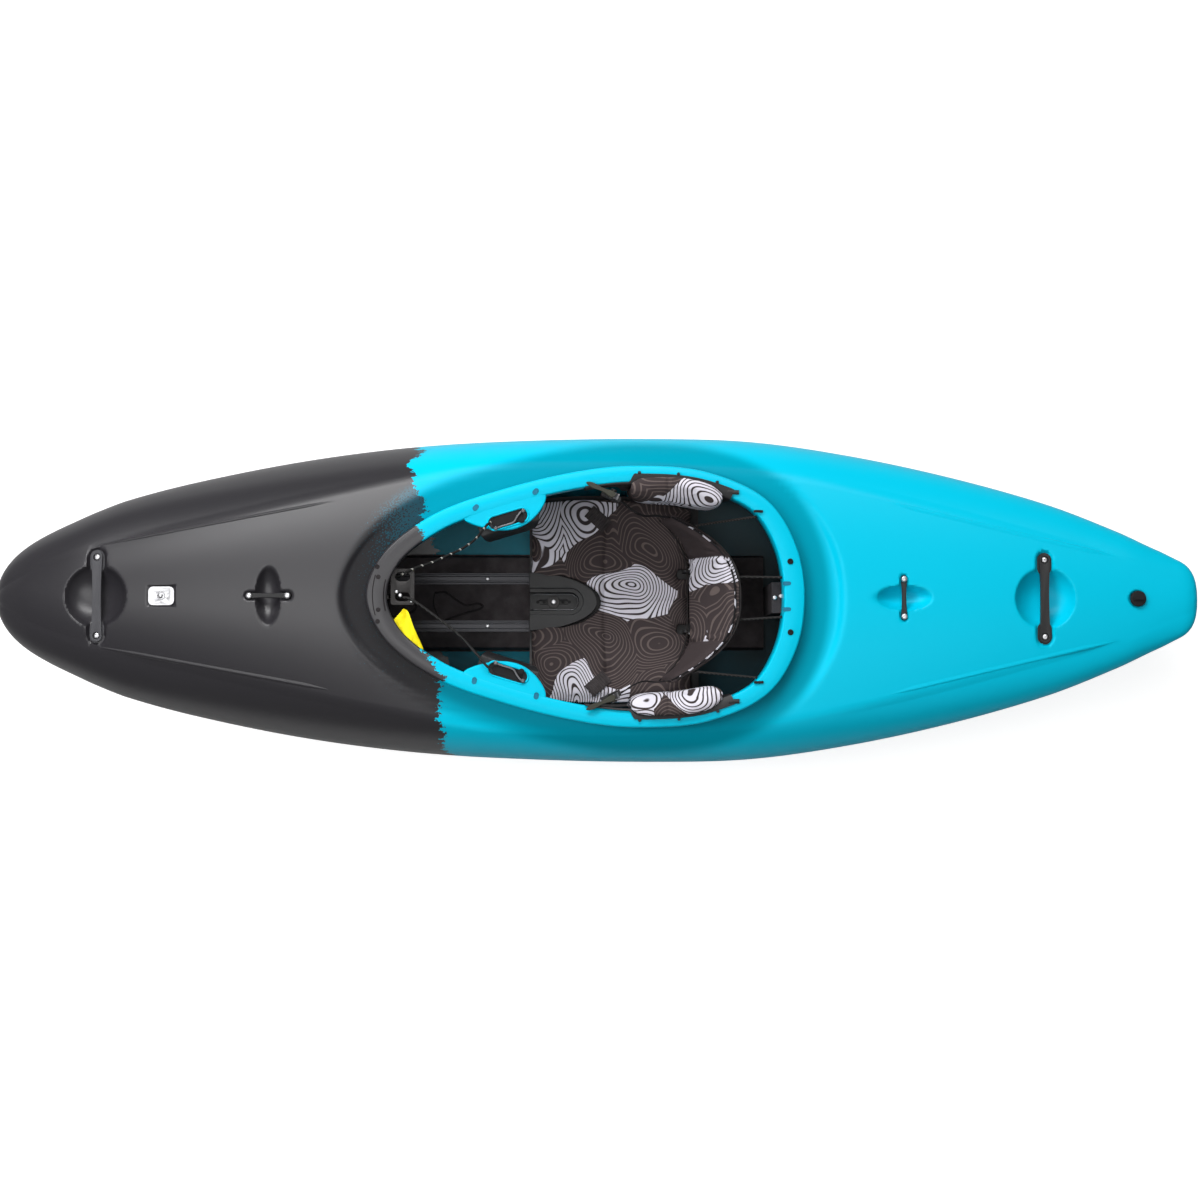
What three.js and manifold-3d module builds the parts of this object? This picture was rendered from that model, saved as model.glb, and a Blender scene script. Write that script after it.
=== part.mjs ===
// A whitewater kayak of the half-slice kind: a full bow, a thin stern and one decked cockpit.
// Millimetres. +X points to the bow, +Y to port and +Z up. The origin is under the middle of
// the boat, on the surface that the hull rests on.

import * as THREE from "three";
import { mergeVertices } from "three/addons/utils/BufferGeometryUtils.js";
import Module from "manifold-3d";

const wasm = await Module();
wasm.setup();

// Hull
const HULL_LENGTH = 2450;
const HULL_BEAM = 668;
const DECK_HEIGHT = 354; // from the keel to the deck's highest line, just ahead of the cockpit
const WALL = 6;
const BOW_ROUND = 200; // length over which the bow closes, seen from above
const STERN_ROUND = 40;
const BOW_TIP_HEIGHT = 250;
const STERN_TIP_HEIGHT = 184;
const CREASE_STEP = 4; // height of the knuckle line beside the raised deck
const CREASE_RUN = 3;

// Each table holds pairs: place from stern (-1) to bow (1), then a share.
const BEAM_SHARES = [
  [-1, 0.21], [-0.935, 0.305], [-0.868, 0.422], [-0.751, 0.593], [-0.584, 0.769],
  [-0.416, 0.901], [-0.249, 0.985], [-0.082, 1], [0.169, 0.976], [0.336, 0.931],
  [0.504, 0.847], [0.67, 0.722], [0.788, 0.603], [0.871, 0.484], [0.93, 0.44], [1, 0.43],
];
const KEEL_SHARES = [
  [-1, 0.469], [-0.939, 0.412], [-0.816, 0.305], [-0.653, 0.175], [-0.49, 0.079],
  [-0.327, 0.023], [-0.163, 0], [0.163, 0], [0.327, 0.009], [0.49, 0.04], [0.571, 0.08],
  [0.653, 0.14], [0.816, 0.3], [0.939, 0.45], [1, 0.537],
];
const DECK_SHARES = [
  [-1, 0.571], [-0.939, 0.588], [-0.816, 0.627], [-0.653, 0.678], [-0.49, 0.729],
  [-0.336, 0.782], [-0.163, 0.839], [0, 0.895], [0.163, 0.944], [0.381, 1], [0.49, 0.997],
  [0.653, 0.977], [0.816, 0.94], [0.939, 0.898], [1, 0.86],
];
const CREASE_SHARES = [
  [-1, 0.1], [-0.877, 0.245], [-0.366, 0.716], [-0.122, 0.802], [0.082, 0.814],
  [0.294, 0.731], [0.812, 0.311], [0.939, 0.2], [1, 0.16],
];
const CREASE_STEP_SHARES = [
  [-1, 0], [-0.9, 0], [-0.8, 0.8], [-0.5, 1], [-0.36, 0.4], [-0.2, 0], [0.2, 0],
  [0.33, 0.6], [0.45, 1], [0.7, 1], [0.84, 0], [1, 0],
];
const CHINE_SHARES = [
  [-1, 0.55], [-0.8, 0.66], [-0.4, 0.72], [0, 0.72], [0.4, 0.7], [0.7, 0.62], [1, 0.45],
];
const SEAM_SHARE = 0.5; // height of the widest line, between keel and deck
const CHINE_RISE_SHARE = 0.055;
const CREASE_HEIGHT_SHARE = 0.86; // of the height from the widest line to the deck
const CREASE_LIMIT_SHARE = 0.86; // of the half-beam
const FLARE_SHARES = [0.8, 0.3]; // pull of the side below the widest line
const SHOULDER_SHARES = [0.06, 0.74]; // pull of the side above the widest line
const STERN_ROUND_POWER = 2.6;
const BOW_ROUND_POWER = 2;

// Cockpit rim, in a frame of its own that tips up towards the bow
const RIM_LENGTH = 879;
const RIM_WIDTH = 524;
const RIM_FORWARD = 27.5; // rim centre ahead of the hull's middle
const RIM_FRONT_HEIGHT = 372;
const RIM_REAR_HEIGHT = 292;
const RIM_SHARES = [
  [1, 0], [0.925, 0.313], [0.7, 0.611], [0.379, 0.813], [0.008, 0.962], [-0.235, 1],
  [-0.55, 0.955], [-0.827, 0.744], [-0.96, 0.4], [-1, 0],
];
const LIP_WIDTH_SIDE = 34;
const LIP_WIDTH_END = 42;
const LIP_THICKNESS = 7;
const LIP_DROP = 11;
const LIP_CROWN = 1.5;
const LIP_ROUND = 4;
const NECK_THICKNESS = 10;
const NECK_REACH = 75; // how far the neck runs down before the cockpit cavity trims it
const VALLEY_DEPTH = 30; // from the lip's top to the skirt groove around the rim
const VALLEY_FRONT = 42;
const VALLEY_REAR = 70;
const VALLEY_SIDE = 26;
const VALLEY_DRAFT = 22;
const CUT_OVERRUN = 60;

// Thigh hooks on the rim
const HOOK_REAR_SHARE = 0.16496; // of the way from the rim's middle to its front
const HOOK_FRONT_SHARE = 0.59727;
const HOOK_DEPTH = 41;
const HOOK_THICKNESS = 8;
const HOOK_DROP = 2;
const SLOT_LENGTH = 74;
const SLOT_WIDTH = 18;
const SLOT_INSET = 17; // slot's middle, in from the rim's inner edge
const SLOT_PLACE_SHARE = 0.376564;

// Fits
const FIT_GAP = 0.3;
const MERGE = 1e-3;

// Where the fittings sit along the hull, as shares of half its length
const BOW_HANDLE_SHARE = 0.822857;
const STERN_HANDLE_SHARE = -0.738776;
const DRAIN_SHARE = -0.89551;
const FOOTREST_SHARE = 0.489796;
const RAIL_FRONT_SHARE = 0.58449;
const FLOOR_FRONT_SHARE = 0.595918;
const BOW_PILLAR_REAR_SHARE = 0.605714;
const BOW_PILLAR_FRONT_SHARE = 0.914286;
const STERN_PILLAR_REAR_SHARE = -0.857143;
const CAMERA_PLACE_SHARE = 0.616715; // of the way from the bow's tow bar to its handle

// Deck fittings
const GRAB = { span: 157, length: 181, width: 22, waist: 17, thick: 8 };
const GRAB_SINK = 4.6; // depth of the recess that hides each handle bolt's head
const GRAB_POCKET = { width: 33, depth: 8, bowl: 62, bowlDepth: 36 };
const TOW = { frontReach: 194, rearReach: 202, span: 76, length: 92, width: 13, waist: 9, thick: 6 };
const TOW_POCKET = { width: 16, depth: 6, bowlAlong: 25, bowlAcross: 57, bowlDepth: 24 };
const BOLT = { head: 6.5, headHeight: 4, shank: 3, reach: 22 };
const BOLT_CLEARANCE = 0.4;
const CAMERA = { length: 51, width: 37, thick: 3, corner: 10, pocket: 2.5, margin: 2 };
const STUD = { collar: 8, collarHeight: 3, post: 4.5, postHeight: 12, shank: 3.2, reach: 14 };
const DRAIN = { knob: 16, knobHeight: 8, stem: 7, reach: 20, seat: 18, pocket: 2 };
const DRAIN_GRIP = { width: 4, height: 6 };
const WASHER = { outer: 13, thick: 2.5 };

// Floor, rails and pillars
const FLOOR = { gap: 1, halfWidth: 103, top: 40, edge: 8 };
const RAIL = { rear: -250, offset: 50, width: 24, thick: 6, groove: 9, grooveDepth: 3 };
const PILLAR = { width: 62, rearGap: 77 };

// Seat
const SEAT = { rear: -205, front: 150, halfWidth: 222, thick: 5, sideRise: 45, frontRise: 14 };
const PAD = { thick: 24, lobe: 20, edge: 9, seam: 5, tuft: 6 };
const PAD_INSET = { rear: 13, front: 1, side: 3 };
const PAD_SEAM_SHARES = { place: 0.545, width: 0.03, tuft: 0.04, tufts: [0.17, 0.5, 0.83] };
const PAD_GRID_SHARES = {
  along: [0, 0.03, 0.1, 0.24, 0.4, 0.505, 0.53, 0.545, 0.56, 0.585, 0.68, 0.8, 0.91, 0.97, 1],
  across: [
    0, 0.03, 0.08, 0.13, 0.17, 0.21, 0.3, 0.38, 0.46, 0.5, 0.54, 0.62, 0.7, 0.79, 0.83, 0.87, 0.92, 0.97, 1,
  ],
};
const POMMEL = { length: 146, halfWidth: 62, tipHalfWidth: 20, height: 42 };
const POMMEL_SLOT = { width: 38, length: 104, floor: 12, through: 9, throughLength: 64 };
const CLAMP = { forward: 100, head: 8, headHeight: 6, shank: 4, bore: 20, plate: 13, plateThick: 2 };
const PIVOT = { x: -186, z: 90, offset: 60, ear: 6, gap: 0.6, pin: 3, head: 6, headHeight: 3, tail: 4 };
const EAR = { width: 30, height: 16, room: 14 };

// Backband
const BAND = { halfWidth: 172, back: -268, sag: 78, lean: 92, bottom: 100, top: 246 };
const BAND_END = { bottom: 142, top: 222 };
const BAND_THICK = 20;
const BAND_EDGE = 7;
const BAND_SEAM = 4;
const BAND_SEAM_SHARES = { places: [0.25, 0.75], width: 0.025 };
const BAND_GRID_SHARES = [
  0, 0.03, 0.09, 0.16, 0.225, 0.25, 0.275, 0.36, 0.44, 0.5,
  0.56, 0.64, 0.725, 0.75, 0.775, 0.84, 0.91, 0.97, 1,
];
const SHELL_THICK = 3;
const SAG_POWER = 2.8;

// Hip plates, pads and ratchets, in the rim's frame
const HIP_REAR_SHARE = -0.658703; // of the way from the rim's middle to its rear
const HIP_FRONT_SHARE = 0.010239;
const HIP = {
  thick: 4, depth: 142, frontDepth: 30, flange: 17, blend: 16, turn: 44,
  corner: 60,
};
const HIP_FLANGE = { thick: 3, lift: 1.8 };
const HIP_PAD = { rearInset: 12, frontInset: 88, thick: 30, edge: 9, crown: 12, bottomInset: 6, over: 4 };
const RATCHET = {
  pivot: -22, across: 203, axisHeight: 10, length: 44, width: 20, height: 18, rise: 2,
};
const RATCHET_YAW = 0.42;
const LEVER = { length: 52, width: 14, tip: 9, thick: 5, pin: 2, ear: 3, gap: 0.4 };
const STRAP = { width: 22, thick: 2.4, tuck: 12, inward: 2 };

// Thigh braces
const BRACE = {
  length: 124, thick: 4, drop: 46, reach: 52, fall: 18, flange: 28, travel: 8, outer: 6, sag: 5,
};
const BRACE_CLAMP = { over: 3, thick: 2.4 };
const BRACE_BOLT = { head: 6, headHeight: 3.5, shank: 2.5, reach: 16, span: 38 };
const BRACE_PAD = { thick: 12, edge: 5 };
const BRACE_NEAR_SHARE = 1e-3;

// Footrest
const FOOT = {
  halfWidth: 150, top: 236, thick: 6, sled: 84, sledHalf: 66, sledThick: 10, lift: 6, corner: 22,
  rib: 5, ribOffset: 40, eye: 10,
};
const FOOT_PAD = { halfWidth: 56, offset: 82, bottom: 74, top: 206, thick: 18, corner: 16 };

// Cords
const CORD = 5; // diameter
const REAR_CORD_SHARE = 0.0205; // of the way round the rim, from its rearmost point
const SIDE_CORD_SHARE = -0.786121; // of the way from the rim's middle to its rear
const CORD_SIDES = 4; // per half turn
const BRACKET = {
  inset: 73, y: -18, width: 72, length: 48, thick: 3, offset: 20, drop: 26, flange: 20, slot: 30, bore: 18,
};
const LINE = { tied: 12, over: 26, reach: 10 };
const LINE_HOOK_SHARE = 0.533561;

// Stowage pouch under the rim's front, port side
const POUCH = { rearInset: 109, frontInset: 58, deep: 26, top: -9, bottom: -36 };

// Rim bolts
const RIM_BOLT = { head: 6, headHeight: 2.5, shank: 3, reach: 5 };
const RIM_BOLT_SHARE = 0.034; // of the way round the rim, from its rearmost point

const COLOURS = {
  hull: 0x05b9de, black: 0x17171a, foam: 0x1c1c20, steel: 0xc9c9cc, fabric: 0x4a4244,
  cord: 0x3c3a36, yellow: 0xf3e40b, rail: 0x2a2a2e, lever: 0x4d4a33,
};

const half = HULL_LENGTH / 2;
const lerp = THREE.MathUtils.lerp;
const clamp = THREE.MathUtils.clamp;
const group = new THREE.Group();

// A station on the rim's outline, by its share of the way from the rim's middle to its front.
const alongRimPlace = (share) => RIM_FORWARD + (share * RIM_LENGTH) / 2;

const places = {
  bowTow: alongRimPlace(1) + TOW.frontReach,
  sternTow: alongRimPlace(-1) - TOW.rearReach,
  bowHandle: BOW_HANDLE_SHARE * half,
  sternHandle: STERN_HANDLE_SHARE * half,
  drain: DRAIN_SHARE * half,
  footrest: FOOTREST_SHARE * half,
  railFront: RAIL_FRONT_SHARE * half,
  floorFront: FLOOR_FRONT_SHARE * half,
  bowPillarRear: BOW_PILLAR_REAR_SHARE * half,
  bowPillarFront: BOW_PILLAR_FRONT_SHARE * half,
  sternPillarFront: BAND.back - PILLAR.rearGap,
  sternPillarRear: STERN_PILLAR_REAR_SHARE * half,
  hookRear: alongRimPlace(HOOK_REAR_SHARE),
  hookFront: alongRimPlace(HOOK_FRONT_SHARE),
  slot: alongRimPlace(SLOT_PLACE_SHARE),
  hipRear: alongRimPlace(HIP_REAR_SHARE),
  hipFront: alongRimPlace(HIP_FRONT_SHARE),
  sideCord: alongRimPlace(SIDE_CORD_SHARE),
  lineHook: alongRimPlace(LINE_HOOK_SHARE),
  bracket: alongRimPlace(1) - BRACKET.inset,
  pouchRear: alongRimPlace(1) - POUCH.rearInset,
  pouchFront: alongRimPlace(1) - POUCH.frontInset,
};
places.camera = lerp(places.bowTow, places.bowHandle, CAMERA_PLACE_SHARE);

// A smooth line through a table of pairs. It is level at each high or low point.
function lineThrough(table) {
  const slope = table.map((point, i) => {
    const before = table[Math.max(i - 1, 0)];
    const after = table[Math.min(i + 1, table.length - 1)];
    const turns = (after[1] - point[1]) * (point[1] - before[1]) <= 0;
    return turns ? 0 : (after[1] - before[1]) / (after[0] - before[0]);
  });
  return (place) => {
    const s = clamp(place, table[0][0], table[table.length - 1][0]);
    let i = 0;
    while (i < table.length - 2 && s > table[i + 1][0]) i += 1;
    const width = table[i + 1][0] - table[i][0];
    const t = (s - table[i][0]) / width;
    const ease = t * t * (3 - 2 * t);
    const start = t * (1 - t) * (1 - t) * width * slope[i];
    const end = t * t * (t - 1) * width * slope[i + 1];
    return table[i][1] * (1 - ease) + table[i + 1][1] * ease + start + end;
  };
}

const beamAt = lineThrough(BEAM_SHARES);
const keelAt = lineThrough(KEEL_SHARES);
const deckAt = lineThrough(DECK_SHARES);
const creaseAt = lineThrough(CREASE_SHARES);
const stepAt = lineThrough(CREASE_STEP_SHARES);
const chineAt = lineThrough(CHINE_SHARES);

// The hull's main lines at a station, for a skin that lies some way inside the outer one.
function station(x, inset) {
  const s = x / half;
  const toBow = x > 0;
  const reach = toBow ? BOW_ROUND : STERN_ROUND;
  const power = toBow ? BOW_ROUND_POWER : STERN_ROUND_POWER;
  const u = clamp((Math.abs(x) - (half - inset - reach)) / reach, 0, 1);
  const round = Math.pow(1 - Math.pow(u, power), 1 / power);
  const tip = toBow ? BOW_TIP_HEIGHT : STERN_TIP_HEIGHT;
  const keel = lerp(tip, keelAt(s) * DECK_HEIGHT + inset, round);
  const deck = lerp(tip, deckAt(s) * DECK_HEIGHT - inset, round);
  const beam = ((beamAt(s) * HULL_BEAM) / 2 - inset) * round;
  const seam = lerp(keel, deck, SEAM_SHARE);
  const crease = Math.min(((creaseAt(s) * HULL_BEAM) / 2) * round, beam * CREASE_LIMIT_SHARE);
  const step = clamp(stepAt(s), 0, 1) * CREASE_STEP * round;
  const creaseTop = lerp(seam, deck, CREASE_HEIGHT_SHARE);
  return {
    keel, deck, beam, seam, crease, creaseTop, step,
    chine: beam * chineAt(s),
    chineTop: lerp(keel, deck, CHINE_RISE_SHARE),
    creaseInner: Math.max(crease - CREASE_RUN, crease / 2),
  };
}

// Height of the raised deck's skin above a point of the plan.
function deckHeight(x, y) {
  const at = station(x, 0);
  const share = Math.min(Math.abs(y) / at.creaseInner, 1);
  return lerp(at.deck, at.creaseTop, share * share);
}

function bend(a, pull, b, steps) {
  const points = [];
  for (let i = 1; i <= steps; i += 1) {
    const t = i / steps;
    const w = [(1 - t) * (1 - t), 2 * t * (1 - t), t * t];
    points.push([0, 1].map((k) => a[k] * w[0] + pull[k] * w[1] + b[k] * w[2]));
  }
  return points;
}

// The ring of the hull's skin at a station, from the keel round the port side to the deck and back.
function hullRing(x, inset, steps) {
  const at = station(x, inset);
  const side = [[0, at.keel]];
  for (let i = 1; i <= steps.bottom; i += 1) {
    const t = i / steps.bottom;
    side.push([at.chine * t, lerp(at.keel, at.chineTop, t * t * t)]);
  }
  const seam = [at.beam, at.seam];
  const crease = [at.crease, at.creaseTop - at.step];
  const flare = [lerp(at.chine, at.beam, FLARE_SHARES[0]), lerp(at.chineTop, at.seam, FLARE_SHARES[1])];
  const shoulder = [
    lerp(at.beam, at.crease, SHOULDER_SHARES[0]),
    lerp(at.seam, crease[1], SHOULDER_SHARES[1]),
  ];
  side.push(...bend([at.chine, at.chineTop], flare, seam, steps.side));
  side.push(...bend(seam, shoulder, crease, steps.shoulder));
  for (let i = 0; i <= steps.deck; i += 1) {
    const t = 1 - i / steps.deck;
    side.push([at.creaseInner * t, lerp(at.deck, at.creaseTop, t * t)]);
  }
  const back = side.slice(1, -1).reverse().map(([y, z]) => [-y, z]);
  return [...side, ...back].map(([y, z]) => new THREE.Vector3(x, y, z));
}

// A closed solid from positions and triangles, turned so that its faces point out.
function bodyOf(points, triangles) {
  const vertProperties = new Float32Array(points.flatMap((p) => [p.x, p.y, p.z]));
  const make = (list) =>
    new wasm.Manifold(new wasm.Mesh({ numProp: 3, vertProperties, triVerts: new Uint32Array(list.flat()) }));
  const made = make(triangles);
  return made.volume() > 0 ? made : make(triangles.map(([a, b, c]) => [a, c, b]));
}

// A skin over rings of equal count, closed by a fan at each end or joined end to end.
function skin(rings, { loop = false, startTip, endTip } = {}) {
  const count = rings[0].length;
  const points = rings.flat();
  const triangles = [];
  const spans = loop ? rings.length : rings.length - 1;
  for (let i = 0; i < spans; i += 1) {
    const next = ((i + 1) % rings.length) * count;
    for (let j = 0; j < count; j += 1) {
      const k = (j + 1) % count;
      triangles.push([i * count + j, next + j, next + k], [i * count + j, next + k, i * count + k]);
    }
  }
  if (!loop) {
    const middle = (ring) => ring.reduce((sum, p) => sum.add(p), new THREE.Vector3()).divideScalar(count);
    const last = (rings.length - 1) * count;
    points.push(startTip ?? middle(rings[0]), endTip ?? middle(rings[rings.length - 1]));
    for (let j = 0; j < count; j += 1) {
      const k = (j + 1) % count;
      triangles.push([points.length - 2, j, k], [points.length - 1, last + k, last + j]);
    }
  }
  return bodyOf(points, triangles);
}

const even = (count) => Array.from({ length: count + 1 }, (_, i) => i / count);

// A solid between two surfaces that share a grid and meet along its edge by short walls. The grid's
// lines are given as shares of each side.
function slab(acrossShares, alongShares, upper, lower) {
  const gridOf = (face) => acrossShares.flatMap((u) => alongShares.map((v) => face(u, v)));
  const points = [...gridOf(upper), ...gridOf(lower)];
  const columns = acrossShares.length - 1;
  const rows = alongShares.length - 1;
  const wide = rows + 1;
  const under = (columns + 1) * wide;
  const triangles = [];
  for (let i = 0; i < columns; i += 1)
    for (let j = 0; j < rows; j += 1) {
      const a = i * wide + j;
      triangles.push([a, a + wide, a + wide + 1], [a, a + wide + 1, a + 1]);
      triangles.push([under + a, under + a + wide + 1, under + a + wide]);
      triangles.push([under + a, under + a + 1, under + a + wide + 1]);
    }
  const edge = [];
  for (let i = 0; i < columns; i += 1) edge.push(i * wide);
  for (let j = 0; j < rows; j += 1) edge.push(columns * wide + j);
  for (let i = columns; i > 0; i -= 1) edge.push(i * wide + rows);
  for (let j = rows; j > 0; j -= 1) edge.push(j);
  edge.forEach((a, n) => {
    const b = edge[(n + 1) % edge.length];
    triangles.push([a, under + a, under + b], [a, under + b, b]);
  });
  return bodyOf(points, triangles);
}

function solidOf(geometry) {
  const bare = geometry.clone();
  bare.deleteAttribute("normal");
  bare.deleteAttribute("uv");
  const merged = mergeVertices(bare, MERGE);
  const triVerts = new Uint32Array(merged.index.array);
  const vertProperties = merged.attributes.position.array;
  return new wasm.Manifold(new wasm.Mesh({ numProp: 3, vertProperties, triVerts }));
}

const boxShape = (x0, x1, y0, y1, z0, z1) =>
  new THREE.BoxGeometry(x1 - x0, y1 - y0, z1 - z0).translate((x0 + x1) / 2, (y0 + y1) / 2, (z0 + z1) / 2);

const block = (...ends) => solidOf(boxShape(...ends));

function rod(radius, z0, z1, x, y, sides) {
  const upright = new THREE.CylinderGeometry(radius, radius, z1 - z0, sides).rotateX(Math.PI / 2);
  return solidOf(upright.translate(x, y, (z0 + z1) / 2));
}

const ROUND_SIDES = 10;
const HOLE_SIDES = 8;

const turned = (profile, sides = ROUND_SIDES) =>
  new THREE.LatheGeometry(profile.map(([r, z]) => new THREE.Vector2(r, z)), sides).rotateX(Math.PI / 2);

function extruded(shape, depth, z, arcSteps = 3) {
  const geometry = new THREE.ExtrudeGeometry(shape, { depth, bevelEnabled: false, curveSegments: arcSteps });
  return geometry.translate(0, 0, z);
}

// A bar with round ends, seen from above, along X, and narrower in its middle.
function barShape(length, width, waist = width) {
  const end = length / 2 - width / 2;
  const shape = new THREE.Shape();
  shape.absarc(end, 0, width / 2, -Math.PI / 2, Math.PI / 2);
  shape.quadraticCurveTo(0, waist - width / 2, -end, width / 2);
  shape.absarc(-end, 0, width / 2, Math.PI / 2, (3 * Math.PI) / 2);
  shape.quadraticCurveTo(0, width / 2 - waist, end, -width / 2);
  return shape;
}

function outlineShape(points) {
  return new THREE.Shape(points.map((p) => new THREE.Vector2(p.x, p.y)));
}

// Adds a solid, or a geometry, as a named mesh.
function piece(name, body, colour, { metal = 0, rough = 0.6 } = {}) {
  let geometry = body;
  if (!body.isBufferGeometry) {
    const mesh = body.getMesh();
    geometry = new THREE.BufferGeometry();
    geometry.setAttribute("position", new THREE.BufferAttribute(mesh.vertProperties, 3));
    geometry.setIndex(new THREE.BufferAttribute(mesh.triVerts, 1));
    geometry.computeVertexNormals();
  }
  const material = new THREE.MeshStandardMaterial({ color: colour, roughness: rough, metalness: metal });
  const made = new THREE.Mesh(geometry, material);
  made.name = name;
  group.add(made);
  return made;
}

// The hull's skin as a solid, inset from the outer surface.
const OUTER_STATIONS = 30;
const INNER_STATIONS = 20;
const OUTER_STEPS = { bottom: 2, side: 3, shoulder: 4, deck: 3 };
const INNER_STEPS = { bottom: 2, side: 3, shoulder: 4, deck: 2 };
function hullSolid(inset, stations, steps) {
  const end = half - inset;
  const rings = [];
  for (let i = 1; i < stations; i += 1)
    rings.push(hullRing(end * Math.sin((Math.PI * (i / stations - 0.5))), inset, steps));
  return skin(rings, {
    startTip: new THREE.Vector3(-end, 0, STERN_TIP_HEIGHT),
    endTip: new THREE.Vector3(end, 0, BOW_TIP_HEIGHT),
  });
}

// The cockpit rim's own frame: X along the rim, Z square to its lip, the origin at its middle.
const rimPitch = Math.atan2(RIM_FRONT_HEIGHT - RIM_REAR_HEIGHT, RIM_LENGTH);
const rimFrame = new THREE.Matrix4()
  .makeRotationY(-rimPitch)
  .setPosition(RIM_FORWARD, 0, (RIM_FRONT_HEIGHT + RIM_REAR_HEIGHT) / 2);
const fromRim = (x, y, h) => new THREE.Vector3(x - RIM_FORWARD, y, h).applyMatrix4(rimFrame);

const rimPoints = [
  ...RIM_SHARES.map(([s, w]) => [s, w]),
  ...RIM_SHARES.slice(1, -1).reverse().map(([s, w]) => [s, -w]),
].map(([s, w]) => new THREE.Vector3(RIM_FORWARD + (s * RIM_LENGTH) / 2, (w * RIM_WIDTH) / 2, 0));
const rimCurve = new THREE.CatmullRomCurve3(rimPoints, true, "centripetal");

// A point of the rim's outline: its outer edge, the way in, and how wide the lip is there.
function rimAt(t) {
  const edge = rimCurve.getPointAt(((t % 1) + 1) % 1);
  const along = rimCurve.getTangentAt(((t % 1) + 1) % 1);
  const inward = new THREE.Vector3(-along.y, along.x, 0);
  const lip = lerp(LIP_WIDTH_SIDE, LIP_WIDTH_END, Math.pow(Math.abs(inward.x), 4));
  return { edge, inward, lip };
}

const RIM_STEPS = 40;
const rimCorners = Array.from({ length: RIM_STEPS }, (_, i) => rimAt(i / RIM_STEPS));

// A point at some distance outwards from the rim's inner edge, with height h above the lip. The rim
// runs straight between its corners, and so does this.
function besideRim(t, out, h = 0) {
  const place = (t - Math.floor(t)) * RIM_STEPS;
  const first = Math.floor(place) % RIM_STEPS;
  const [a, b] = [first, (first + 1) % RIM_STEPS].map((i) => {
    const { edge, inward, lip } = rimCorners[i];
    return edge.clone().addScaledVector(inward, lip - out).setZ(h);
  });
  return a.lerp(b, place - Math.floor(place));
}

// The parameters from one to another that meet every corner of the rim, each span cut in parts.
function rimSteps(from, to, parts) {
  const low = Math.min(from, to);
  const high = Math.max(from, to);
  const fine = RIM_STEPS * parts;
  const steps = [low];
  for (let k = Math.floor(low * fine) + 1; k < high * fine; k += 1) steps.push(k / fine);
  steps.push(high);
  return from < to ? steps : steps.reverse();
}

// Where along the port or starboard outline the rim's inner edge reaches a station x.
function rimParameter(x, side) {
  let low = 0;
  let high = 0.5;
  for (let i = 0; i < 40; i += 1) {
    const middle = (low + high) / 2;
    if (besideRim(middle, 0).x > x) low = middle;
    else high = middle;
  }
  return side > 0 ? low : 1 - low;
}

const ringOf = (count, place) => Array.from({ length: count }, (_, i) => place(i / count));

function rimRing() {
  const rings = ringOf(RIM_STEPS, (t) => {
    const { lip } = rimAt(t);
    const profile = [
      [0, -NECK_REACH], [0, -LIP_ROUND], [LIP_ROUND, 0], [lip / 2, LIP_CROWN], [lip - LIP_ROUND, 0],
      [lip, -LIP_ROUND], [lip, -LIP_DROP], [lip - LIP_ROUND, -LIP_DROP],
      [lip - LIP_ROUND, -LIP_THICKNESS], [NECK_THICKNESS, -LIP_THICKNESS], [NECK_THICKNESS, -NECK_REACH],
    ];
    return profile.map(([out, h]) => {
      const p = besideRim(t, out, h);
      return fromRim(p.x, p.y, p.z);
    });
  });
  return skin(rings, { loop: true });
}

// A solid that stands on the rim's outline, moved outwards by one amount below and another above.
function rimPrism(below, low, above, high, steps = RIM_STEPS) {
  const ring = (out, h) =>
    ringOf(steps, (t) => {
      const p = besideRim(t, typeof out === "function" ? out(t) : out, h);
      return fromRim(p.x, p.y, p.z);
    });
  return skin([ring(below, low), ring(above, high)]);
}

// The skirt groove's cutter: wider behind the rim than beside it.
function valleyCutter(grow) {
  const width = (t, extra) => {
    const { inward, lip } = rimAt(t);
    const end = inward.x > 0 ? VALLEY_REAR : VALLEY_FRONT;
    return lip + lerp(VALLEY_SIDE, end, inward.x * inward.x) + extra + grow;
  };
  const spread = (VALLEY_DRAFT * (VALLEY_DEPTH + CUT_OVERRUN)) / VALLEY_DEPTH;
  return rimPrism((t) => width(t, 0), -VALLEY_DEPTH - grow, (t) => width(t, spread), CUT_OVERRUN);
}

// A recess under a bar across the deck: a pocket for the bar and a bowl for the fingers.
function recess(bar, pocket, x, alongX, grow) {
  const turn = alongX ? 0 : Math.PI / 2;
  const floor = barFloor(bar, pocket, x, alongX) - grow;
  const plan = barShape(bar.length + pocket.width - bar.width + 2 * grow, pocket.width + 2 * grow);
  const slot = solidOf(extruded(plan, CUT_OVERRUN, floor).rotateZ(turn).translate(x, 0, 0));
  const wide = (pocket.bowlAcross ?? pocket.bowl) + grow;
  const along = (pocket.bowlAlong ?? pocket.bowl) + grow;
  const bowl = new THREE.SphereGeometry(1, 14, 6)
    .scale(along, wide, pocket.bowlDepth + grow)
    .rotateZ(turn)
    .translate(x, 0, deckHeight(x, 0));
  return slot.add(solidOf(bowl));
}

function barFloor(bar, pocket, x, alongX) {
  const reach = bar.length / 2;
  const ends = alongX ? [deckHeight(x - reach, 0), deckHeight(x + reach, 0)] : [deckHeight(x, reach)];
  return Math.min(...ends) - pocket.depth;
}

const cameraFloor = deckHeight(places.camera + CAMERA.length / 2, CAMERA.width / 2) - CAMERA.pocket;
const drainFloor = deckHeight(places.drain - DRAIN.seat, DRAIN.seat) - DRAIN.pocket;

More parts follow.
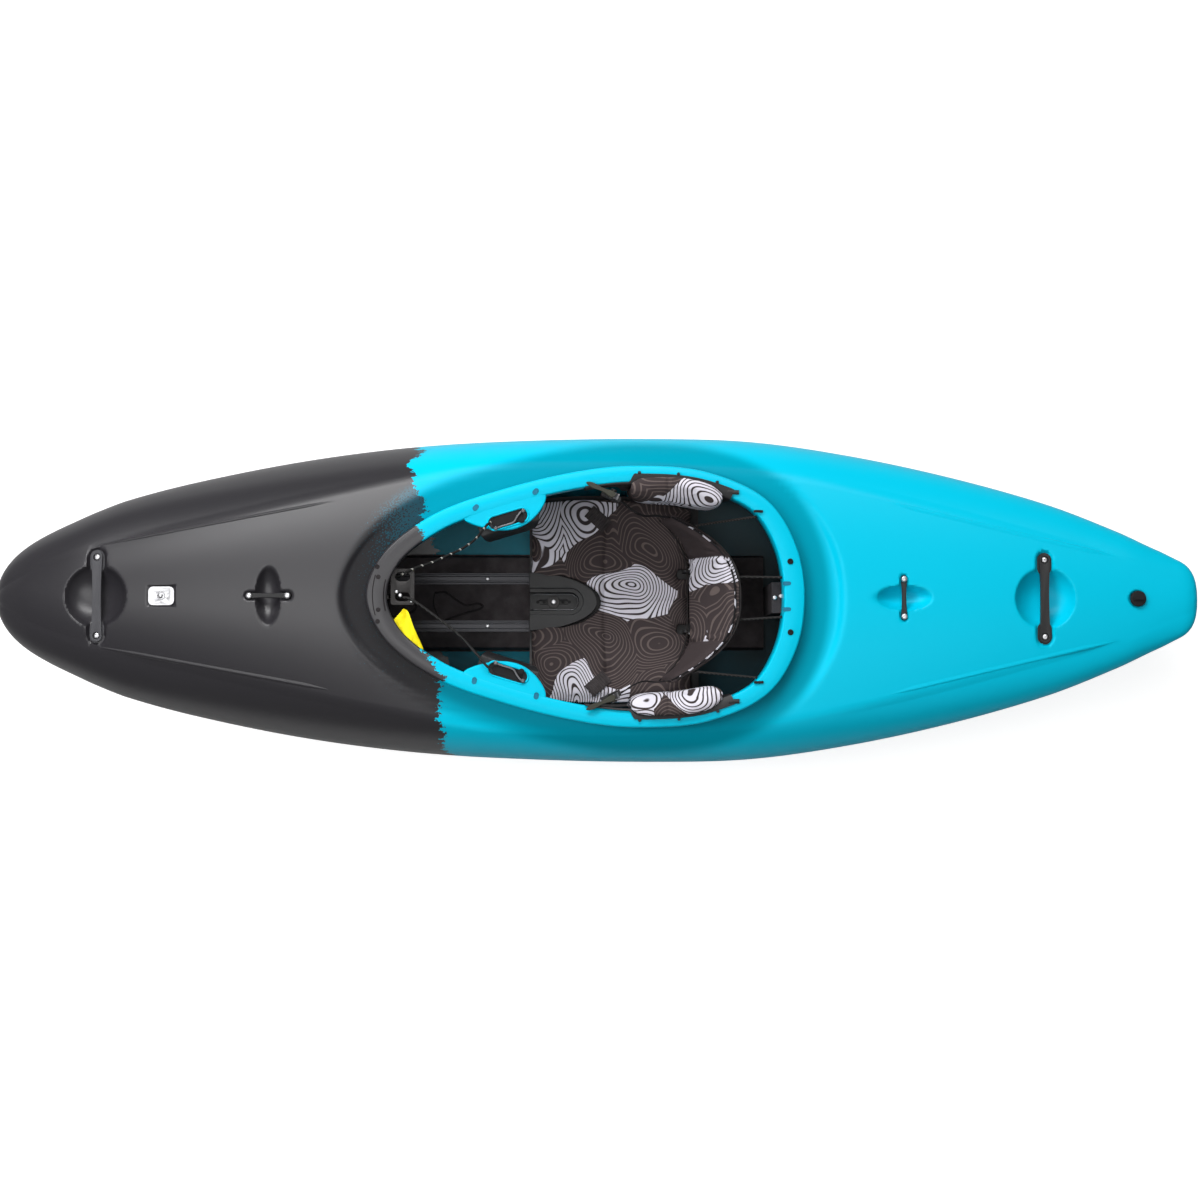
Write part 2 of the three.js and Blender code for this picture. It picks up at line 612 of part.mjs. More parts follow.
// The camera plate's rounded outline, grown by some margin.
function cameraShape(margin) {
  const across = CAMERA.width / 2 - CAMERA.corner;
  const along = CAMERA.length / 2 - CAMERA.corner;
  const corner = CAMERA.corner + margin;
  const plan = new THREE.Shape();
  plan.absarc(along, across, corner, 0, Math.PI / 2);
  plan.absarc(-along, across, corner, Math.PI / 2, Math.PI);
  plan.absarc(-along, -across, corner, Math.PI, 1.5 * Math.PI);
  plan.absarc(along, -across, corner, 1.5 * Math.PI, 2 * Math.PI);
  return plan;
}

// Everything that dips into the deck, for the outer skin or grown by the wall for the inner one.
function deckCutters(grow) {
  const around = extruded(cameraShape(CAMERA.margin + grow), CUT_OVERRUN, cameraFloor - grow, 4);
  const camera = solidOf(around.translate(places.camera, 0, 0));
  const drain = rod(DRAIN.seat + grow, drainFloor - grow, drainFloor + CUT_OVERRUN, places.drain, 0, 20);
  return recess(GRAB, GRAB_POCKET, places.bowHandle, false, grow)
    .add(recess(GRAB, GRAB_POCKET, places.sternHandle, false, grow))
    .add(recess(TOW, TOW_POCKET, places.bowTow, true, grow))
    .add(recess(TOW, TOW_POCKET, places.sternTow, false, grow))
    .add(camera)
    .add(drain)
    .add(valleyCutter(grow));
}

// The space inside the hull, less some clearance to its wall.
function cavity(clearance) {
  const inset = WALL + clearance;
  return hullSolid(inset, INNER_STATIONS, INNER_STEPS).subtract(deckCutters(inset));
}

const boltHole = (x, y, z0, z1, radius) => rod(radius + BOLT_CLEARANCE, z0, z1, x, y, HOLE_SIDES);

function barBoltPlaces(bar, x, alongX) {
  const reach = bar.span / 2;
  return alongX ? [[x + reach, 0], [x - reach, 0]] : [[x, reach], [x, -reach]];
}

const grab = { bar: GRAB, pocket: GRAB_POCKET, alongX: false, sink: GRAB_SINK };
const tow = { bar: TOW, pocket: TOW_POCKET, sink: 0 };
const bars = [
  { ...grab, name: "bow_grab_handle", boltName: "bow_handle", x: places.bowHandle },
  { ...grab, name: "stern_grab_handle", boltName: "stern_handle", x: places.sternHandle },
  { ...tow, name: "bow_tow_bar", boltName: "bow_tow", x: places.bowTow, alongX: true },
  { ...tow, name: "stern_tow_bar", boltName: "stern_tow", x: places.sternTow, alongX: false },
];

// The slot in a thigh hook, as a frame: its middle, and the way it runs.
function slotFrame(side) {
  const t = rimParameter(places.slot, side);
  const middle = besideRim(t, -SLOT_INSET);
  const along = rimAt(t).inward.clone().applyAxisAngle(new THREE.Vector3(0, 0, 1), Math.PI / 2);
  if (along.x < 0) along.negate();
  return { middle, along, angle: Math.atan2(along.y, along.x) };
}

// Puts a geometry drawn about a slot's middle into the hull's frame.
function onSlot(geometry, side) {
  const { middle, angle } = slotFrame(side);
  return geometry.rotateZ(angle).translate(middle.x - RIM_FORWARD, middle.y, 0).applyMatrix4(rimFrame);
}

const HOOK_STEPS = 14;
function thighHook(side) {
  const rear = rimParameter(places.hookRear, side);
  const front = rimParameter(places.hookFront, side);
  const inner = [];
  const outer = [];
  for (let i = 0; i <= HOOK_STEPS; i += 1) {
    const u = i / HOOK_STEPS;
    const t = lerp(rear, front, u);
    const bulge = HOOK_DEPTH * Math.pow(Math.sin(Math.PI * Math.pow(u, 0.85)), 0.8);
    inner.push(besideRim(t, -bulge));
    outer.push(besideRim(t, NECK_THICKNESS / 2));
  }
  const outline = [...inner, ...outer.reverse()];
  if (side < 0) outline.reverse();
  const plate = extruded(outlineShape(outline), HOOK_THICKNESS, -HOOK_DROP - HOOK_THICKNESS);
  return solidOf(plate.translate(-RIM_FORWARD, 0, 0).applyMatrix4(rimFrame));
}

const slotCutter = (side) =>
  solidOf(onSlot(extruded(barShape(SLOT_LENGTH, SLOT_WIDTH), CUT_OVERRUN, -CUT_OVERRUN / 2), side));

// Two bolts in the rim itself, behind the seat.
const rimBoltPlace = (side) => besideRim(1 / 2 - side * RIM_BOLT_SHARE, LIP_WIDTH_END / 2);

function inRim(geometry) {
  return geometry.applyMatrix4(rimFrame);
}

function hullShell() {
  const outer = hullSolid(0, OUTER_STATIONS, OUTER_STEPS).subtract(deckCutters(0));
  const opening = rimPrism(NECK_THICKNESS / 2, -NECK_REACH - CUT_OVERRUN, NECK_THICKNESS / 2, CUT_OVERRUN);
  let shell = outer.subtract(opening).add(rimRing()).subtract(cavity(0));
  for (const side of [1, -1]) shell = shell.add(thighHook(side)).subtract(slotCutter(side));
  for (const { bar, x, alongX } of bars)
    for (const [bx, by] of barBoltPlaces(bar, x, alongX))
      shell = shell.subtract(boltHole(bx, by, 0, DECK_HEIGHT * 2, BOLT.shank).intersect(upperHalf(bx)));
  const studBore = boltHole(places.camera, 0, 0, DECK_HEIGHT, STUD.shank);
  shell = shell.subtract(studBore.intersect(upperHalf(places.camera)));
  const drainBore = rod(DRAIN.stem + BOLT_CLEARANCE, 0, DECK_HEIGHT, places.drain, 0, 16);
  shell = shell.subtract(drainBore.intersect(upperHalf(places.drain)));
  for (const side of [1, -1]) {
    const place = rimBoltPlace(side);
    const radius = RIM_BOLT.shank + BOLT_CLEARANCE;
    const hole = new THREE.CylinderGeometry(radius, radius, CUT_OVERRUN / 2, HOLE_SIDES);
    hole.rotateX(Math.PI / 2).translate(place.x - RIM_FORWARD, place.y, 0);
    shell = shell.subtract(solidOf(inRim(hole)));
  }
  return shell;
}

// The space above the hull's widest line near a station.
function upperHalf(x) {
  const side = HULL_BEAM / 2;
  return block(x - CUT_OVERRUN, x + CUT_OVERRUN, -side, side, station(x, 0).seam, 2 * DECK_HEIGHT);
}

piece("hull_shell", hullShell(), COLOURS.hull, { rough: 0.45 });

// Grab handles and tow bars, each on two bolts
function boltBody({ head, headHeight, shank, reach }) {
  return turned([
    [0, -reach], [shank, -reach], [shank, 0], [head, 0], [head, headHeight / 2], [head * 0.6, headHeight],
    [0, headHeight],
  ]);
}

const BRIGHT = { metal: 1, rough: 0.3 };
for (const { name, boltName, bar, pocket, x, alongX, sink } of bars) {
  const plan = barShape(bar.length, bar.width, bar.waist);
  for (const end of [-1, 1]) {
    const hole = new THREE.Path();
    hole.absarc((end * bar.span) / 2, 0, BOLT.shank + BOLT_CLEARANCE, 0, 2 * Math.PI, true);
    plan.holes.push(hole);
  }
  const base = barFloor(bar, pocket, x, alongX) + FIT_GAP;
  const body = extruded(plan, bar.thick, base, 5).rotateZ(alongX ? 0 : Math.PI / 2).translate(x, 0, 0);
  const seat = base + bar.thick - sink;
  let held = solidOf(body);
  for (const [bx, by] of sink ? barBoltPlaces(bar, x, alongX) : [])
    held = held.subtract(rod(BOLT.head + BOLT_CLEARANCE, seat, seat + CUT_OVERRUN, bx, by, ROUND_SIDES));
  piece(name, held, COLOURS.black);
  const ends = alongX ? ["front", "rear"] : ["port", "starboard"];
  barBoltPlaces(bar, x, alongX).forEach(([bx, by], i) => {
    const bolt = boltBody(BOLT).translate(bx, by, seat + FIT_GAP);
    piece(`${boltName}_bolt_${ends[i]}`, bolt, COLOURS.steel, BRIGHT);
  });
}

// Camera mount: a plate with a threaded stud
{
  const plan = cameraShape(0);
  const hole = new THREE.Path();
  hole.absarc(0, 0, STUD.shank + BOLT_CLEARANCE, 0, 2 * Math.PI, true);
  plan.holes.push(hole);
  const base = cameraFloor + FIT_GAP;
  piece("camera_mount_plate", solidOf(extruded(plan, CAMERA.thick, base, 4).translate(places.camera, 0, 0)),
    COLOURS.steel, { metal: 1, rough: 0.35 });
  const { collar, collarHeight, post, postHeight, shank, reach } = STUD;
  const stud = turned([
    [0, -reach], [shank, -reach], [shank, 0], [collar, 0], [collar, collarHeight], [post, collarHeight],
    [post, postHeight], [0, postHeight],
  ]).translate(places.camera, 0, base + CAMERA.thick + FIT_GAP);
  piece("camera_mount_stud", stud, COLOURS.steel, BRIGHT);
}

// Drain plug: a knob on a stem, over a rubber washer
{
  const seat = drainFloor + FIT_GAP;
  const ring = new THREE.Shape();
  ring.absarc(0, 0, WASHER.outer, 0, 2 * Math.PI);
  const hole = new THREE.Path();
  hole.absarc(0, 0, DRAIN.stem + BOLT_CLEARANCE, 0, 2 * Math.PI, true);
  ring.holes.push(hole);
  const washer = extruded(ring, WASHER.thick, seat, 10).translate(places.drain, 0, 0);
  piece("drain_washer", solidOf(washer), COLOURS.black);
  const { knob, knobHeight, stem, reach } = DRAIN;
  const body = turned([
    [0, -reach], [stem, -reach], [stem, 0], [knob, 0], [knob, knobHeight * 0.7], [knob * 0.85, knobHeight],
    [0, knobHeight],
  ], 20);
  const long = knob * 0.7;
  const wide = DRAIN_GRIP.width / 2;
  const grip = block(-long, long, -wide, wide, knobHeight / 2, knobHeight + DRAIN_GRIP.height);
  const plug = solidOf(body).add(grip).translate([places.drain, 0, seat + WASHER.thick + FIT_GAP]);
  piece("drain_plug", plug, COLOURS.black);
}

// Foam pillars that hold the deck off the hull, and the floor beam between them
const inside = cavity(FIT_GAP);
const tall = 2 * DECK_HEIGHT;
const pillarSide = PILLAR.width / 2;
const boltRoom = bars.flatMap(({ bar, x, alongX }) =>
  barBoltPlaces(bar, x, alongX).map(([bx, by]) => boltHole(bx, by, station(bx, 0).seam, tall, BOLT.shank)));
const pillar = (rear, front) =>
  boltRoom.reduce((body, room) => body.subtract(room),
    inside.intersect(block(rear, front, -pillarSide, pillarSide, 0, tall)));
const studRoom = cameraFloor - STUD.reach - CUT_OVERRUN;
const studHole = rod(STUD.collar, studRoom, tall, places.camera, 0, HOLE_SIDES);
const bowPillar = pillar(places.bowPillarRear, places.bowPillarFront).subtract(studHole);
const sternPillar = pillar(places.sternPillarRear, places.sternPillarFront);
piece("bow_pillar", bowPillar, COLOURS.foam, { rough: 0.9 });
piece("stern_pillar", sternPillar, COLOURS.foam, { rough: 0.9 });
{
  const rear = places.sternPillarFront + FLOOR.gap;
  const front = places.floorFront;
  const ring = (w, z) =>
    [[rear, -w], [front, -w], [front, w], [rear, w]].map(([x, y]) => new THREE.Vector3(x, y, z));
  const wedge = skin([ring(FLOOR.halfWidth, 0), ring(FLOOR.halfWidth - FLOOR.edge, FLOOR.top)]);
  const bore = rod(CLAMP.shank + BOLT_CLEARANCE, FLOOR.top - CLAMP.bore, tall, CLAMP.forward, 0, HOLE_SIDES);
  piece("floor_beam", inside.intersect(wedge).subtract(bore), COLOURS.foam, { rough: 0.85 });
}

const railFloor = FLOOR.top + FIT_GAP;
const railTop = railFloor + RAIL.thick;
for (const [name, side] of [["port", 1], ["starboard", -1]]) {
  const y = side * RAIL.offset;
  const bar = block(RAIL.rear, places.railFront, y - RAIL.width / 2, y + RAIL.width / 2, railFloor, railTop);
  const groove = block(
    RAIL.rear - CUT_OVERRUN, places.railFront + CUT_OVERRUN, y - RAIL.groove / 2, y + RAIL.groove / 2,
    railTop - RAIL.grooveDepth, railTop + CUT_OVERRUN,
  );
  piece(`foot_rail_${name}`, bar.subtract(groove), COLOURS.rail, { metal: 0.6, rough: 0.5 });
}

const SOFT = { rough: 0.95 };

// Seat: a moulded pan on the rails, with a pommel between the thighs
const seatBase = railTop + FIT_GAP;
const plump = (t, power) => 1 - Math.pow(Math.abs(t), power);
const padArea = {
  rear: SEAT.rear + PAD_INSET.rear,
  front: SEAT.front - PAD_INSET.front,
  halfWidth: SEAT.halfWidth - PAD_INSET.side,
};
function panHeight(x, y) {
  const across = Math.abs(y) / SEAT.halfWidth;
  const ahead = clamp((x - SEAT.rear) / (SEAT.front - SEAT.rear), 0, 1);
  return SEAT.sideRise * Math.pow(across, 3) + SEAT.frontRise * ahead * ahead * across;
}
function panPoint(u, v, area, lift) {
  const x = lerp(area.rear, area.front, u);
  const narrow = 1 - 0.1 * Math.pow(1 - u, 4) - 0.06 * Math.pow(u, 6);
  const y = (2 * v - 1) * area.halfWidth * narrow;
  return new THREE.Vector3(x, y, seatBase + panHeight(x, y) + lift(u, v));
}

// The seat pad's crown: plump between its edges, raised into a lobe under each thigh, and drawn in
// along one sewn seam with three tufts.
function padHeight(u, v) {
  const across = Math.abs(2 * v - 1);
  const soft = plump(2 * u - 1, 10) * plump(across, 8);
  const ahead = Math.pow(clamp(2 * u - 1, 0, 1), 1.5);
  const lobe = PAD.lobe * ahead * Math.sin(Math.PI * across);
  const seam = PAD.seam * near(u, PAD_SEAM_SHARES.place, PAD_SEAM_SHARES.width);
  const tufts = PAD_SEAM_SHARES.tufts.map((at) =>
    near(u, PAD_SEAM_SHARES.place, PAD_SEAM_SHARES.tuft) * near(v, at, PAD_SEAM_SHARES.tuft));
  const crown = PAD.edge + (PAD.thick - PAD.edge + lobe) * soft;
  return SEAT.thick + FIT_GAP + crown - seam - PAD.tuft * Math.max(...tufts);
}

// One at a place and nothing beyond some width to either side.
function near(value, place, width) {
  return Math.max(0, 1 - Math.abs(value - place) / width);
}

// The pommel seen from above, or that outline grown on every side and run out past its front.
function pommelShape(grow) {
  const { front } = SEAT;
  const rear = front - POMMEL.length;
  const end = front + (grow ? CUT_OVERRUN : 0);
  const tip = POMMEL.tipHalfWidth + grow;
  const wide = POMMEL.halfWidth + grow;
  const shape = new THREE.Shape();
  shape.moveTo(end, -wide);
  shape.lineTo(end, wide);
  shape.lineTo(lerp(rear, front, 0.55), wide * 0.86);
  shape.quadraticCurveTo(rear + tip, wide * 0.6, rear + tip * 0.4 - grow, tip * 0.7);
  shape.quadraticCurveTo(rear - grow, 0, rear + tip * 0.4 - grow, -tip * 0.7);
  shape.quadraticCurveTo(rear + tip, -wide * 0.6, lerp(rear, front, 0.55), -wide * 0.86);
  shape.lineTo(end, -wide);
  return shape;
}

// A round cutter along Y.
function crossBore(radius, x, y, z) {
  const wide = radius + BOLT_CLEARANCE;
  return solidOf(new THREE.CylinderGeometry(wide, wide, CUT_OVERRUN, HOLE_SIDES).translate(x, y, z));
}
const pinReach = PIVOT.ear * 2 + PIVOT.gap + PIVOT.tail;
const pinHole = (side) => crossBore(PIVOT.pin, PIVOT.x, side * PIVOT.offset, PIVOT.z);

// An ear beside the backband's pivot, between two distances from the boat's middle.
function pivotEar(side, from, to, z0, z1) {
  const ends = [side * from, side * to].sort((a, b) => a - b);
  return block(PIVOT.x - EAR.width / 2, PIVOT.x + EAR.width / 2, ...ends, z0, z1);
}

{
  const pan = slab(even(8), even(10),
    (u, v) => panPoint(u, v, SEAT, () => SEAT.thick),
    (u, v) => panPoint(u, v, SEAT, () => 0));
  const pommel = solidOf(extruded(pommelShape(0), POMMEL.height, seatBase));
  const floor = seatBase + POMMEL_SLOT.floor;
  const groovePlan = barShape(2 * POMMEL_SLOT.length, POMMEL_SLOT.width);
  const groove = solidOf(extruded(groovePlan, CUT_OVERRUN, floor).translate(SEAT.front, 0, 0));
  const slotPlan = barShape(POMMEL_SLOT.throughLength, POMMEL_SLOT.through);
  const under = seatBase - CUT_OVERRUN / 2;
  const through = solidOf(extruded(slotPlan, CUT_OVERRUN, under).translate(CLAMP.forward, 0, 0));
  let seat = pan.add(pommel).subtract(groove).subtract(through);
  for (const side of [1, -1]) {
    const from = PIVOT.offset + PIVOT.gap / 2;
    const low = seatBase + SEAT.thick / 2;
    const ear = pivotEar(side, from, from + PIVOT.ear, low, PIVOT.z + EAR.height / 2);
    seat = seat.add(ear).subtract(pinHole(side));
  }
  piece("seat_pan", seat, COLOURS.black);
}

{
  const pad = slab(PAD_GRID_SHARES.along, PAD_GRID_SHARES.across,
    (u, v) => panPoint(u, v, padArea, padHeight),
    (u, v) => panPoint(u, v, padArea, () => SEAT.thick / 2));
  const notch = solidOf(extruded(pommelShape(FIT_GAP * 3), tall, 0));
  const pan = solidOf(group.getObjectByName("seat_pan").geometry).translate([0, 0, FIT_GAP]);
  const room = [1, -1].map((side) => block(
    PIVOT.x - EAR.width, PIVOT.x + EAR.width / 2 + EAR.room,
    side * PIVOT.offset - EAR.room, side * PIVOT.offset + EAR.room, 0, tall));
  const clear = pad.subtract(notch).subtract(pan).subtract(room[0]).subtract(room[1]);
  piece("seat_pad", clear, COLOURS.fabric, SOFT);
}

{
  const top = seatBase + POMMEL_SLOT.floor + FIT_GAP;
  const reach = top - FLOOR.top + CLAMP.bore - FIT_GAP;
  const bolt = solidOf(boltBody({ ...CLAMP, reach })).add(rod(CLAMP.plate, 0, CLAMP.plateThick, 0, 0, 16));
  piece("seat_clamp_bolt", bolt.translate([CLAMP.forward, 0, top]), COLOURS.steel, BRIGHT);
}

// How far the band's front lies behind its crown: at its edges and in its two sewn channels.
function bandDip(u, v) {
  const edge = BAND_EDGE * (1 - plump(2 * u - 1, 12) * plump(2 * v - 1, 6));
  const channels = BAND_SEAM_SHARES.places.map((at) => near(u, at, BAND_SEAM_SHARES.width));
  return Math.max(edge, BAND_SEAM * Math.max(...channels));
}

// Backband: a padded band that leans back and wraps round the paddler's hips
function bandPoint(u, v, behind) {
  const side = 2 * u - 1;
  const y = side * (BAND.halfWidth - behind * 0.1);
  const wrap = Math.pow(Math.abs(side), SAG_POWER);
  const bottom = lerp(BAND.bottom, BAND_END.bottom, side * side);
  const top = lerp(BAND.top, BAND_END.top, side * side);
  const z = lerp(bottom, top, v);
  const lean = (BAND.lean * (z - BAND.bottom)) / (BAND.top - BAND.bottom);
  const x = BAND.back + BAND.lean + BAND.sag * wrap - lean * (1 - 0.6 * wrap);
  return new THREE.Vector3(x - behind, y, z);
}
const bandPad = slab(BAND_GRID_SHARES, even(5),
  (u, v) => bandPoint(u, v, bandDip(u, v)),
  (u, v) => bandPoint(u, v, BAND_THICK));
piece("backband_pad", bandPad, COLOURS.fabric, SOFT);
{
  const trim = (v) => lerp(0.06, 0.92, v);
  let shell = slab(even(10), even(3),
    (u, v) => bandPoint(lerp(0.1, 0.9, u), trim(v), BAND_THICK - SHELL_THICK),
    (u, v) => bandPoint(lerp(0.1, 0.9, u), trim(v), BAND_THICK + SHELL_THICK));
  for (const side of [1, -1]) {
    const to = PIVOT.offset - PIVOT.gap / 2;
    const lug = pivotEar(side, to - PIVOT.ear, to, PIVOT.z - EAR.height / 2, BAND.bottom + EAR.width);
    const behind = slab(even(2), even(4),
      (u, v) => bandPoint(0.3 + 0.4 * u, lerp(-0.3, 0.5, v), BAND_THICK - SHELL_THICK),
      (u, v) => bandPoint(0.3 + 0.4 * u, lerp(-0.3, 0.5, v), BAND_THICK + CUT_OVERRUN));
    shell = shell.add(lug.intersect(behind)).subtract(pinHole(side));
  }
  shell = shell.subtract(bandPad).subtract(bandPad.translate([-FIT_GAP, 0, 0]));
  piece("backband_shell", shell, COLOURS.black);
  for (const [name, side] of [["port", 1], ["starboard", -1]]) {
    const pin = turned([
      [0, -pinReach], [PIVOT.pin, -pinReach], [PIVOT.pin, 0], [PIVOT.head, 0],
      [PIVOT.head, PIVOT.headHeight], [0, PIVOT.headHeight],
    ], 12).rotateX(side > 0 ? -Math.PI / 2 : Math.PI / 2);
    pin.translate(PIVOT.x, side * (PIVOT.offset + PIVOT.gap / 2 + PIVOT.ear + FIT_GAP), PIVOT.z);
    piece(`backband_pin_${name}`, pin, COLOURS.steel, BRIGHT);
  }
}

// Hip plates hang inside the rim, hooked over its lip, with a soft pad and a ratchet each
const sides = [["port", 1], ["starboard", -1]];
const rimWorld = (t, out, h) => {
  const p = besideRim(t, out, h);
  return fromRim(p.x, p.y, p.z);
};

// A strip that follows the rim's inner edge between two stations: a profile of [out, h] at each step.
// The core is a point of the profile from which its whole edge can be seen.
function alongRim(rear, front, side, parts, profileAt, core) {
  const from = rimParameter(rear, side);
  const to = rimParameter(front, side);
  return skin(
    rimSteps(from, to, parts).map((t) =>
      profileAt((t - from) / (to - from)).map(([out, h]) => rimWorld(t, out, h))),
    core && { startTip: rimWorld(from, ...core), endTip: rimWorld(to, ...core) },
  );
}

const flangeTop = HIP_FLANGE.lift + HIP_FLANGE.thick;
for (const [name, side] of sides) {
  const inner = -FIT_GAP - HIP.thick;
  const blend = HIP.blend;
  const plate = alongRim(places.hipRear, places.hipFront, side, 3, (u) => {
    const x = lerp(places.hipRear, places.hipFront, u);
    const ease = THREE.MathUtils.smoothstep(x, -blend - HIP.turn, blend - HIP.turn);
    const depth = lerp(HIP.depth, HIP.frontDepth, ease);
    const round = Math.sqrt(1 - Math.pow(clamp((places.hipRear + HIP.corner - x) / HIP.corner, 0, 1), 2));
    const low = lerp(HIP.frontDepth, depth, round);
    return [
      [-FIT_GAP, HIP_FLANGE.lift], [HIP.flange, HIP_FLANGE.lift], [HIP.flange, flangeTop],
      [inner, flangeTop], [inner, -low], [-FIT_GAP, -low],
    ];
  }, [inner + HIP.thick / 2, HIP_FLANGE.lift + HIP_FLANGE.thick / 2]);
  piece(`hip_plate_${name}`, plate, COLOURS.black);

  const face = inner - FIT_GAP;
  const ledge = flangeTop + FIT_GAP;
  const bottom = HIP_PAD.bottomInset - HIP.depth;
  const over = HIP.flange - HIP_PAD.over;
  const from = places.hipRear + HIP_PAD.rearInset;
  const pad = alongRim(from, places.hipFront - HIP_PAD.frontInset, side, 3, (u) => {
    const full = Math.sqrt(plump(2 * u - 1, 6));
    const thick = lerp(HIP_PAD.edge, HIP_PAD.thick, full);
    const low = lerp(bottom * 0.6, bottom, full);
    const high = ledge + lerp(HIP_PAD.crown * 0.5, HIP_PAD.crown, full);
    return [
      [face, low], [face, ledge], [over, ledge], [over, (ledge + high) / 2],
      [over - 2 * HIP_PAD.over, high], [face - thick * 0.45, high], [face - thick * 0.85, ledge],
      [face - thick, low * 0.3], [face - thick * 0.95, low * 0.7], [face - thick * 0.6, low * 0.95],
    ];
  }, [face - HIP_PAD.edge / 3, ledge + HIP_PAD.crown / 4]);
  piece(`hip_pad_${name}`, pad, COLOURS.fabric, SOFT);
}

// Ratchets that draw the backband's straps forward
const ratchetMatrix = (side) => {
  const { pivot, across, axisHeight } = RATCHET;
  const turn = new THREE.Matrix4().makeRotationZ(side * RATCHET_YAW);
  const spot = new THREE.Matrix4().makeTranslation(pivot - RIM_FORWARD, side * across, axisHeight);
  return rimFrame.clone().multiply(spot).multiply(turn);
};
for (const [name, side] of sides) {
  const place = ratchetMatrix(side);
  const put = (geometry) => solidOf(geometry.applyMatrix4(place));
  const ear = LEVER.width / 2 + LEVER.gap;
  const wide = LEVER.pin + BOLT_CLEARANCE;
  const eye = put(new THREE.CylinderGeometry(wide, wide, CUT_OVERRUN, HOLE_SIDES));
  const low = -RATCHET.axisHeight;
  const long = RATCHET.length / 2;
  const across = RATCHET.width / 2;
  let base = put(boxShape(-long, long, -across, across, low - RATCHET.height, low + RATCHET.rise));
  for (const way of [-1, 1]) {
    const ends = [way * ear, way * (ear + LEVER.ear)].sort((a, b) => a - b);
    base = base.add(put(boxShape(-LEVER.ear * 2, LEVER.ear * 2, ...ends, low, LEVER.pin * 2.2)));
  }
  const wall = alongRim(places.hipRear, places.hipFront + RATCHET.length, side, 1, () => [
    [HIP.flange * 4, CUT_OVERRUN], [-FIT_GAP - HIP.thick - FIT_GAP, CUT_OVERRUN],
    [-FIT_GAP - HIP.thick - FIT_GAP, -CUT_OVERRUN], [HIP.flange * 4, -CUT_OVERRUN],
  ]);
  base = base.subtract(eye).subtract(wall);
  piece(`ratchet_base_${name}`, base, COLOURS.black);

  const plan = new THREE.Shape();
  plan.absarc(0, 0, LEVER.width / 2, Math.PI / 2, 1.5 * Math.PI);
  plan.absarc(LEVER.length, 0, LEVER.tip / 2, -Math.PI / 2, Math.PI / 2);
  const lever = put(extruded(plan, LEVER.thick, -LEVER.thick / 2, 5)).add(
    put(new THREE.CylinderGeometry(LEVER.pin, LEVER.pin, 2 * (ear + LEVER.ear), HOLE_SIDES)),
  );
  piece(`ratchet_lever_${name}`, lever, COLOURS.lever, { rough: 0.5 });
}

const largest = (body) => body.decompose().sort((a, b) => b.volume() - a.volume())[0];

// A ribbon along some points, as wide as a strap, its width turned towards a given way.
function ribbon(points, wide, width, thick, steps) {
  const curve = new THREE.CatmullRomCurve3(points, false, "centripetal");
  const rings = [];
  for (let i = 0; i <= steps; i += 1) {
    const middle = curve.getPointAt(i / steps);
    const along = curve.getTangentAt(i / steps);
    const over = wide.clone().addScaledVector(along, -wide.dot(along)).normalize();
    const face = along.clone().cross(over);
    rings.push([[-1, -1], [1, -1], [1, 1], [-1, 1]].map(([a, b]) =>
      middle.clone().addScaledVector(over, (a * width) / 2).addScaledVector(face, (b * thick) / 2)));
  }
  return skin(rings);
}

for (const [name, side] of sides) {
  const start = bandPoint(side > 0 ? 1 : 0, 0.5, BAND_THICK / 2)
    .add(new THREE.Vector3(-STRAP.tuck, -side * STRAP.thick, 0));
  const base = new THREE.Vector3(STRAP.tuck - RATCHET.length / 2, 0, -RATCHET.axisHeight - RATCHET.height / 2)
    .applyMatrix4(ratchetMatrix(side));
  const middle = start.clone().lerp(base, 0.55).setY(side * (BAND.halfWidth - STRAP.inward));
  const shift = new THREE.Vector3().subVectors(middle, start).setLength(FIT_GAP).toArray();
  const ratchet = solidOf(group.getObjectByName(`ratchet_base_${name}`).geometry);
  let strap = ribbon([start, middle, base], new THREE.Vector3(0, 0, 1), STRAP.width, STRAP.thick, 10);
  for (const body of [bandPad, bandPad.translate(shift), ratchet, ratchet.translate(shift.map((n) => -n))])
    strap = strap.subtract(body);
  piece(`backband_strap_${name}`, largest(strap), COLOURS.black, { rough: 0.9 });
}

// A cord along some points.
function cord(points, diameter, steps) {
  const curve = new THREE.CatmullRomCurve3(points, false, "centripetal");
  const section = new THREE.Shape();
  section.absarc(0, 0, diameter / 2, 0, 2 * Math.PI);
  const settings = { steps, curveSegments: CORD_SIDES, extrudePath: curve };
  return solidOf(new THREE.ExtrudeGeometry(section, settings));
}

for (const [name, side] of sides) {
  const top = (u, v, out) => bandPoint(side > 0 ? u : 1 - u, v, out);
  const tied = [
    ["rear", top(0.63, 0.86, BAND_THICK), rimWorld(0.5 - side * REAR_CORD_SHARE, CORD, -CORD * 2)],
    ["side", top(0.94, 0.86, BAND_THICK), rimWorld(rimParameter(places.sideCord, side), CORD, -CORD * 2)],
  ];
  const hull = solidOf(group.getObjectByName("hull_shell").geometry);
  const shell = solidOf(group.getObjectByName("backband_shell").geometry);
  for (const [at, start, end] of tied) {
    const shift = new THREE.Vector3().subVectors(end, start).setLength(FIT_GAP).toArray();
    const back = shift.map((n) => -n);
    let line = cord([start, end], CORD, 4);
    for (const body of [shell, bandPad]) line = line.subtract(body).subtract(body.translate(shift));
    line = line.subtract(hull).subtract(hull.translate(back));
    piece(`backband_${at}_cord_${name}`, largest(line), COLOURS.cord);
  }
}

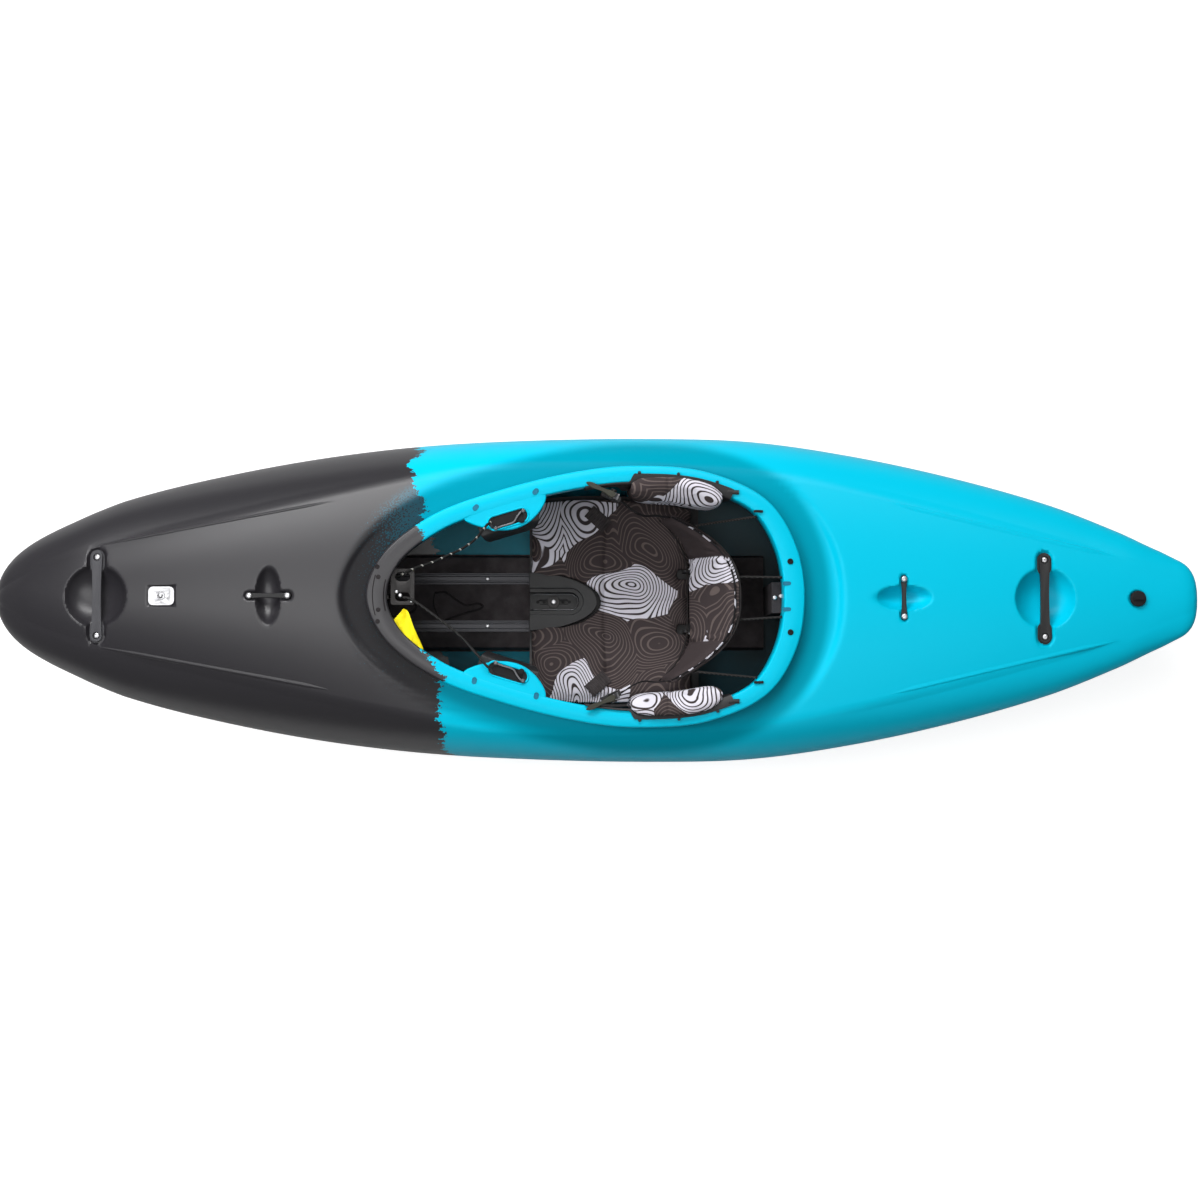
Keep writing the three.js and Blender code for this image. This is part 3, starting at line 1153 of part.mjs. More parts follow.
// Thigh braces: a strip in the hook's slot, a curved plate under it and a pad under that
const slotMatrix = (side) => {
  const { middle, along } = slotFrame(side);
  const turn = new THREE.Matrix4().makeRotationZ(Math.atan2(along.y, along.x));
  const spot = new THREE.Matrix4().makeTranslation(middle.x - RIM_FORWARD, middle.y, 0);
  return rimFrame.clone().multiply(spot).multiply(turn);
};

// The brace's cross-section: [out from the slot, height], from its outer edge to the hook's tip.
function bracePath(s) {
  const flat = BRACE.flange / (BRACE.flange + BRACE.drop + BRACE.reach / 2);
  const top = -HOOK_DROP - HOOK_THICKNESS - FIT_GAP;
  if (s < flat) return [BRACE.outer - (s / flat) * BRACE.flange, top];
  const t = ((s - flat) / (1 - flat)) * (Math.PI / 2);
  return [BRACE.outer - BRACE.flange - BRACE.fall * Math.sin(t), top - BRACE.drop * (1 - Math.cos(t))];
}
const BRACE_ROWS = 6; // the pad starts at the plate's first row
function braceFace(side, u, s, depth) {
  const [v0, h0] = bracePath(clamp(s - BRACE_NEAR_SHARE, 0, 1));
  const [v1, h1] = bracePath(clamp(s + BRACE_NEAR_SHARE, 0, 1));
  const [v, h] = bracePath(s);
  const length = Math.hypot(v1 - v0, h1 - h0);
  const down = [(h0 - h1) / length, (v1 - v0) / length];
  const taper = 1 - 0.3 * s * s;
  const x = (u - 0.5) * BRACE.length * taper;
  const bow = BRACE.sag * 4 * (u - 0.5) * (u - 0.5) * taper * (1 - s);
  const out = v - bow + down[0] * depth;
  return new THREE.Vector3(x, side * out, h + down[1] * depth).applyMatrix4(slotMatrix(side));
}
for (const [name, side] of sides) {
  const long = SLOT_LENGTH - 2 * BRACE.travel - 2 * BOLT_CLEARANCE;
  const wide = SLOT_WIDTH - 2 * BOLT_CLEARANCE;
  const top = -HOOK_DROP + FIT_GAP;
  const under = -HOOK_DROP - HOOK_THICKNESS - FIT_GAP - BRACE.thick / 2;
  const height = top + BRACE_CLAMP.thick / 2 - under;
  const boss = solidOf(onSlot(extruded(barShape(long, wide), height, under), side));
  const clampShape = barShape(long + 2 * BRACE_CLAMP.over, wide + 2 * BRACE_CLAMP.over);
  const strip = boss.add(solidOf(onSlot(extruded(clampShape, BRACE_CLAMP.thick, top), side)));
  const bent = slab(even(6), even(BRACE_ROWS),
    (u, s) => braceFace(side, u, s, 0),
    (u, s) => braceFace(side, u, s, BRACE.thick));
  let plate = bent.add(strip);
  for (const [end, way] of [["front", 1], ["rear", -1]]) {
    const along = (way * BRACE_BOLT.span) / 2;
    const radius = BRACE_BOLT.shank + BOLT_CLEARANCE;
    const hole = new THREE.CylinderGeometry(radius, radius, CUT_OVERRUN, HOLE_SIDES);
    plate = plate.subtract(solidOf(onSlot(hole.rotateX(Math.PI / 2).translate(along, 0, 0), side)));
    const bolt = boltBody(BRACE_BOLT).translate(along, 0, top + BRACE_CLAMP.thick + FIT_GAP);
    piece(`thigh_bolt_${end}_${name}`, onSlot(bolt, side), COLOURS.steel, BRIGHT);
  }
  piece(`thigh_plate_${name}`, largest(plate), COLOURS.black);
  const trim = (s) => lerp(1 / BRACE_ROWS, 1, s);
  const crown = (u, s) => Math.sqrt(plump(2 * u - 1, 6) * plump(2 * s - 1, 6));
  const soft = (u, s) => lerp(BRACE_PAD.edge, BRACE_PAD.thick, crown(u, s));
  const pad = slab(even(6), even(BRACE_ROWS - 1),
    (u, s) => braceFace(side, u, trim(s), BRACE.thick + FIT_GAP),
    (u, s) => braceFace(side, u, trim(s), BRACE.thick + FIT_GAP + soft(u, s)));
  piece(`thigh_pad_${name}`, pad, COLOURS.fabric, SOFT);
}

// Footrest: a plate on a sled that rides the rails, with two foam pads
{
  const sledEnds = [places.footrest - FOOT.sled / 2, places.footrest + FOOT.sled / 2];
  const sled = block(...sledEnds, -FOOT.sledHalf, FOOT.sledHalf, seatBase, seatBase + FOOT.sledThick);
  const plan = new THREE.Shape();
  const base = seatBase + FOOT.lift;
  const corner = FOOT.corner;
  plan.moveTo(-FOOT.halfWidth + corner, base);
  plan.lineTo(FOOT.halfWidth - corner, base);
  plan.quadraticCurveTo(FOOT.halfWidth, base, FOOT.halfWidth, base + corner);
  plan.lineTo(FOOT.halfWidth * 0.92, FOOT.top - corner);
  plan.quadraticCurveTo(FOOT.halfWidth * 0.9, FOOT.top, FOOT.halfWidth * 0.9 - corner, FOOT.top);
  plan.lineTo(-FOOT.halfWidth * 0.9 + corner, FOOT.top);
  plan.quadraticCurveTo(-FOOT.halfWidth * 0.9, FOOT.top, -FOOT.halfWidth * 0.92, FOOT.top - corner);
  plan.lineTo(-FOOT.halfWidth, base + corner);
  plan.quadraticCurveTo(-FOOT.halfWidth, base, -FOOT.halfWidth + corner, base);
  const ways = [new THREE.Vector3(0, 1, 0), new THREE.Vector3(0, 0, 1), new THREE.Vector3(1, 0, 0)];
  const stand = new THREE.Matrix4().makeBasis(...ways);
  const upright = (shape, depth, x) => {
    const lying = extruded(shape, depth, 0, 4);
    return solidOf(lying.applyMatrix4(stand).translate(x, 0, 0));
  };
  let rest = sled.add(upright(plan, FOOT.thick, places.footrest - FOOT.thick / 2));
  const web = new THREE.Shape();
  web.moveTo(0, seatBase + FOOT.sledThick / 2);
  web.lineTo(FOOT.sled / 2, seatBase + FOOT.sledThick / 2);
  web.lineTo(0, FOOT.top * 0.7);
  for (const [name, side] of sides) {
    const rib = new THREE.ExtrudeGeometry(web, { depth: FOOT.rib, bevelEnabled: false }).rotateX(Math.PI / 2)
      .translate(places.footrest, side * FOOT.ribOffset + FOOT.rib / 2, 0);
    rest = rest.add(solidOf(rib));
    const y = side * RAIL.offset;
    const key = RAIL.groove / 2 - FIT_GAP * 2;
    const keyFloor = seatBase - RAIL.grooveDepth + FIT_GAP;
    rest = rest.add(block(...sledEnds, y - key, y + key, keyFloor, seatBase + FOOT.sledThick / 2));
    const wide = CORD / 2 + BOLT_CLEARANCE;
    const eye = new THREE.CylinderGeometry(wide, wide, CUT_OVERRUN, HOLE_SIDES).rotateZ(Math.PI / 2);
    eye.translate(places.footrest, BRACKET.y + side * BRACKET.offset, FOOT.top - FOOT.eye);
    rest = rest.subtract(solidOf(eye));
    const padShape = new THREE.Shape();
    const y0 = side * FOOT_PAD.offset - FOOT_PAD.halfWidth;
    const y1 = side * FOOT_PAD.offset + FOOT_PAD.halfWidth;
    const r = FOOT_PAD.corner;
    padShape.moveTo(y0 + r, FOOT_PAD.bottom);
    padShape.lineTo(y1 - r, FOOT_PAD.bottom);
    padShape.quadraticCurveTo(y1, FOOT_PAD.bottom, y1, FOOT_PAD.bottom + r);
    padShape.lineTo(y1, FOOT_PAD.top - r);
    padShape.quadraticCurveTo(y1, FOOT_PAD.top, y1 - r, FOOT_PAD.top);
    padShape.lineTo(y0 + r, FOOT_PAD.top);
    padShape.quadraticCurveTo(y0, FOOT_PAD.top, y0, FOOT_PAD.top - r);
    padShape.lineTo(y0, FOOT_PAD.bottom + r);
    padShape.quadraticCurveTo(y0, FOOT_PAD.bottom, y0 + r, FOOT_PAD.bottom);
    const face = places.footrest - FOOT.thick / 2 - FIT_GAP;
    piece(`foot_pad_${name}`, upright(padShape, FOOT_PAD.thick, face - FOOT_PAD.thick), COLOURS.foam, SOFT);
  }
  piece("footrest", rest, COLOURS.black);
}

// The bracket under the rim's front, and the two cords that hold the footrest
{
  const room = rimPrism(-FIT_GAP, -CUT_OVERRUN, -FIT_GAP, CUT_OVERRUN);
  const bar = new THREE.BoxGeometry(BRACKET.length, BRACKET.width, BRACKET.thick)
    .translate(places.bracket - RIM_FORWARD, BRACKET.y, -BRACKET.drop);
  const backX = places.bracket + BRACKET.length / 2 - RIM_FORWARD;
  const back = new THREE.BoxGeometry(BRACKET.length, BRACKET.width, BRACKET.flange)
    .translate(backX, BRACKET.y, (BRACKET.flange - BRACKET.thick) / 2 - BRACKET.drop);
  const fit = rimPrism(-FIT_GAP - BRACKET.thick, -CUT_OVERRUN, -FIT_GAP - BRACKET.thick, CUT_OVERRUN);
  let bracket = solidOf(inRim(bar)).add(solidOf(inRim(back)).subtract(fit)).intersect(room);
  const under = -BRACKET.drop - BRACKET.thick * 2;
  for (const [, side] of sides) {
    const slot = extruded(barShape(BRACKET.slot, BRACKET.bore), BRACKET.thick * 4, under);
    slot.translate(places.bracket - RIM_FORWARD, BRACKET.y + side * BRACKET.offset, 0);
    bracket = bracket.subtract(solidOf(inRim(slot)));
  }
  piece("cord_bracket", bracket, COLOURS.steel, { metal: 1, rough: 0.35 });

  const hull = solidOf(group.getObjectByName("hull_shell").geometry);
  const rest = solidOf(group.getObjectByName("footrest").geometry);
  for (const [name, side] of sides) {
    const t = rimParameter(places.lineHook, side);
    const lie = -HOOK_DROP + CORD / 2 + FIT_GAP;
    const y = BRACKET.y + side * BRACKET.offset;
    const points = [
      rimWorld(t, -LINE.tied, lie), rimWorld(t, -LINE.over, lie),
      fromRim(places.bracket - LINE.reach, y, CORD - BRACKET.drop),
      fromRim(places.bracket + LINE.reach / 2, y, -BRACKET.drop - CORD / 2),
      new THREE.Vector3(places.footrest, y, FOOT.top - FOOT.eye),
    ];
    const line = cord(points, CORD, 14).subtract(hull).subtract(rest);
    const end = line.subtract(rest.translate([-FIT_GAP, 0, 0]));
    piece(`footrest_cord_${name}`, largest(end), COLOURS.cord);
  }
}

// A soft pouch for the outfitting's spare shims, on the rim's inner wall
{
  const pouch = alongRim(places.pouchRear, places.pouchFront, 1, 4, (u) => {
    const full = Math.sqrt(plump(2 * u - 1, 4));
    const middle = (POUCH.top + POUCH.bottom) / 2;
    const reach = ((POUCH.top - POUCH.bottom) / 2) * lerp(0.7, 1, full);
    const deep = POUCH.deep * lerp(0.35, 1, full);
    return [
      [-FIT_GAP, middle + reach * 0.8], [-FIT_GAP, middle - reach * 0.8], [-deep * 0.5, middle - reach],
      [-deep * 0.9, middle - reach * 0.6], [-deep, middle], [-deep * 0.9, middle + reach * 0.6],
      [-deep * 0.5, middle + reach],
    ];
  });
  piece("spares_pouch", pouch, COLOURS.yellow, { rough: 0.8 });
}

for (const [name, side] of sides) {
  const place = rimBoltPlace(side);
  const bolt = boltBody(RIM_BOLT).translate(place.x - RIM_FORWARD, place.y, LIP_CROWN + FIT_GAP);
  piece(`rim_bolt_${name}`, inRim(bolt), COLOURS.black);
}

export default group;
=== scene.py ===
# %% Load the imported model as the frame
import math

import bpy
import numpy as np
from mathutils import Matrix, Vector


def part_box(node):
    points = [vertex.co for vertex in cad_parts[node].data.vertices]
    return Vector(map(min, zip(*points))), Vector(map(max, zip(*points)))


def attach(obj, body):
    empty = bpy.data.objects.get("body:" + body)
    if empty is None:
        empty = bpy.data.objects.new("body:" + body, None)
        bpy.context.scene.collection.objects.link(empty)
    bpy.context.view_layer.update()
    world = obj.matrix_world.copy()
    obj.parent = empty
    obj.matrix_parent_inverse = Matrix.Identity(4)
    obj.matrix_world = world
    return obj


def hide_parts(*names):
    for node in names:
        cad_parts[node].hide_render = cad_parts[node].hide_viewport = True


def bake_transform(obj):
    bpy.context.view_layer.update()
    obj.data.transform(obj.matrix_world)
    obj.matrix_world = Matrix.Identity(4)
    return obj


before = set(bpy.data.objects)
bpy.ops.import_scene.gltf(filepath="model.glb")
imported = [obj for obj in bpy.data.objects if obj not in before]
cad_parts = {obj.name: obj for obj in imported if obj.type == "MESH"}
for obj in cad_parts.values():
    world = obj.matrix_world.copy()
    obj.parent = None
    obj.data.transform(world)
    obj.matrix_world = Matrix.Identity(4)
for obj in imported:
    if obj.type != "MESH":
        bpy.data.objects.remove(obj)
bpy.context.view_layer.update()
MM = 0.001
SIDES = ((1, "port"), (-1, "starboard"))

# %% [markdown]
# This is a river kayak, seen from straight above. The hull is one moulded shell, so it is worked out
# from a few smooth lines along its length, with every recess pressed into the same surface. The
# fittings are separate pieces. All lengths below are millimetres, and one helper turns them into
# Blender's metres, so the numbers read like a drawing.
#
# The camera comes first. It hangs almost straight over the boat, with the bow to the left, so its
# up direction is -Y. The lens follows from how many millimetres one pixel of the picture covers.

# %% Camera over the boat
PICTURE_PIXELS = 1200
PIXEL_SIZE = 2.0485
AIM = (2, 2, 200)
CAMERA_DISTANCE = 4800
CAMERA_LEAN = math.radians(2.6)
SENSOR = 36
aim = Vector(AIM) * MM
away = Vector((0, math.sin(CAMERA_LEAN), math.cos(CAMERA_LEAN)))
place = aim + away * CAMERA_DISTANCE * MM
right = Vector((-1, 0, 0))
turn = Matrix((right, away.cross(right), away)).transposed().to_4x4()
lens = bpy.data.cameras.new("overhead_lens")
lens.sensor_width = SENSOR
lens.lens = SENSOR * CAMERA_DISTANCE / (PICTURE_PIXELS * PIXEL_SIZE)
overhead = bpy.data.objects.new("overhead_camera", lens)
overhead.matrix_world = Matrix.Translation(place) @ turn
bpy.context.collection.objects.link(overhead)
bpy.context.scene.camera = overhead
print("lens", round(lens.lens, 1), "camera at", [round(n, 3) for n in place])

# %% [markdown]
# The light is plain: one long soft lamp to starboard, a second over the bow that reaches into the
# cockpit, two weak ones and a faint sky. So faces that lean to starboard are bright and those that
# lean to port or to the stern fall off, which shows the deck's creases. A sheen along the starboard
# shoulder comes from a strip lamp of its own, higher up, that only glossy rays see. The camera sees
# the sky as white.

# %% Floor, sky and lamps
bpy.context.scene.view_settings.view_transform = "Standard"
SKY_STRENGTH = 0.18
LAMP_AIM_SHARE = 0.4
LAMP_AIM_HEIGHT = 100
LAMPS = [
    ("lamp_starboard", (900, -3300, 3300), (4200, 1300), 250, "soft"),
    ("lamp_bow", (2900, -300, 3700), (1500, 2600), 115, "soft"),
    ("lamp_port", (-600, 3000, 2600), (3000, 1200), 14, "soft"),
    ("lamp_high", (200, 420, 4900), (4800, 1400), 58, "both"),
    ("lamp_sheen", (0, -2500, 3950), (4600, 900), 135, "sheen"),
]


def sky():
    """White for what the camera sees, and a softer level for the light that the sky gives."""
    world = bpy.data.worlds.new("pale_sky")
    world.use_nodes = True
    tree = world.node_tree
    tree.nodes.clear()
    path = tree.nodes.new("ShaderNodeLightPath")
    level = tree.nodes.new("ShaderNodeMapRange")
    level.inputs["To Min"].default_value = SKY_STRENGTH
    level.inputs["To Max"].default_value = 1.0
    tree.links.new(path.outputs["Is Camera Ray"], level.inputs["Value"])
    background = tree.nodes.new("ShaderNodeBackground")
    tree.links.new(level.outputs[0], background.inputs["Strength"])
    output = tree.nodes.new("ShaderNodeOutputWorld")
    tree.links.new(background.outputs[0], output.inputs["Surface"])
    return world


def hang_lamp(name, place, size, watts, use):
    """A rectangular lamp that faces a place in the boat's middle plane, between the origin and its
    own station, and that gives soft light, sheen or both."""
    light = bpy.data.lights.new(name, "AREA")
    light.shape = "RECTANGLE"
    light.size = size[0] * MM
    light.size_y = size[1] * MM
    light.energy = watts
    lamp = bpy.data.objects.new(name, light)
    spot = Vector(place) * MM
    toward = Vector((spot.x * LAMP_AIM_SHARE, 0, LAMP_AIM_HEIGHT * MM)) - spot
    lamp.matrix_world = Matrix.Translation(spot) @ toward.to_track_quat("-Z", "Y").to_matrix().to_4x4()
    lamp.visible_glossy = use != "soft"
    lamp.visible_diffuse = use != "sheen"
    bpy.context.collection.objects.link(lamp)
    return lamp


bpy.context.scene.world = sky()
for lamp in LAMPS:
    hang_lamp(*lamp)
print("lamps", len(LAMPS))

# %% [markdown]
# Most pieces are grids: a function gives a point for each pair of parameters, numpy works out the
# whole grid at once, and one helper turns grids into a closed mesh. It measures the volume that the
# faces enclose, and turns them round when it comes out negative, so every piece faces outwards.

# %% Mesh helpers
def grid_faces(rows, columns, loop_rows=False, loop_columns=False):
    """The four-cornered faces of a grid, with its last row or column joined to the first on demand."""
    row = np.arange(rows if loop_rows else rows - 1)
    column = np.arange(columns if loop_columns else columns - 1)
    a, b = np.meshgrid(row, column, indexing="ij")
    below, beside = (a + 1) % rows, (b + 1) % columns
    corners = [a * columns + b, below * columns + b, below * columns + beside, a * columns + beside]
    return np.stack(corners, -1).reshape(-1, 4)


def enclosed(points, faces):
    """Signed volume inside the faces: a sum over the fans of triangles that they split into."""
    total = 0.0
    for group in faces:
        for k in range(1, group.shape[1] - 1):
            a, b, c = points[group[:, 0]], points[group[:, k]], points[group[:, k + 1]]
            total += np.einsum("ij,ij->", a, np.cross(b, c)) / 6
    return total


def make_piece(name, points, faces, sharp=40):
    """A mesh object from points in millimetres and groups of faces with equal corner counts."""
    points = np.asarray(points, float).reshape(-1, 3)
    faces = [np.asarray(group, int) for group in faces if len(group)]
    if enclosed(points, faces) < 0:
        faces = [group[:, ::-1] for group in faces]
    mesh = bpy.data.meshes.new(name)
    mesh.vertices.add(len(points))
    mesh.vertices.foreach_set("co", (points * MM).astype(np.float32).ravel())
    corners = np.concatenate([group.ravel() for group in faces])
    counts = np.concatenate([np.full(len(group), group.shape[1]) for group in faces])
    mesh.loops.add(len(corners))
    mesh.loops.foreach_set("vertex_index", corners.astype(np.int32))
    mesh.polygons.add(len(counts))
    starts = np.concatenate([[0], np.cumsum(counts)[:-1]])
    mesh.polygons.foreach_set("loop_start", starts.astype(np.int32))
    mesh.update(calc_edges=True)
    mesh.validate()
    mesh.shade_smooth()
    if sharp:
        mesh.set_sharp_from_angle(angle=math.radians(sharp))
    piece = bpy.data.objects.new(name, mesh)
    bpy.context.collection.objects.link(piece)
    return piece


def tube_faces(rings, count, start=0):
    """Faces of a skin over open rings, closed by one flat face at each end."""
    last = start + (rings - 1) * count
    ends = np.array([start + np.arange(count), last + np.arange(count)[::-1]])
    return [start + grid_faces(rings, count, loop_columns=True), ends]


def make_tube(name, grid, sharp=40):
    """A closed piece from a grid of rings."""
    rings, count = grid.shape[:2]
    return make_piece(name, grid, tube_faces(rings, count), sharp)


def make_loop(name, grid, sharp=40):
    """A closed piece whose rings run all the way round and meet."""
    rings, count = grid.shape[:2]
    return make_piece(name, grid, [grid_faces(rings, count, True, True)], sharp)


def make_slab(name, upper, lower, sharp=40):
    """A closed piece between two grids of equal size, joined by a wall along their edges."""
    rows, columns = upper.shape[:2]
    face = grid_faces(rows, columns)
    under = rows * columns
    i, j = np.arange(rows - 1), np.arange(columns - 1)
    edge = np.concatenate([
        i * columns, (rows - 1) * columns + j, (rows - 1 - i) * columns + columns - 1, columns - 1 - j,
    ])
    ahead = np.roll(edge, -1)
    wall = np.stack([edge, ahead, under + ahead, under + edge], -1)
    points = np.concatenate([upper.reshape(-1, 3), lower.reshape(-1, 3)])
    return make_piece(name, points, [face[:, ::-1], under + face, wall], sharp)


def weld(name, pieces):
    """Several pieces as one object. They keep their own closed skins."""
    for piece in bpy.context.selected_objects:
        piece.select_set(False)
    for piece in pieces:
        piece.select_set(True)
    bpy.context.view_layer.objects.active = pieces[0]
    if len(pieces) > 1:
        bpy.ops.object.join()
    pieces[0].name = name
    pieces[0].data.name = name
    return pieces[0]


def cut(piece, cutter, way="DIFFERENCE"):
    """The piece less the cutter, or joined with it, as one clean skin."""
    step = piece.modifiers.new("cut", "BOOLEAN")
    step.operation = way
    step.solver = "MANIFOLD"
    step.object = cutter
    graph = bpy.context.evaluated_depsgraph_get()
    made = bpy.data.meshes.new_from_object(piece.evaluated_get(graph))
    piece.modifiers.clear()
    piece.data = made
    bpy.data.objects.remove(cutter)
    return piece


def soften(piece, width, segments=3, angle=35):
    """Rounds the piece's sharp edges with a bevel of some width in millimetres."""
    bevel = piece.modifiers.new("rounded_edges", "BEVEL")
    bevel.width = width * MM
    bevel.segments = segments
    bevel.limit_method = "ANGLE"
    bevel.angle_limit = math.radians(angle)
    return piece


def refine(piece, levels=1):
    """One or more rounds of subdivision, the same in the viewport and in the render."""
    finer = piece.modifiers.new("finer", "SUBSURF")
    finer.levels = levels
    finer.render_levels = levels
    return piece


# %% [markdown]
# Three more shapes do for nearly all small fittings: an outline pulled upwards, a profile spun round
# an axis, and a section carried along a path. A 4 by 4 matrix then puts the points where they belong.

# %% Shape helpers
def circle(radius, count=32, start=0.0):
    """Points evenly round a circle."""
    turn = start + np.arange(count) / count * 2 * np.pi
    return np.stack([radius * np.cos(turn), radius * np.sin(turn)], -1)


def bar_outline(length, width, waist=None, count=12):
    """A bar with round ends along X. Its sides run in to the waist on a smooth curve."""
    waist = width if waist is None else waist
    end = length / 2 - width / 2
    arc = np.linspace(-np.pi / 2, np.pi / 2, count)
    cap = np.stack([end + width / 2 * np.cos(arc), width / 2 * np.sin(arc)], -1)
    share = np.linspace(0, 1, count + 2)[1:-1]
    half_width = waist / 2 + (width - waist) / 2 * (2 * share - 1) ** 2
    side = np.stack([end * (1 - 2 * share), half_width], -1)
    return np.concatenate([cap, side, -cap, -side])


def rounded_box(length, width, corner, count=8):
    """A rectangle along X with round corners."""
    arc = np.linspace(0, np.pi / 2, count)
    quarter = np.stack([corner * np.cos(arc), corner * np.sin(arc)], -1)
    across = np.array([length / 2 - corner, width / 2 - corner])
    turns = [np.array([[c, -s], [s, c]]) for c, s in [(1, 0), (0, 1), (-1, 0), (0, -1)]]
    signs = np.array([[1, 1], [-1, 1], [-1, -1], [1, -1]])
    return np.concatenate([quarter @ t.T + across * s for t, s in zip(turns, signs)])


def pulled(outline, low, high):
    """The rings of an outline pulled from one height to another."""
    ring = np.concatenate([outline, np.zeros((len(outline), 1))], -1)
    return np.stack([ring + [0, 0, low], ring + [0, 0, high]])


def spun(profile, count=32):
    """The rings of a profile of radius and height spun round Z."""
    profile = np.asarray(profile, float)
    ring = circle(1.0, count)
    flat = profile[:, None, :1] * ring[None]
    return np.concatenate([flat, np.repeat(profile[:, None, 1:], count, 1)], -1)


def carried(path, section, up=(0, 0, 1)):
    """The rings of a section carried along a path, its second axis kept as near to up as it can be."""
    path = np.asarray(path, float)
    along = np.gradient(path, axis=0)
    along /= np.linalg.norm(along, axis=-1, keepdims=True)
    side = np.cross(along, np.broadcast_to(np.asarray(up, float), along.shape))
    side /= np.linalg.norm(side, axis=-1, keepdims=True)
    over = np.cross(side, along)
    section = np.asarray(section, float)
    if section.ndim == 2:
        section = np.broadcast_to(section, (len(path), *section.shape))
    return path[:, None] + side[:, None] * section[..., :1] + over[:, None] * section[..., 1:]


def moved(grid, matrix):
    """The grid's points carried by a 4 by 4 matrix."""
    return grid @ matrix[:3, :3].T + matrix[:3, 3]


def shift(x=0.0, y=0.0, z=0.0):
    """A matrix that moves by some millimetres."""
    matrix = np.eye(4)
    matrix[:3, 3] = x, y, z
    return matrix


def spin(angle, axis="z"):
    """A matrix that turns about an axis."""
    c, s = math.cos(angle), math.sin(angle)
    a, b = {"x": (1, 2), "y": (2, 0), "z": (0, 1)}[axis]
    matrix = np.eye(4)
    matrix[a, a], matrix[a, b], matrix[b, a], matrix[b, b] = c, -s, s, c
    return matrix


def smooth_path(points, count=40):
    """A smooth line through a few points, on piecewise cubics with even slopes."""
    points = np.asarray(points, float)
    slope = np.gradient(points, axis=0)
    t = np.linspace(0, len(points) - 1, count)
    i = np.minimum(t.astype(int), len(points) - 2)
    f = (t - i)[:, None]
    ease = f * f * (3 - 2 * f)
    lead = f * (1 - f) ** 2 * slope[i] + f * f * (f - 1) * slope[i + 1]
    return points[i] * (1 - ease) + points[i + 1] * ease + lead


def soft_min(a, b, width):
    """The lower of two heights, rounded where they cross."""
    share = np.clip(0.5 + 0.5 * (b - a) / width, 0, 1)
    return b + (a - b) * share - width * share * (1 - share)


def ease(value, low, high):
    """From nought at low to one at high, level at both ends."""
    t = np.clip((value - low) / (high - low), 0, 1)
    return t * t * (3 - 2 * t)


def paint(piece, finish):
    """Makes one finish the only one of a piece."""
    piece.data.materials.clear()
    piece.data.materials.append(finish)


def dress(piece, body, finish, *nodes, slot="black_plastic"):
    """Gives a piece its finish and its body, and hides the nodes that it stands for. The slot is not used."""
    paint(piece, finish)
    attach(piece, body)
    if nodes:
        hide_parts(*nodes)
    return piece
# %% [markdown]
# The hull is drawn by a handful of lines along its length: how wide it is, where its keel and its
# deck run, and where the crease of the raised deck lies. Each line is a smooth curve through a few
# places from the stern (-1) to the bow (1). A real hull is moulded from one sheet of plastic, so one
# surface carries everything here too.

# %% The hull's lines
HULL_LENGTH = 2450
HULL_BEAM = 668
DECK_HEIGHT = 354
WALL = 6
HALF = HULL_LENGTH / 2
BOW = {"round": 200, "power": 2.0, "tip": 250}
STERN = {"round": 40, "power": 2.6, "tip": 184}
CREASE_STEP = 4
CREASE_RUN = 3
CREASE_REACH = 0.86
CREASE_LEVEL = 0.86
SEAM_LEVEL = 0.5
CHINE_LEVEL = 0.055
BEAM_SHARES = [
    (-1, 0.21), (-0.935, 0.305), (-0.868, 0.422), (-0.751, 0.593), (-0.584, 0.769), (-0.416, 0.901),
    (-0.249, 0.985), (-0.082, 1), (0.169, 0.976), (0.336, 0.931), (0.504, 0.847), (0.67, 0.722),
    (0.788, 0.603), (0.871, 0.484), (0.93, 0.44), (1, 0.43),
]
KEEL_SHARES = [
    (-1, 0.469), (-0.939, 0.412), (-0.816, 0.305), (-0.653, 0.175), (-0.49, 0.079), (-0.327, 0.023),
    (-0.163, 0), (0.163, 0), (0.327, 0.009), (0.49, 0.04), (0.571, 0.08), (0.653, 0.14), (0.816, 0.3),
    (0.939, 0.45), (1, 0.537),
]
DECK_SHARES = [
    (-1, 0.571), (-0.939, 0.588), (-0.816, 0.627), (-0.653, 0.678), (-0.49, 0.729), (-0.336, 0.782),
    (-0.163, 0.839), (0, 0.895), (0.163, 0.944), (0.381, 1), (0.49, 0.997), (0.653, 0.977),
    (0.816, 0.94), (0.939, 0.898), (1, 0.86),
]
CREASE_SHARES = [
    (-1, 0.1), (-0.877, 0.245), (-0.366, 0.716), (-0.122, 0.802), (0.082, 0.814), (0.294, 0.731),
    (0.812, 0.311), (0.939, 0.2), (1, 0.16),
]
STEP_SHARES = [
    (-1, 0), (-0.9, 0), (-0.8, 0.8), (-0.5, 1), (-0.36, 0.4), (-0.2, 0), (0.2, 0), (0.33, 0.6),
    (0.45, 1), (0.7, 1), (0.84, 0), (1, 0),
]
CHINE_SHARES = [(-1, 0.55), (-0.8, 0.66), (-0.4, 0.72), (0, 0.72), (0.4, 0.7), (0.7, 0.62), (1, 0.45)]


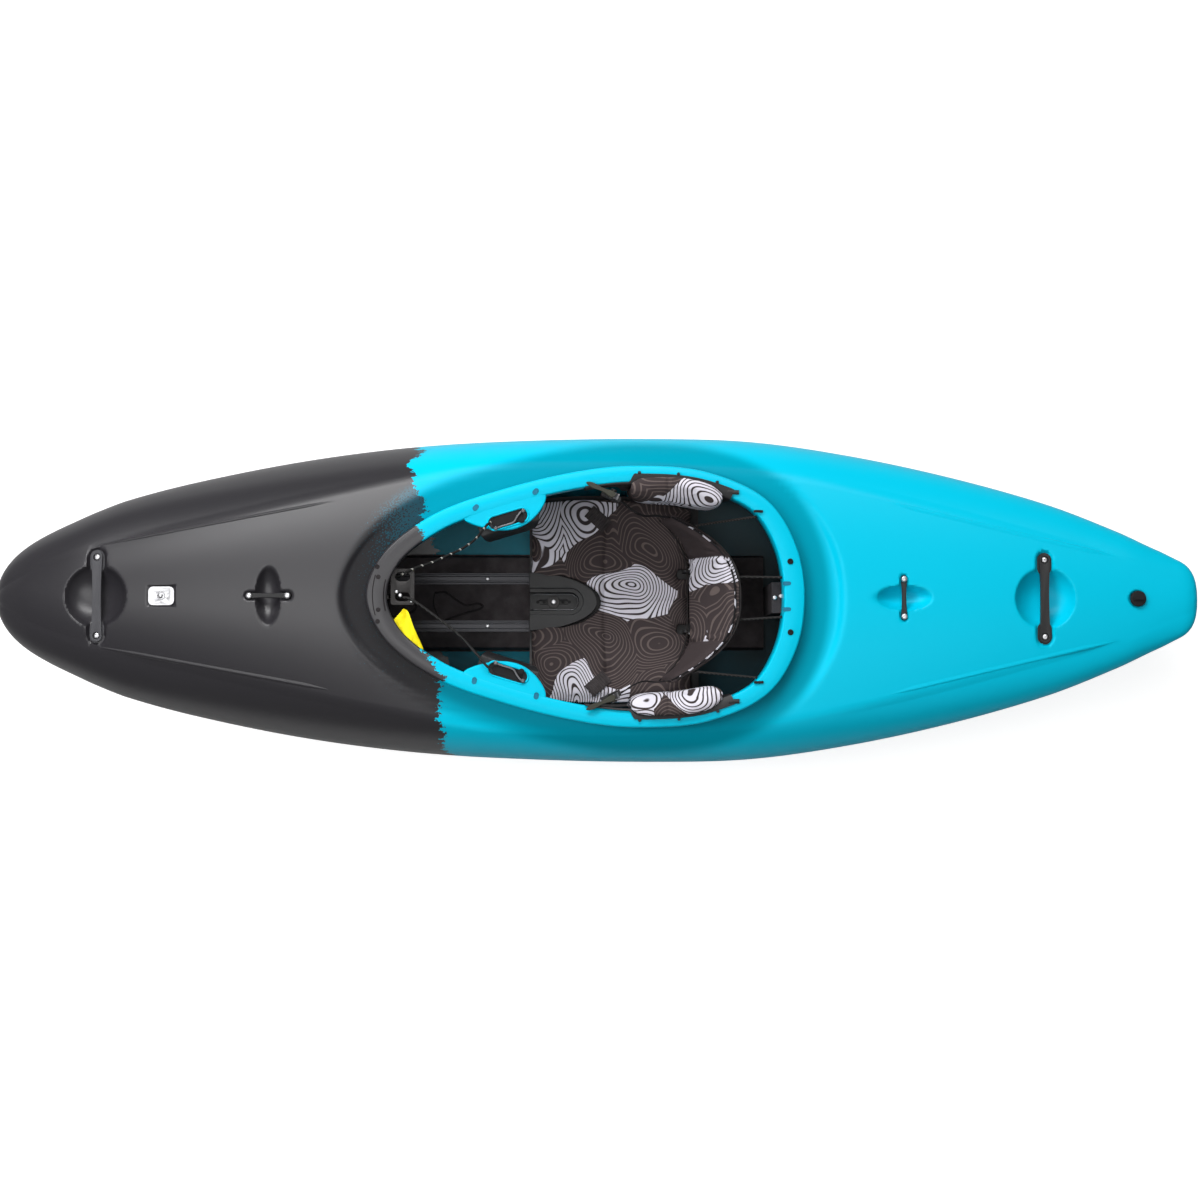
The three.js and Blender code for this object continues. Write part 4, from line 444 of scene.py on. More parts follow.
def line_through(table):
    """A smooth line through pairs of place and share: cubics that are level at each high or low pair."""
    place, share = np.array(table, float).T
    before = np.concatenate([[0], np.arange(len(place) - 1)])
    after = np.concatenate([np.arange(1, len(place)), [len(place) - 1]])
    level = (share[after] - share) * (share - share[before]) <= 0
    slope = np.where(level, 0, (share[after] - share[before]) / (place[after] - place[before]))

    def line(value):
        """The line's share at each place, held level past its ends."""
        value = np.clip(value, place[0], place[-1])
        i = np.searchsorted(place[1:-1], value, side="left")
        width = place[i + 1] - place[i]
        t = (value - place[i]) / width
        soft = t * t * (3 - 2 * t)
        lead = t * (1 - t) ** 2 * width * slope[i] + t * t * (t - 1) * width * slope[i + 1]
        return share[i] * (1 - soft) + share[i + 1] * soft + lead

    return line


beam_at, keel_at, deck_at, crease_at, step_at, chine_at = map(
    line_through, (BEAM_SHARES, KEEL_SHARES, DECK_SHARES, CREASE_SHARES, STEP_SHARES, CHINE_SHARES))


def mix(a, b, t):
    """A value between two others."""
    return a + (b - a) * t


def station(x, inset=0.0):
    """The hull's main heights and half-widths at stations x, for a skin some way inside the outer one.
    Each end closes on a rounded curve that brings keel, deck and sides together at the tip."""
    x = np.asarray(x, float)
    toward_bow = x > 0
    reach = np.where(toward_bow, BOW["round"], STERN["round"])
    power = np.where(toward_bow, BOW["power"], STERN["power"])
    tip = np.where(toward_bow, BOW["tip"], STERN["tip"])
    u = np.clip((np.abs(x) - (HALF - inset - reach)) / reach, 0, 1)
    closing = (1 - u**power) ** (1 / power)
    s = x / HALF
    keel = mix(tip, keel_at(s) * DECK_HEIGHT + inset, closing)
    deck = mix(tip, deck_at(s) * DECK_HEIGHT - inset, closing)
    beam = (beam_at(s) * HULL_BEAM / 2 - inset) * closing
    seam = mix(keel, deck, SEAM_LEVEL)
    crease = np.minimum(crease_at(s) * HULL_BEAM / 2 * closing, beam * CREASE_REACH)
    return {
        "keel": keel, "deck": deck, "beam": beam, "seam": seam, "crease": crease,
        "crease_top": mix(seam, deck, CREASE_LEVEL),
        "step": np.clip(step_at(s), 0, 1) * CREASE_STEP * closing,
        "chine": beam * chine_at(s),
        "chine_top": mix(keel, deck, CHINE_LEVEL),
        "crease_inner": np.maximum(crease - CREASE_RUN, crease / 2),
    }


def deck_height(x, y):
    """Height of the raised deck: highest in its middle, with a drop that grows as the square of y."""
    at = station(x)
    share = np.minimum(np.abs(y) / at["crease_inner"], 1)
    return mix(at["deck"], at["crease_top"], share**2)


def bent(a, pull, b, t):
    """A curve from a to b that leans towards a third point."""
    return a * (1 - t) ** 2 + pull * 2 * t * (1 - t) + b * t**2


def hull_section(x, inset, counts):
    """Half sections at stations x, from the keel round the port side to the deck's middle, as y and z:
    a flat floor that turns up at the chine, a side, a shoulder up to the crease, and a crowned deck."""
    at = {name: value[:, None] for name, value in station(x, inset).items()}
    bottom, side, shoulder, deck = counts
    t = np.linspace(0, 1, bottom, endpoint=False)[None]
    floor = (at["chine"] * t, mix(at["keel"], at["chine_top"], t**3))
    t = np.linspace(0, 1, side, endpoint=False)[None]
    flare = (mix(at["chine"], at["beam"], 0.8), mix(at["chine_top"], at["seam"], 0.3))
    flank = (bent(at["chine"], flare[0], at["beam"], t), bent(at["chine_top"], flare[1], at["seam"], t))
    t = np.linspace(0, 1, shoulder, endpoint=False)[None]
    edge = at["crease_top"] - at["step"]
    pull = (mix(at["beam"], at["crease"], 0.06), mix(at["seam"], edge, 0.74))
    upper = (bent(at["beam"], pull[0], at["crease"], t), bent(at["seam"], pull[1], edge, t))
    t = 1 - np.linspace(0, 1, deck + 1)[None]
    t = np.sinh(1.9 * t) / np.sinh(1.9)
    roof = (at["crease_inner"] * t, mix(at["deck"], at["crease_top"], t**2))
    y = np.concatenate([floor[0], flank[0], upper[0], roof[0]], 1)
    z = np.concatenate([floor[1], flank[1], upper[1], roof[1]], 1)
    return y, z


print("deck height at the bow handle", round(float(deck_height(1008, 0)), 1))

# %% [markdown]
# The cockpit rim lies in a plane of its own that tips up towards the bow. Its outline is one closed
# smooth curve through a few points, measured from above. Everything near the rim asks two things of
# it: a point beside the rim at some way round, and how far outside the rim a point of the deck lies.

# %% The cockpit rim's outline
RIM_LENGTH = 879
RIM_WIDTH = 524
RIM_FORWARD = 27.5
RIM_FRONT_HEIGHT = 372
RIM_REAR_HEIGHT = 292
RIM_SHARES = [
    (1, 0), (0.925, 0.313), (0.7, 0.611), (0.379, 0.813), (0.008, 0.962), (-0.235, 1), (-0.55, 0.955),
    (-0.827, 0.744), (-0.96, 0.4), (-1, 0),
]
LIP_SIDE = 34
LIP_END = 42
rim_pitch = math.atan2(RIM_FRONT_HEIGHT - RIM_REAR_HEIGHT, RIM_LENGTH)
rim_frame = shift(RIM_FORWARD, 0, (RIM_FRONT_HEIGHT + RIM_REAR_HEIGHT) / 2) @ spin(-rim_pitch, "y")


def closed_curve(points, parts=60):
    """A smooth closed curve: cubics whose slopes allow for uneven distances between the points."""
    ring = [np.roll(points, k, 0) for k in (1, 0, -1, -2)]
    gap = [np.linalg.norm(ring[k + 1] - ring[k], axis=1)[:, None] ** 0.5 for k in range(3)]
    start = (ring[1] - ring[0]) / gap[0] - (ring[2] - ring[0]) / (gap[0] + gap[1])
    start = (start + (ring[2] - ring[1]) / gap[1]) * gap[1]
    end = (ring[2] - ring[1]) / gap[1] - (ring[3] - ring[1]) / (gap[1] + gap[2])
    end = (end + (ring[3] - ring[2]) / gap[2]) * gap[1]
    t = np.linspace(0, 1, parts, endpoint=False)[None, :, None]
    a, b, v, w = (part[:, None] for part in (ring[1], ring[2], start, end))
    fine = a + v * t + (3 * (b - a) - 2 * v - w) * t**2 + (2 * (a - b) + v + w) * t**3
    return fine.reshape(-1, 2)


def rim_outline():
    """The rim's outer edge as evenly spaced points, the way inwards at each, and the lip's width."""
    port = np.array(RIM_SHARES, float)
    both = np.concatenate([port, port[-2:0:-1] * [1, -1]])
    fine = closed_curve(both * [RIM_LENGTH / 2, RIM_WIDTH / 2] + [RIM_FORWARD, 0])
    gaps = np.linalg.norm(np.diff(fine, axis=0, append=fine[:1]), axis=1)
    length = np.concatenate([[0], np.cumsum(gaps)])
    way = np.arange(RIM_COUNT) / RIM_COUNT * length[-1]
    around = np.concatenate([fine, fine[:1]])
    edge = np.stack([np.interp(way, length, around[:, k]) for k in range(2)], -1)
    along = np.roll(edge, -2, 0) - np.roll(edge, 2, 0)
    along /= np.linalg.norm(along, axis=1, keepdims=True)
    inward = np.stack([-along[:, 1], along[:, 0]], -1)
    lip = mix(LIP_SIDE, LIP_END, np.abs(inward[:, 0]) ** 4)
    return edge, inward, lip


RIM_COUNT = 960
rim_edge, rim_inward, rim_lip = rim_outline()


def around_rim(values, t):
    """A value kept for each rim point, read at ways t round the rim, where 1 is once round."""
    t = np.asarray(t, float) % 1
    place = np.arange(RIM_COUNT + 1) / RIM_COUNT
    closed = np.concatenate([values, values[:1]])
    if closed.ndim == 1:
        return np.interp(t, place, closed)
    return np.stack([np.interp(t, place, closed[:, k]) for k in range(closed.shape[1])], -1)


def rim_at(t):
    """The rim's outer edge, the way inwards and the lip's width, at ways t round the rim."""
    return [around_rim(values, t) for values in (rim_edge, rim_inward, rim_lip)]


def from_rim(x, y, h):
    """Points of the rim's frame in the hull's frame: h is the height above the lip."""
    local = np.stack(np.broadcast_arrays(np.asarray(x, float) - RIM_FORWARD, y, h), -1)
    return moved(local, rim_frame)


def beside_rim(t, out, h):
    """Points some way out from the rim's inner edge and some way above its lip, at ways t round it."""
    t, out, h = np.broadcast_arrays(np.asarray(t, float), out, h)
    edge, inward, lip = rim_at(t)
    flat = edge + inward * (lip - out)[..., None]
    return from_rim(flat[..., 0], flat[..., 1], h)


def rim_way(x, side):
    """How far round the rim its inner edge reaches a station x, on the port (1) or starboard (-1) side."""
    port = np.linspace(0.001, 0.499, 500)
    edge, inward, lip = rim_at(port)
    way = np.interp(-np.asarray(x, float), -(edge + inward * lip[:, None])[:, 0], port)
    return way if side > 0 else 1 - way


def outside_rim(x, y):
    """How far points lie outside the rim's outer edge, negative inside, and the nearest rim point."""
    flat = np.stack([x.ravel(), y.ravel()], -1)
    edge, inward = rim_edge[::2], rim_inward[::2]
    gap = flat[:, None] - edge[None]
    near = np.argmin(np.einsum("ijk,ijk->ij", gap, gap), 1)
    offset = flat - edge[near]
    far = -np.einsum("ij,ij->i", offset, inward[near])
    distance = np.sign(far) * np.linalg.norm(offset, axis=1)
    return distance.reshape(x.shape), (near * 2).reshape(x.shape)


print("rim pitch", round(math.degrees(rim_pitch), 2), "lip", rim_lip.min(), round(rim_lip.max(), 1))
# %% [markdown]
# Every recess in the deck is a height of its own: a bowl for the fingers, a pocket for each bar, a
# seat for the camera plate and one for the drain plug, and the groove for the spray skirt round the
# rim. The deck takes the lowest of them all at each point. Taking the lowest with a small rounding
# gives the soft moulded edges that hot plastic leaves, which no knife-sharp cut would.

# %% Recesses in the deck
GRAB = {"length": 181, "width": 22, "waist": 17, "thick": 8, "span": 157, "bowl": (62, 62), "depth": 36}
GRAB |= {"room": 11, "sink": 8}
TOW = {"length": 92, "width": 13, "waist": 9, "thick": 6, "span": 76, "bowl": (57, 25), "depth": 24}
TOW |= {"room": 3, "sink": 6}
BARS = {"bow_grab": GRAB, "stern_grab": GRAB, "bow_tow": TOW, "stern_tow": TOW}
PLACES = {"bow_grab": 1008, "stern_grab": -905, "bow_tow": 661, "stern_tow": -614}
PLACES |= {"camera": 875, "drain": -1097}
CAMERA = {"length": 51, "width": 37, "corner": 10, "pocket": 2.5, "margin": 2}
DRAIN_SEAT = 18
DRAIN_POCKET = 2
VALLEY = {"depth": 30, "side": 26, "front": 42, "rear": 70, "draft": 22}
MOULD_ROUND = 9
RECESS_ROUND = 5
GROOVE_ROUND = 6
POCKET_EDGE = 1.5
POCKET_SLOPE = 2.6


def bar_floor(reach, x, along, depth):
    """Height of a bar's pocket: some way below the lower of the deck's heights at the bar's ends."""
    ends = [deck_height(x - reach, 0), deck_height(x + reach, 0)] if along else [deck_height(x, reach)]
    return float(min(ends)) - depth


def distance_to_bar(along, across, length, width):
    """How far points lie outside a bar with round ends."""
    beyond = np.maximum(np.abs(along) - (length - width) / 2, 0)
    return np.hypot(beyond, across) - width / 2


def bowl_height(x, y, middle, reach, depth):
    """An egg-shaped bowl: broad and nearly level below, steep at its edge, and climbing away beyond it.
    The depth is a power of one less a power of the distance from the middle."""
    away = np.hypot((x - middle) / reach[0], y / reach[1])
    top = deck_height(x, y)
    inside = np.clip(1 - np.minimum(away, 1) ** 2.6, 0, 1) ** 0.8
    return top - depth * inside + np.maximum(away - 1, 0) * min(reach) * 2


def pocket_height(outside, floor):
    """A pocket with a flat floor and steep walls that start at its outline."""
    return floor + np.maximum(outside + POCKET_EDGE, 0) * POCKET_SLOPE


def recess_heights(x, y):
    """The heights of all recesses but the groove, in the order in which they are pressed in."""
    heights = []
    for name, bar in BARS.items():
        middle = PLACES[name]
        lengthwise = name == "bow_tow"
        along, across = (x - middle, y) if lengthwise else (y, x - middle)
        outside = distance_to_bar(along, across, bar["length"] + bar["room"], bar["width"] + bar["room"])
        floor = bar_floor(bar["length"] / 2, middle, lengthwise, bar["sink"])
        reach = bar["bowl"][::-1] if lengthwise else bar["bowl"]
        heights.append(pocket_height(outside, floor))
        heights.append(bowl_height(x, y, middle, reach, bar["depth"]))
    ahead, margin = x - PLACES["camera"], CAMERA["margin"]
    outline = distance_to_bar(ahead, y, CAMERA["length"] + 2 * margin, CAMERA["width"] + 2 * margin)
    edge = float(deck_height(PLACES["camera"] + CAMERA["length"] / 2, CAMERA["width"] / 2))
    square = np.maximum(np.abs(ahead) - CAMERA["length"] / 2, np.abs(y) - CAMERA["width"] / 2)
    heights.append(pocket_height(np.minimum(outline, square - margin), edge - CAMERA["pocket"]))
    ring = np.hypot(x - PLACES["drain"], y) - DRAIN_SEAT
    low = float(deck_height(PLACES["drain"] - DRAIN_SEAT, DRAIN_SEAT)) - DRAIN_POCKET
    heights.append(pocket_height(ring, low))
    return heights


def groove_height(x, y):
    """The skirt groove: level below the lip out to a set width, then a wall that leans outwards."""
    drop = VALLEY["depth"]
    flat = (x - RIM_FORWARD - drop * math.sin(rim_pitch)) / math.cos(rim_pitch) + RIM_FORWARD
    outside, near = outside_rim(flat, y)
    ahead = rim_inward[near][..., 0]
    width = mix(VALLEY["side"], np.where(ahead > 0, VALLEY["rear"], VALLEY["front"]), ahead**2)
    over = np.maximum(outside - width, 0)
    height = -drop + (np.sqrt(over**2 + GROOVE_ROUND**2) - GROOVE_ROUND) * drop / VALLEY["draft"]
    middle = (RIM_FRONT_HEIGHT + RIM_REAR_HEIGHT) / 2
    level = middle + (flat - RIM_FORWARD) * math.sin(rim_pitch) + height * math.cos(rim_pitch)
    return level, outside


def pressed(x, y, z):
    """The skin's height after every recess is pressed in, for points above the hull's widest line."""
    for height in recess_heights(x, y):
        z = soft_min(z, height, RECESS_ROUND)
    groove, outside = groove_height(x, y)
    return soft_min(z, groove, MOULD_ROUND), outside


print("bow pocket floor", round(bar_floor(GRAB["length"] / 2, PLACES["bow_grab"], False, GRAB["sink"]), 1))

# %% [markdown]
# The shell has an outer skin and an inner one 6 mm inside it. Stations stand close together where a
# recess needs them and further apart elsewhere. Each skin is closed at bow and stern by one point.
# The cockpit opening is then cut through both, a little inside the rim's neck, which hides the cut.

# %% Hull skins
FINE_ZONES = [
    (-1125, -1072, 3), (-972, -838, 3), (-682, -560, 3), (-520, -390, 5), (455, 560, 5), (600, 722, 3),
    (843, 907, 3), (942, 1082, 3),
]
COARSE_STEP = 11
INNER_STEP = 16
STERN_END = 40
BOW_END = 145
OUTER_COUNTS = (8, 10, 26, 36)
INNER_COUNTS = (6, 8, 14, 14)


def stations_between(inset, zones, coarse):
    """Stations from stern to bow: fine in the zones, coarse between them, and closer at the two tips."""
    end = HALF - inset
    stations = []
    x = -end + STERN_END
    while x < end - BOW_END:
        stations.append(x)
        x += next((step for low, high, step in zones if low - coarse < x < high), coarse)
    u = np.linspace(0, 1, 9)[1:]
    stern = -end + STERN_END * (1 - np.cos(u * np.pi / 2))
    u = np.linspace(0, 1, 40)[:-1]
    bow = end - BOW_END + BOW_END * np.sin(u * np.pi / 2)
    return np.unique(np.concatenate([stern, np.array(stations)[1:], bow]).round(3))


def hull_skin(inset, stations, counts):
    """Points and faces of one closed skin. Its upper half is pressed down by the recesses."""
    y, z = hull_section(stations, inset, counts)
    x = np.repeat(stations[:, None], y.shape[1], 1)
    top = sum(counts[:2])
    height = pressed(x[:, top:], np.abs(y[:, top:]), z[:, top:] + inset)[0]
    above = station(stations, inset)["seam"][:, None]
    z[:, top:] = np.maximum(height - inset, np.minimum(above, z[:, top:]))
    half = np.stack([x, y, z], -1)
    ring = np.concatenate([half, half[:, -2:0:-1] * [1, -1, 1]], 1)
    rings, count = ring.shape[:2]
    tips = np.array([[-(HALF - inset), 0, STERN["tip"]], [HALF - inset, 0, BOW["tip"]]])
    points = np.concatenate([ring.reshape(-1, 3), tips])
    k = np.arange(count)
    ahead = (k + 1) % count
    last = (rings - 1) * count
    stern_fan = np.stack([np.full(count, rings * count), k, ahead], -1)
    bow_fan = np.stack([np.full(count, rings * count + 1), last + ahead, last + k], -1)
    body = grid_faces(rings, count, loop_columns=True)
    return points, [body[:, ::-1], stern_fan[:, ::-1], bow_fan[:, ::-1]]


def rim_prism(out, low, high, count=240):
    """An upright ring on the rim's outline, moved outwards by some millimetres."""
    t = np.arange(count) / count
    return np.stack([beside_rim(t, out, h) for h in (low, high)])


def keep(piece, name, values):
    """Keeps one number for each point of a piece, for its finish to read."""
    layer = piece.data.attributes.get(name) or piece.data.attributes.new(name, "FLOAT", "POINT")
    layer.data.foreach_set("value", np.broadcast_to(values, len(piece.data.vertices)).astype(np.float32))


def points_of(piece):
    """The points of a piece in millimetres."""
    points = np.empty(len(piece.data.vertices) * 3, np.float32)
    piece.data.vertices.foreach_get("co", points)
    return points.reshape(-1, 3).astype(float) / MM


NEAR_RIM = {"rear": -480, "front": 600, "half": 320, "low": 200}
BAND_START = 320
BAND_EDGE = (62, 82)
# Where the painted shade beside the rim starts to fade and where it ends.
PAINTED_SHADE_EDGE = (40, 66)
BATCH = 8000


def mark_groove(piece):
    """Two marks from nought to one: the wide band beside the rim's front, and painted groove shade all round.
    """
    x, y, z = points_of(piece).T
    zone = (x > NEAR_RIM["rear"]) & (x < NEAR_RIM["front"]) & (np.abs(y) < NEAR_RIM["half"])
    near = np.flatnonzero(zone & (z > NEAR_RIM["low"]))
    marks, shade = np.zeros(len(x)), np.zeros(len(x))
    for part in np.array_split(near, max(1, len(near) // BATCH)):
        away = outside_rim(x[part], y[part])[0]
        marks[part] = (1 - ease(away, *BAND_EDGE)) * (x[part] > BAND_START)
        shade[part] = 1 - ease(away, *PAINTED_SHADE_EDGE)
    keep(piece, "groove", marks)
    keep(piece, "shade", shade)


outer = make_piece("hull_skin", *hull_skin(0, stations_between(0, FINE_ZONES, COARSE_STEP), OUTER_COUNTS))
inner_zones = [(low, high, step * 2.5) for low, high, step in FINE_ZONES]
inner_stations = stations_between(WALL, inner_zones, INNER_STEP)
hollow = make_piece("hollow", *hull_skin(WALL, inner_stations, INNER_COUNTS))
keep(outer, "inside", 0)
keep(hollow, "inside", 1)
print("outer faces", len(outer.data.polygons), "inner faces", len(hollow.data.polygons))
cut(outer, hollow)
cut(outer, make_tube("opening", rim_prism(5, -140, 60)))
mark_groove(outer)
print("hull skin faces", len(outer.data.polygons))
# %% [markdown]
# The rim is a lip carried round the outline: it stands on a neck in the groove, spreads out flat and
# turns down at its edge, so that a spray skirt's cord can snap under it. Each side also carries a
# thigh hook, a flat tongue that reaches inwards, with a long slot for the brace's bolts.

# %% Rim and thigh hooks
NECK = {"thick": 10, "foot": 41}
LIP = {"thick": 7, "drop": 11, "crown": 1.5, "round": 4.5}
HOOK = {"rear": 110, "front": 272, "depth": 46, "thick": 8, "drop": 2, "blend": 1.9}
SLOT = {"length": 80, "width": 25, "inset": 17, "place": 193, "inward": 9}


def arc_points(centre, radius, start, end, count=6):
    """Points along an arc, with the angles in degrees."""
    turn = np.radians(np.linspace(start, end, count))
    return [(centre[0] + radius * math.cos(a), centre[1] + radius * math.sin(a)) for a in turn]


def lip_sections(lip):
    """The rim's section for each lip width: the neck's inner wall, a rounded shoulder, a crowned top,
    a rounded outer edge that turns down, and the underside back to the neck."""
    crown = LIP["crown"]
    r = LIP["round"]
    start = [(0, -NECK["foot"]), (0, -20), (0, -r)] + arc_points((r, -r), r, 165, 90, 5)
    top = [(share, crown * (1 - (2 * share - 1) ** 2)) for share in np.linspace(0, 1, 9)[1:-1]]
    end = arc_points((-r, -r), r, 90, 0, 6) + [(0, -LIP["drop"] + 2)]
    end += arc_points((-2, -LIP["drop"] + 1.6), 1.9, -20, -160, 5)
    end += [(-4.6, -9), (-5.2, -8)] + [(-7, -LIP["thick"] - 0.3)]
    under = arc_points((NECK["thick"] + 5, -LIP["thick"] - 5), 5, 90, 180, 5)
    under += [(NECK["thick"], -22), (NECK["thick"], -NECK["foot"])]
    out = [np.full_like(lip, p[0]) for p in start]
    out += [r + (lip - 2 * r) * p[0] for p in top] + [lip + p[0] for p in end]
    out += [np.full_like(lip, p[0]) for p in under]
    height = [p[1] for p in start + top + end + under]
    return np.stack(out, -1), np.array(height)


RIM_PARTS = 480
way = np.arange(RIM_PARTS) / RIM_PARTS
out, height = lip_sections(around_rim(rim_lip, way))
rim = make_loop("rim_ring", beside_rim(way[:, None], out, height[None]), sharp=0)


def hook_sections(side, count=72):
    """A hook as closed rings along the rim: each runs from inside the neck to the tongue's round tip."""
    u = np.linspace(0, 1, count)
    ways = mix(rim_way(HOOK["rear"], side), rim_way(HOOK["front"], side), u)
    reach = 3 + HOOK["depth"] * np.sin(np.pi * u**0.85).clip(0) ** 0.8
    half = HOOK["thick"] / 2
    tip = arc_points((0, 0), 1, 90, 270, 9)
    root = NECK["thick"] / 2
    share = np.linspace(0, 1, 7)
    blend = HOOK["blend"] * (1 - share) ** 2
    out = [mix(root, -reach + half, s) for s in share] + [-reach + half * (1 + p[0]) for p in tip]
    out += [mix(-reach + half, root, s) for s in share]
    rise = [half + b for b in blend] + [half * p[1] for p in tip] + [-half - b for b in blend[::-1]]
    level = -HOOK["drop"] - half
    return beside_rim(ways[:, None], np.stack(out, -1), np.array(rise)[None] + level)


def slot_frame(side):
    """A matrix at the middle of a hook's slot: X runs along the slot and Z stands square to the hook."""
    way = float(rim_way(SLOT["place"], side))
    edge, inward, lip = rim_at(way)
    flat = edge + inward * (lip + SLOT["inset"])
    along = inward @ np.array([[0, 1], [-1, 0]])
    along = along * np.sign(along[0])
    return rim_frame @ shift(flat[0] - RIM_FORWARD, flat[1]) @ spin(math.atan2(along[1], along[0]))


def outline_path(outline, height):
    """A flat closed outline as points at one height."""
    return np.concatenate([outline, np.full((len(outline), 1), float(height))], -1)


def ring_on(path, section):
    """A closed section carried round a closed flat path, its first axis outwards and its second up."""
    along = np.roll(path, -1, 0) - np.roll(path, 1, 0)
    along /= np.linalg.norm(along, axis=1, keepdims=True)
    outward = np.stack([along[:, 1], -along[:, 0], np.zeros(len(path))], -1)
    section = np.asarray(section, float)
    return path[:, None] + outward[:, None] * section[:, :1] + np.array([0, 0, 1]) * section[:, 1:]


pieces = [rim]
for side in (1, -1):
    hook = make_tube("hook", hook_sections(side))
    spot = slot_frame(side)
    outline = bar_outline(SLOT["length"], SLOT["width"])
    spot = spot @ shift(0, -side * SLOT["inward"])
    cut(hook, make_tube("slot", moved(pulled(outline, -60, 60), spot)))
    border = outline_path(bar_outline(SLOT["length"] + 4, SLOT["width"] + 4), 0)
    border = ring_on(border, circle(2.0, 10))
    pieces += [hook, make_loop("slot_border", moved(border + [0, 0, -HOOK["drop"]], spot), sharp=0)]
cockpit_rim = weld("cockpit_rim", pieces)
print("rim faces", len(cockpit_rim.data.polygons))
# %% [markdown]
# Every finish is worked out from the place of a point on the boat, never from a picture. The hull's
# two colours meet on a ragged line, as when two colours of plastic powder melt side by side in the
# mould: a broad noise bends the line and a fine one frays it. Cloth gets its print and its weave in
# the same way, plastic a slight orange peel, foam its pores and metal its fine scratches.

# %% Finish helpers
def add(tree, kind, values=(), way=None, links=()):
    """A shader node with its values set, its operation chosen and its inputs joined to other nodes."""
    made = tree.nodes.new("ShaderNode" + kind)
    if way:
        made.operation = way
    for key, value in dict(values).items():
        made.inputs[key].default_value = value
    for key, socket in dict(links).items():
        tree.links.new(socket, made.inputs[key])
    return made


def start_finish(name, colour, rough, metal=0.0, gloss=0.5):
    """A plain finish, with its tree, its shader and the coordinates that patterns read."""
    material = bpy.data.materials.new(name)
    material.use_nodes = True
    tree = material.node_tree
    shader = tree.nodes["Principled BSDF"]
    shader.inputs["Base Color"].default_value = (*colour, 1)
    shader.inputs["Roughness"].default_value = rough
    shader.inputs["Metallic"].default_value = metal
    shader.inputs["Specular IOR Level"].default_value = gloss
    place = tree.nodes.new("ShaderNodeTexCoord").outputs["Object"]
    return material, tree, shader, place


def noise(tree, place, scale, detail=2.0, stretch=None, warp=0.0):
    """Smooth noise, its scale in cells per metre, on demand finer along some axes."""
    if stretch:
        place = add(tree, "Mapping", {"Scale": stretch}, links={"Vector": place}).outputs[0]
    values = {"Scale": scale, "Detail": detail, "Distortion": warp}
    return add(tree, "TexNoise", values, links={"Vector": place}).outputs["Fac"]


def maths(tree, way, a, b=None, c=None):
    """One step of arithmetic on sockets and plain numbers."""
    step = tree.nodes.new("ShaderNodeMath")
    step.operation = way
    for k, value in enumerate(v for v in (a, b, c) if v is not None):
        if isinstance(value, (int, float)):
            step.inputs[k].default_value = value
        else:
            tree.links.new(value, step.inputs[k])
    return step.outputs[0]


def between(tree, value, low, high, smooth=True):
    """From nought at low to one at high."""
    step = add(tree, "MapRange", {"From Min": low, "From Max": high}, links={"Value": value})
    step.interpolation_type = "SMOOTHSTEP" if smooth else "LINEAR"
    return step.outputs[0]


def blended(tree, share, a, b):
    """A colour between two others, each given as a colour or as a socket."""
    mixer = tree.nodes.new("ShaderNodeMix")
    mixer.data_type = "RGBA"
    if isinstance(share, float):
        mixer.inputs["Factor"].default_value = share
    else:
        tree.links.new(share, mixer.inputs["Factor"])
    for key, value in ((6, a), (7, b)):
        if isinstance(value, tuple):
            mixer.inputs[key].default_value = (*value, 1)
        else:
            tree.links.new(value, mixer.inputs[key])
    return mixer.outputs[2]


def raise_grain(tree, shader, height, depth, strength=1.0):
    """Bumps of some depth in millimetres, from a height between nought and one."""
    bump = add(tree, "Bump", {"Strength": strength, "Distance": depth * MM}, links={"Height": height})
    tree.links.new(bump.outputs[0], shader.inputs["Normal"])


def tint(tree, shader, share, a, b):
    """A base colour between two others."""
    tree.links.new(blended(tree, share, a, b), shader.inputs["Base Color"])


def between_levels(tree, value, low, high):
    """A level from low to high as a value goes from nought to one."""
    return add(tree, "MapRange", {"To Min": low, "To Max": high}, links={"Value": value}).outputs[0]


def attribute(tree, name):
    """A number that the mesh keeps for each of its points."""
    reader = tree.nodes.new("ShaderNodeAttribute")
    reader.attribute_name = name
    return reader.outputs["Fac"]


# %% [markdown]
# The hull's finish carries most of the picture. The colours run over from one to the other within
# 2 mm. In the skirt groove the blue shows through the black as specks that thin out towards the bow.
# The inner skin gets little light, and its colour is painted nearly black there as painted shade,
# most of all behind the seat. The skirt groove round the rim gets painted shade too, and less gloss.

# %% Hull plastic
BLUE = (0.0, 0.45, 0.63)
BLACK = (0.018, 0.017, 0.02)
SPECK = (0.006, 0.07, 0.105)
# Painted shade for the inner skin, which gets little light.
PAINTED_INNER_SHADE = (0.006, 0.016, 0.021)
# How far the painted shade darkens the groove towards black.
PAINTED_GROOVE_SHADE = 0.42
COLOUR_LINE = 0.343
COLOUR_SLANT = 0.1
SPECKS = (0.345, 0.52)
WANDER = {"broad": 0.11, "ragged": 0.05, "fray": 0.03}
GLOSS = {"blue": 0.11, "black": 0.75, "lost_in_groove": 0.75}
ROUGHNESS = {"blue": 0.33, "black": 0.36}
# How much painted shade the inner skin gets behind the seat and ahead of it.
INNER_DIM = {"from": -0.17, "to": 0.05, "behind": 0.96, "ahead": 0.6}


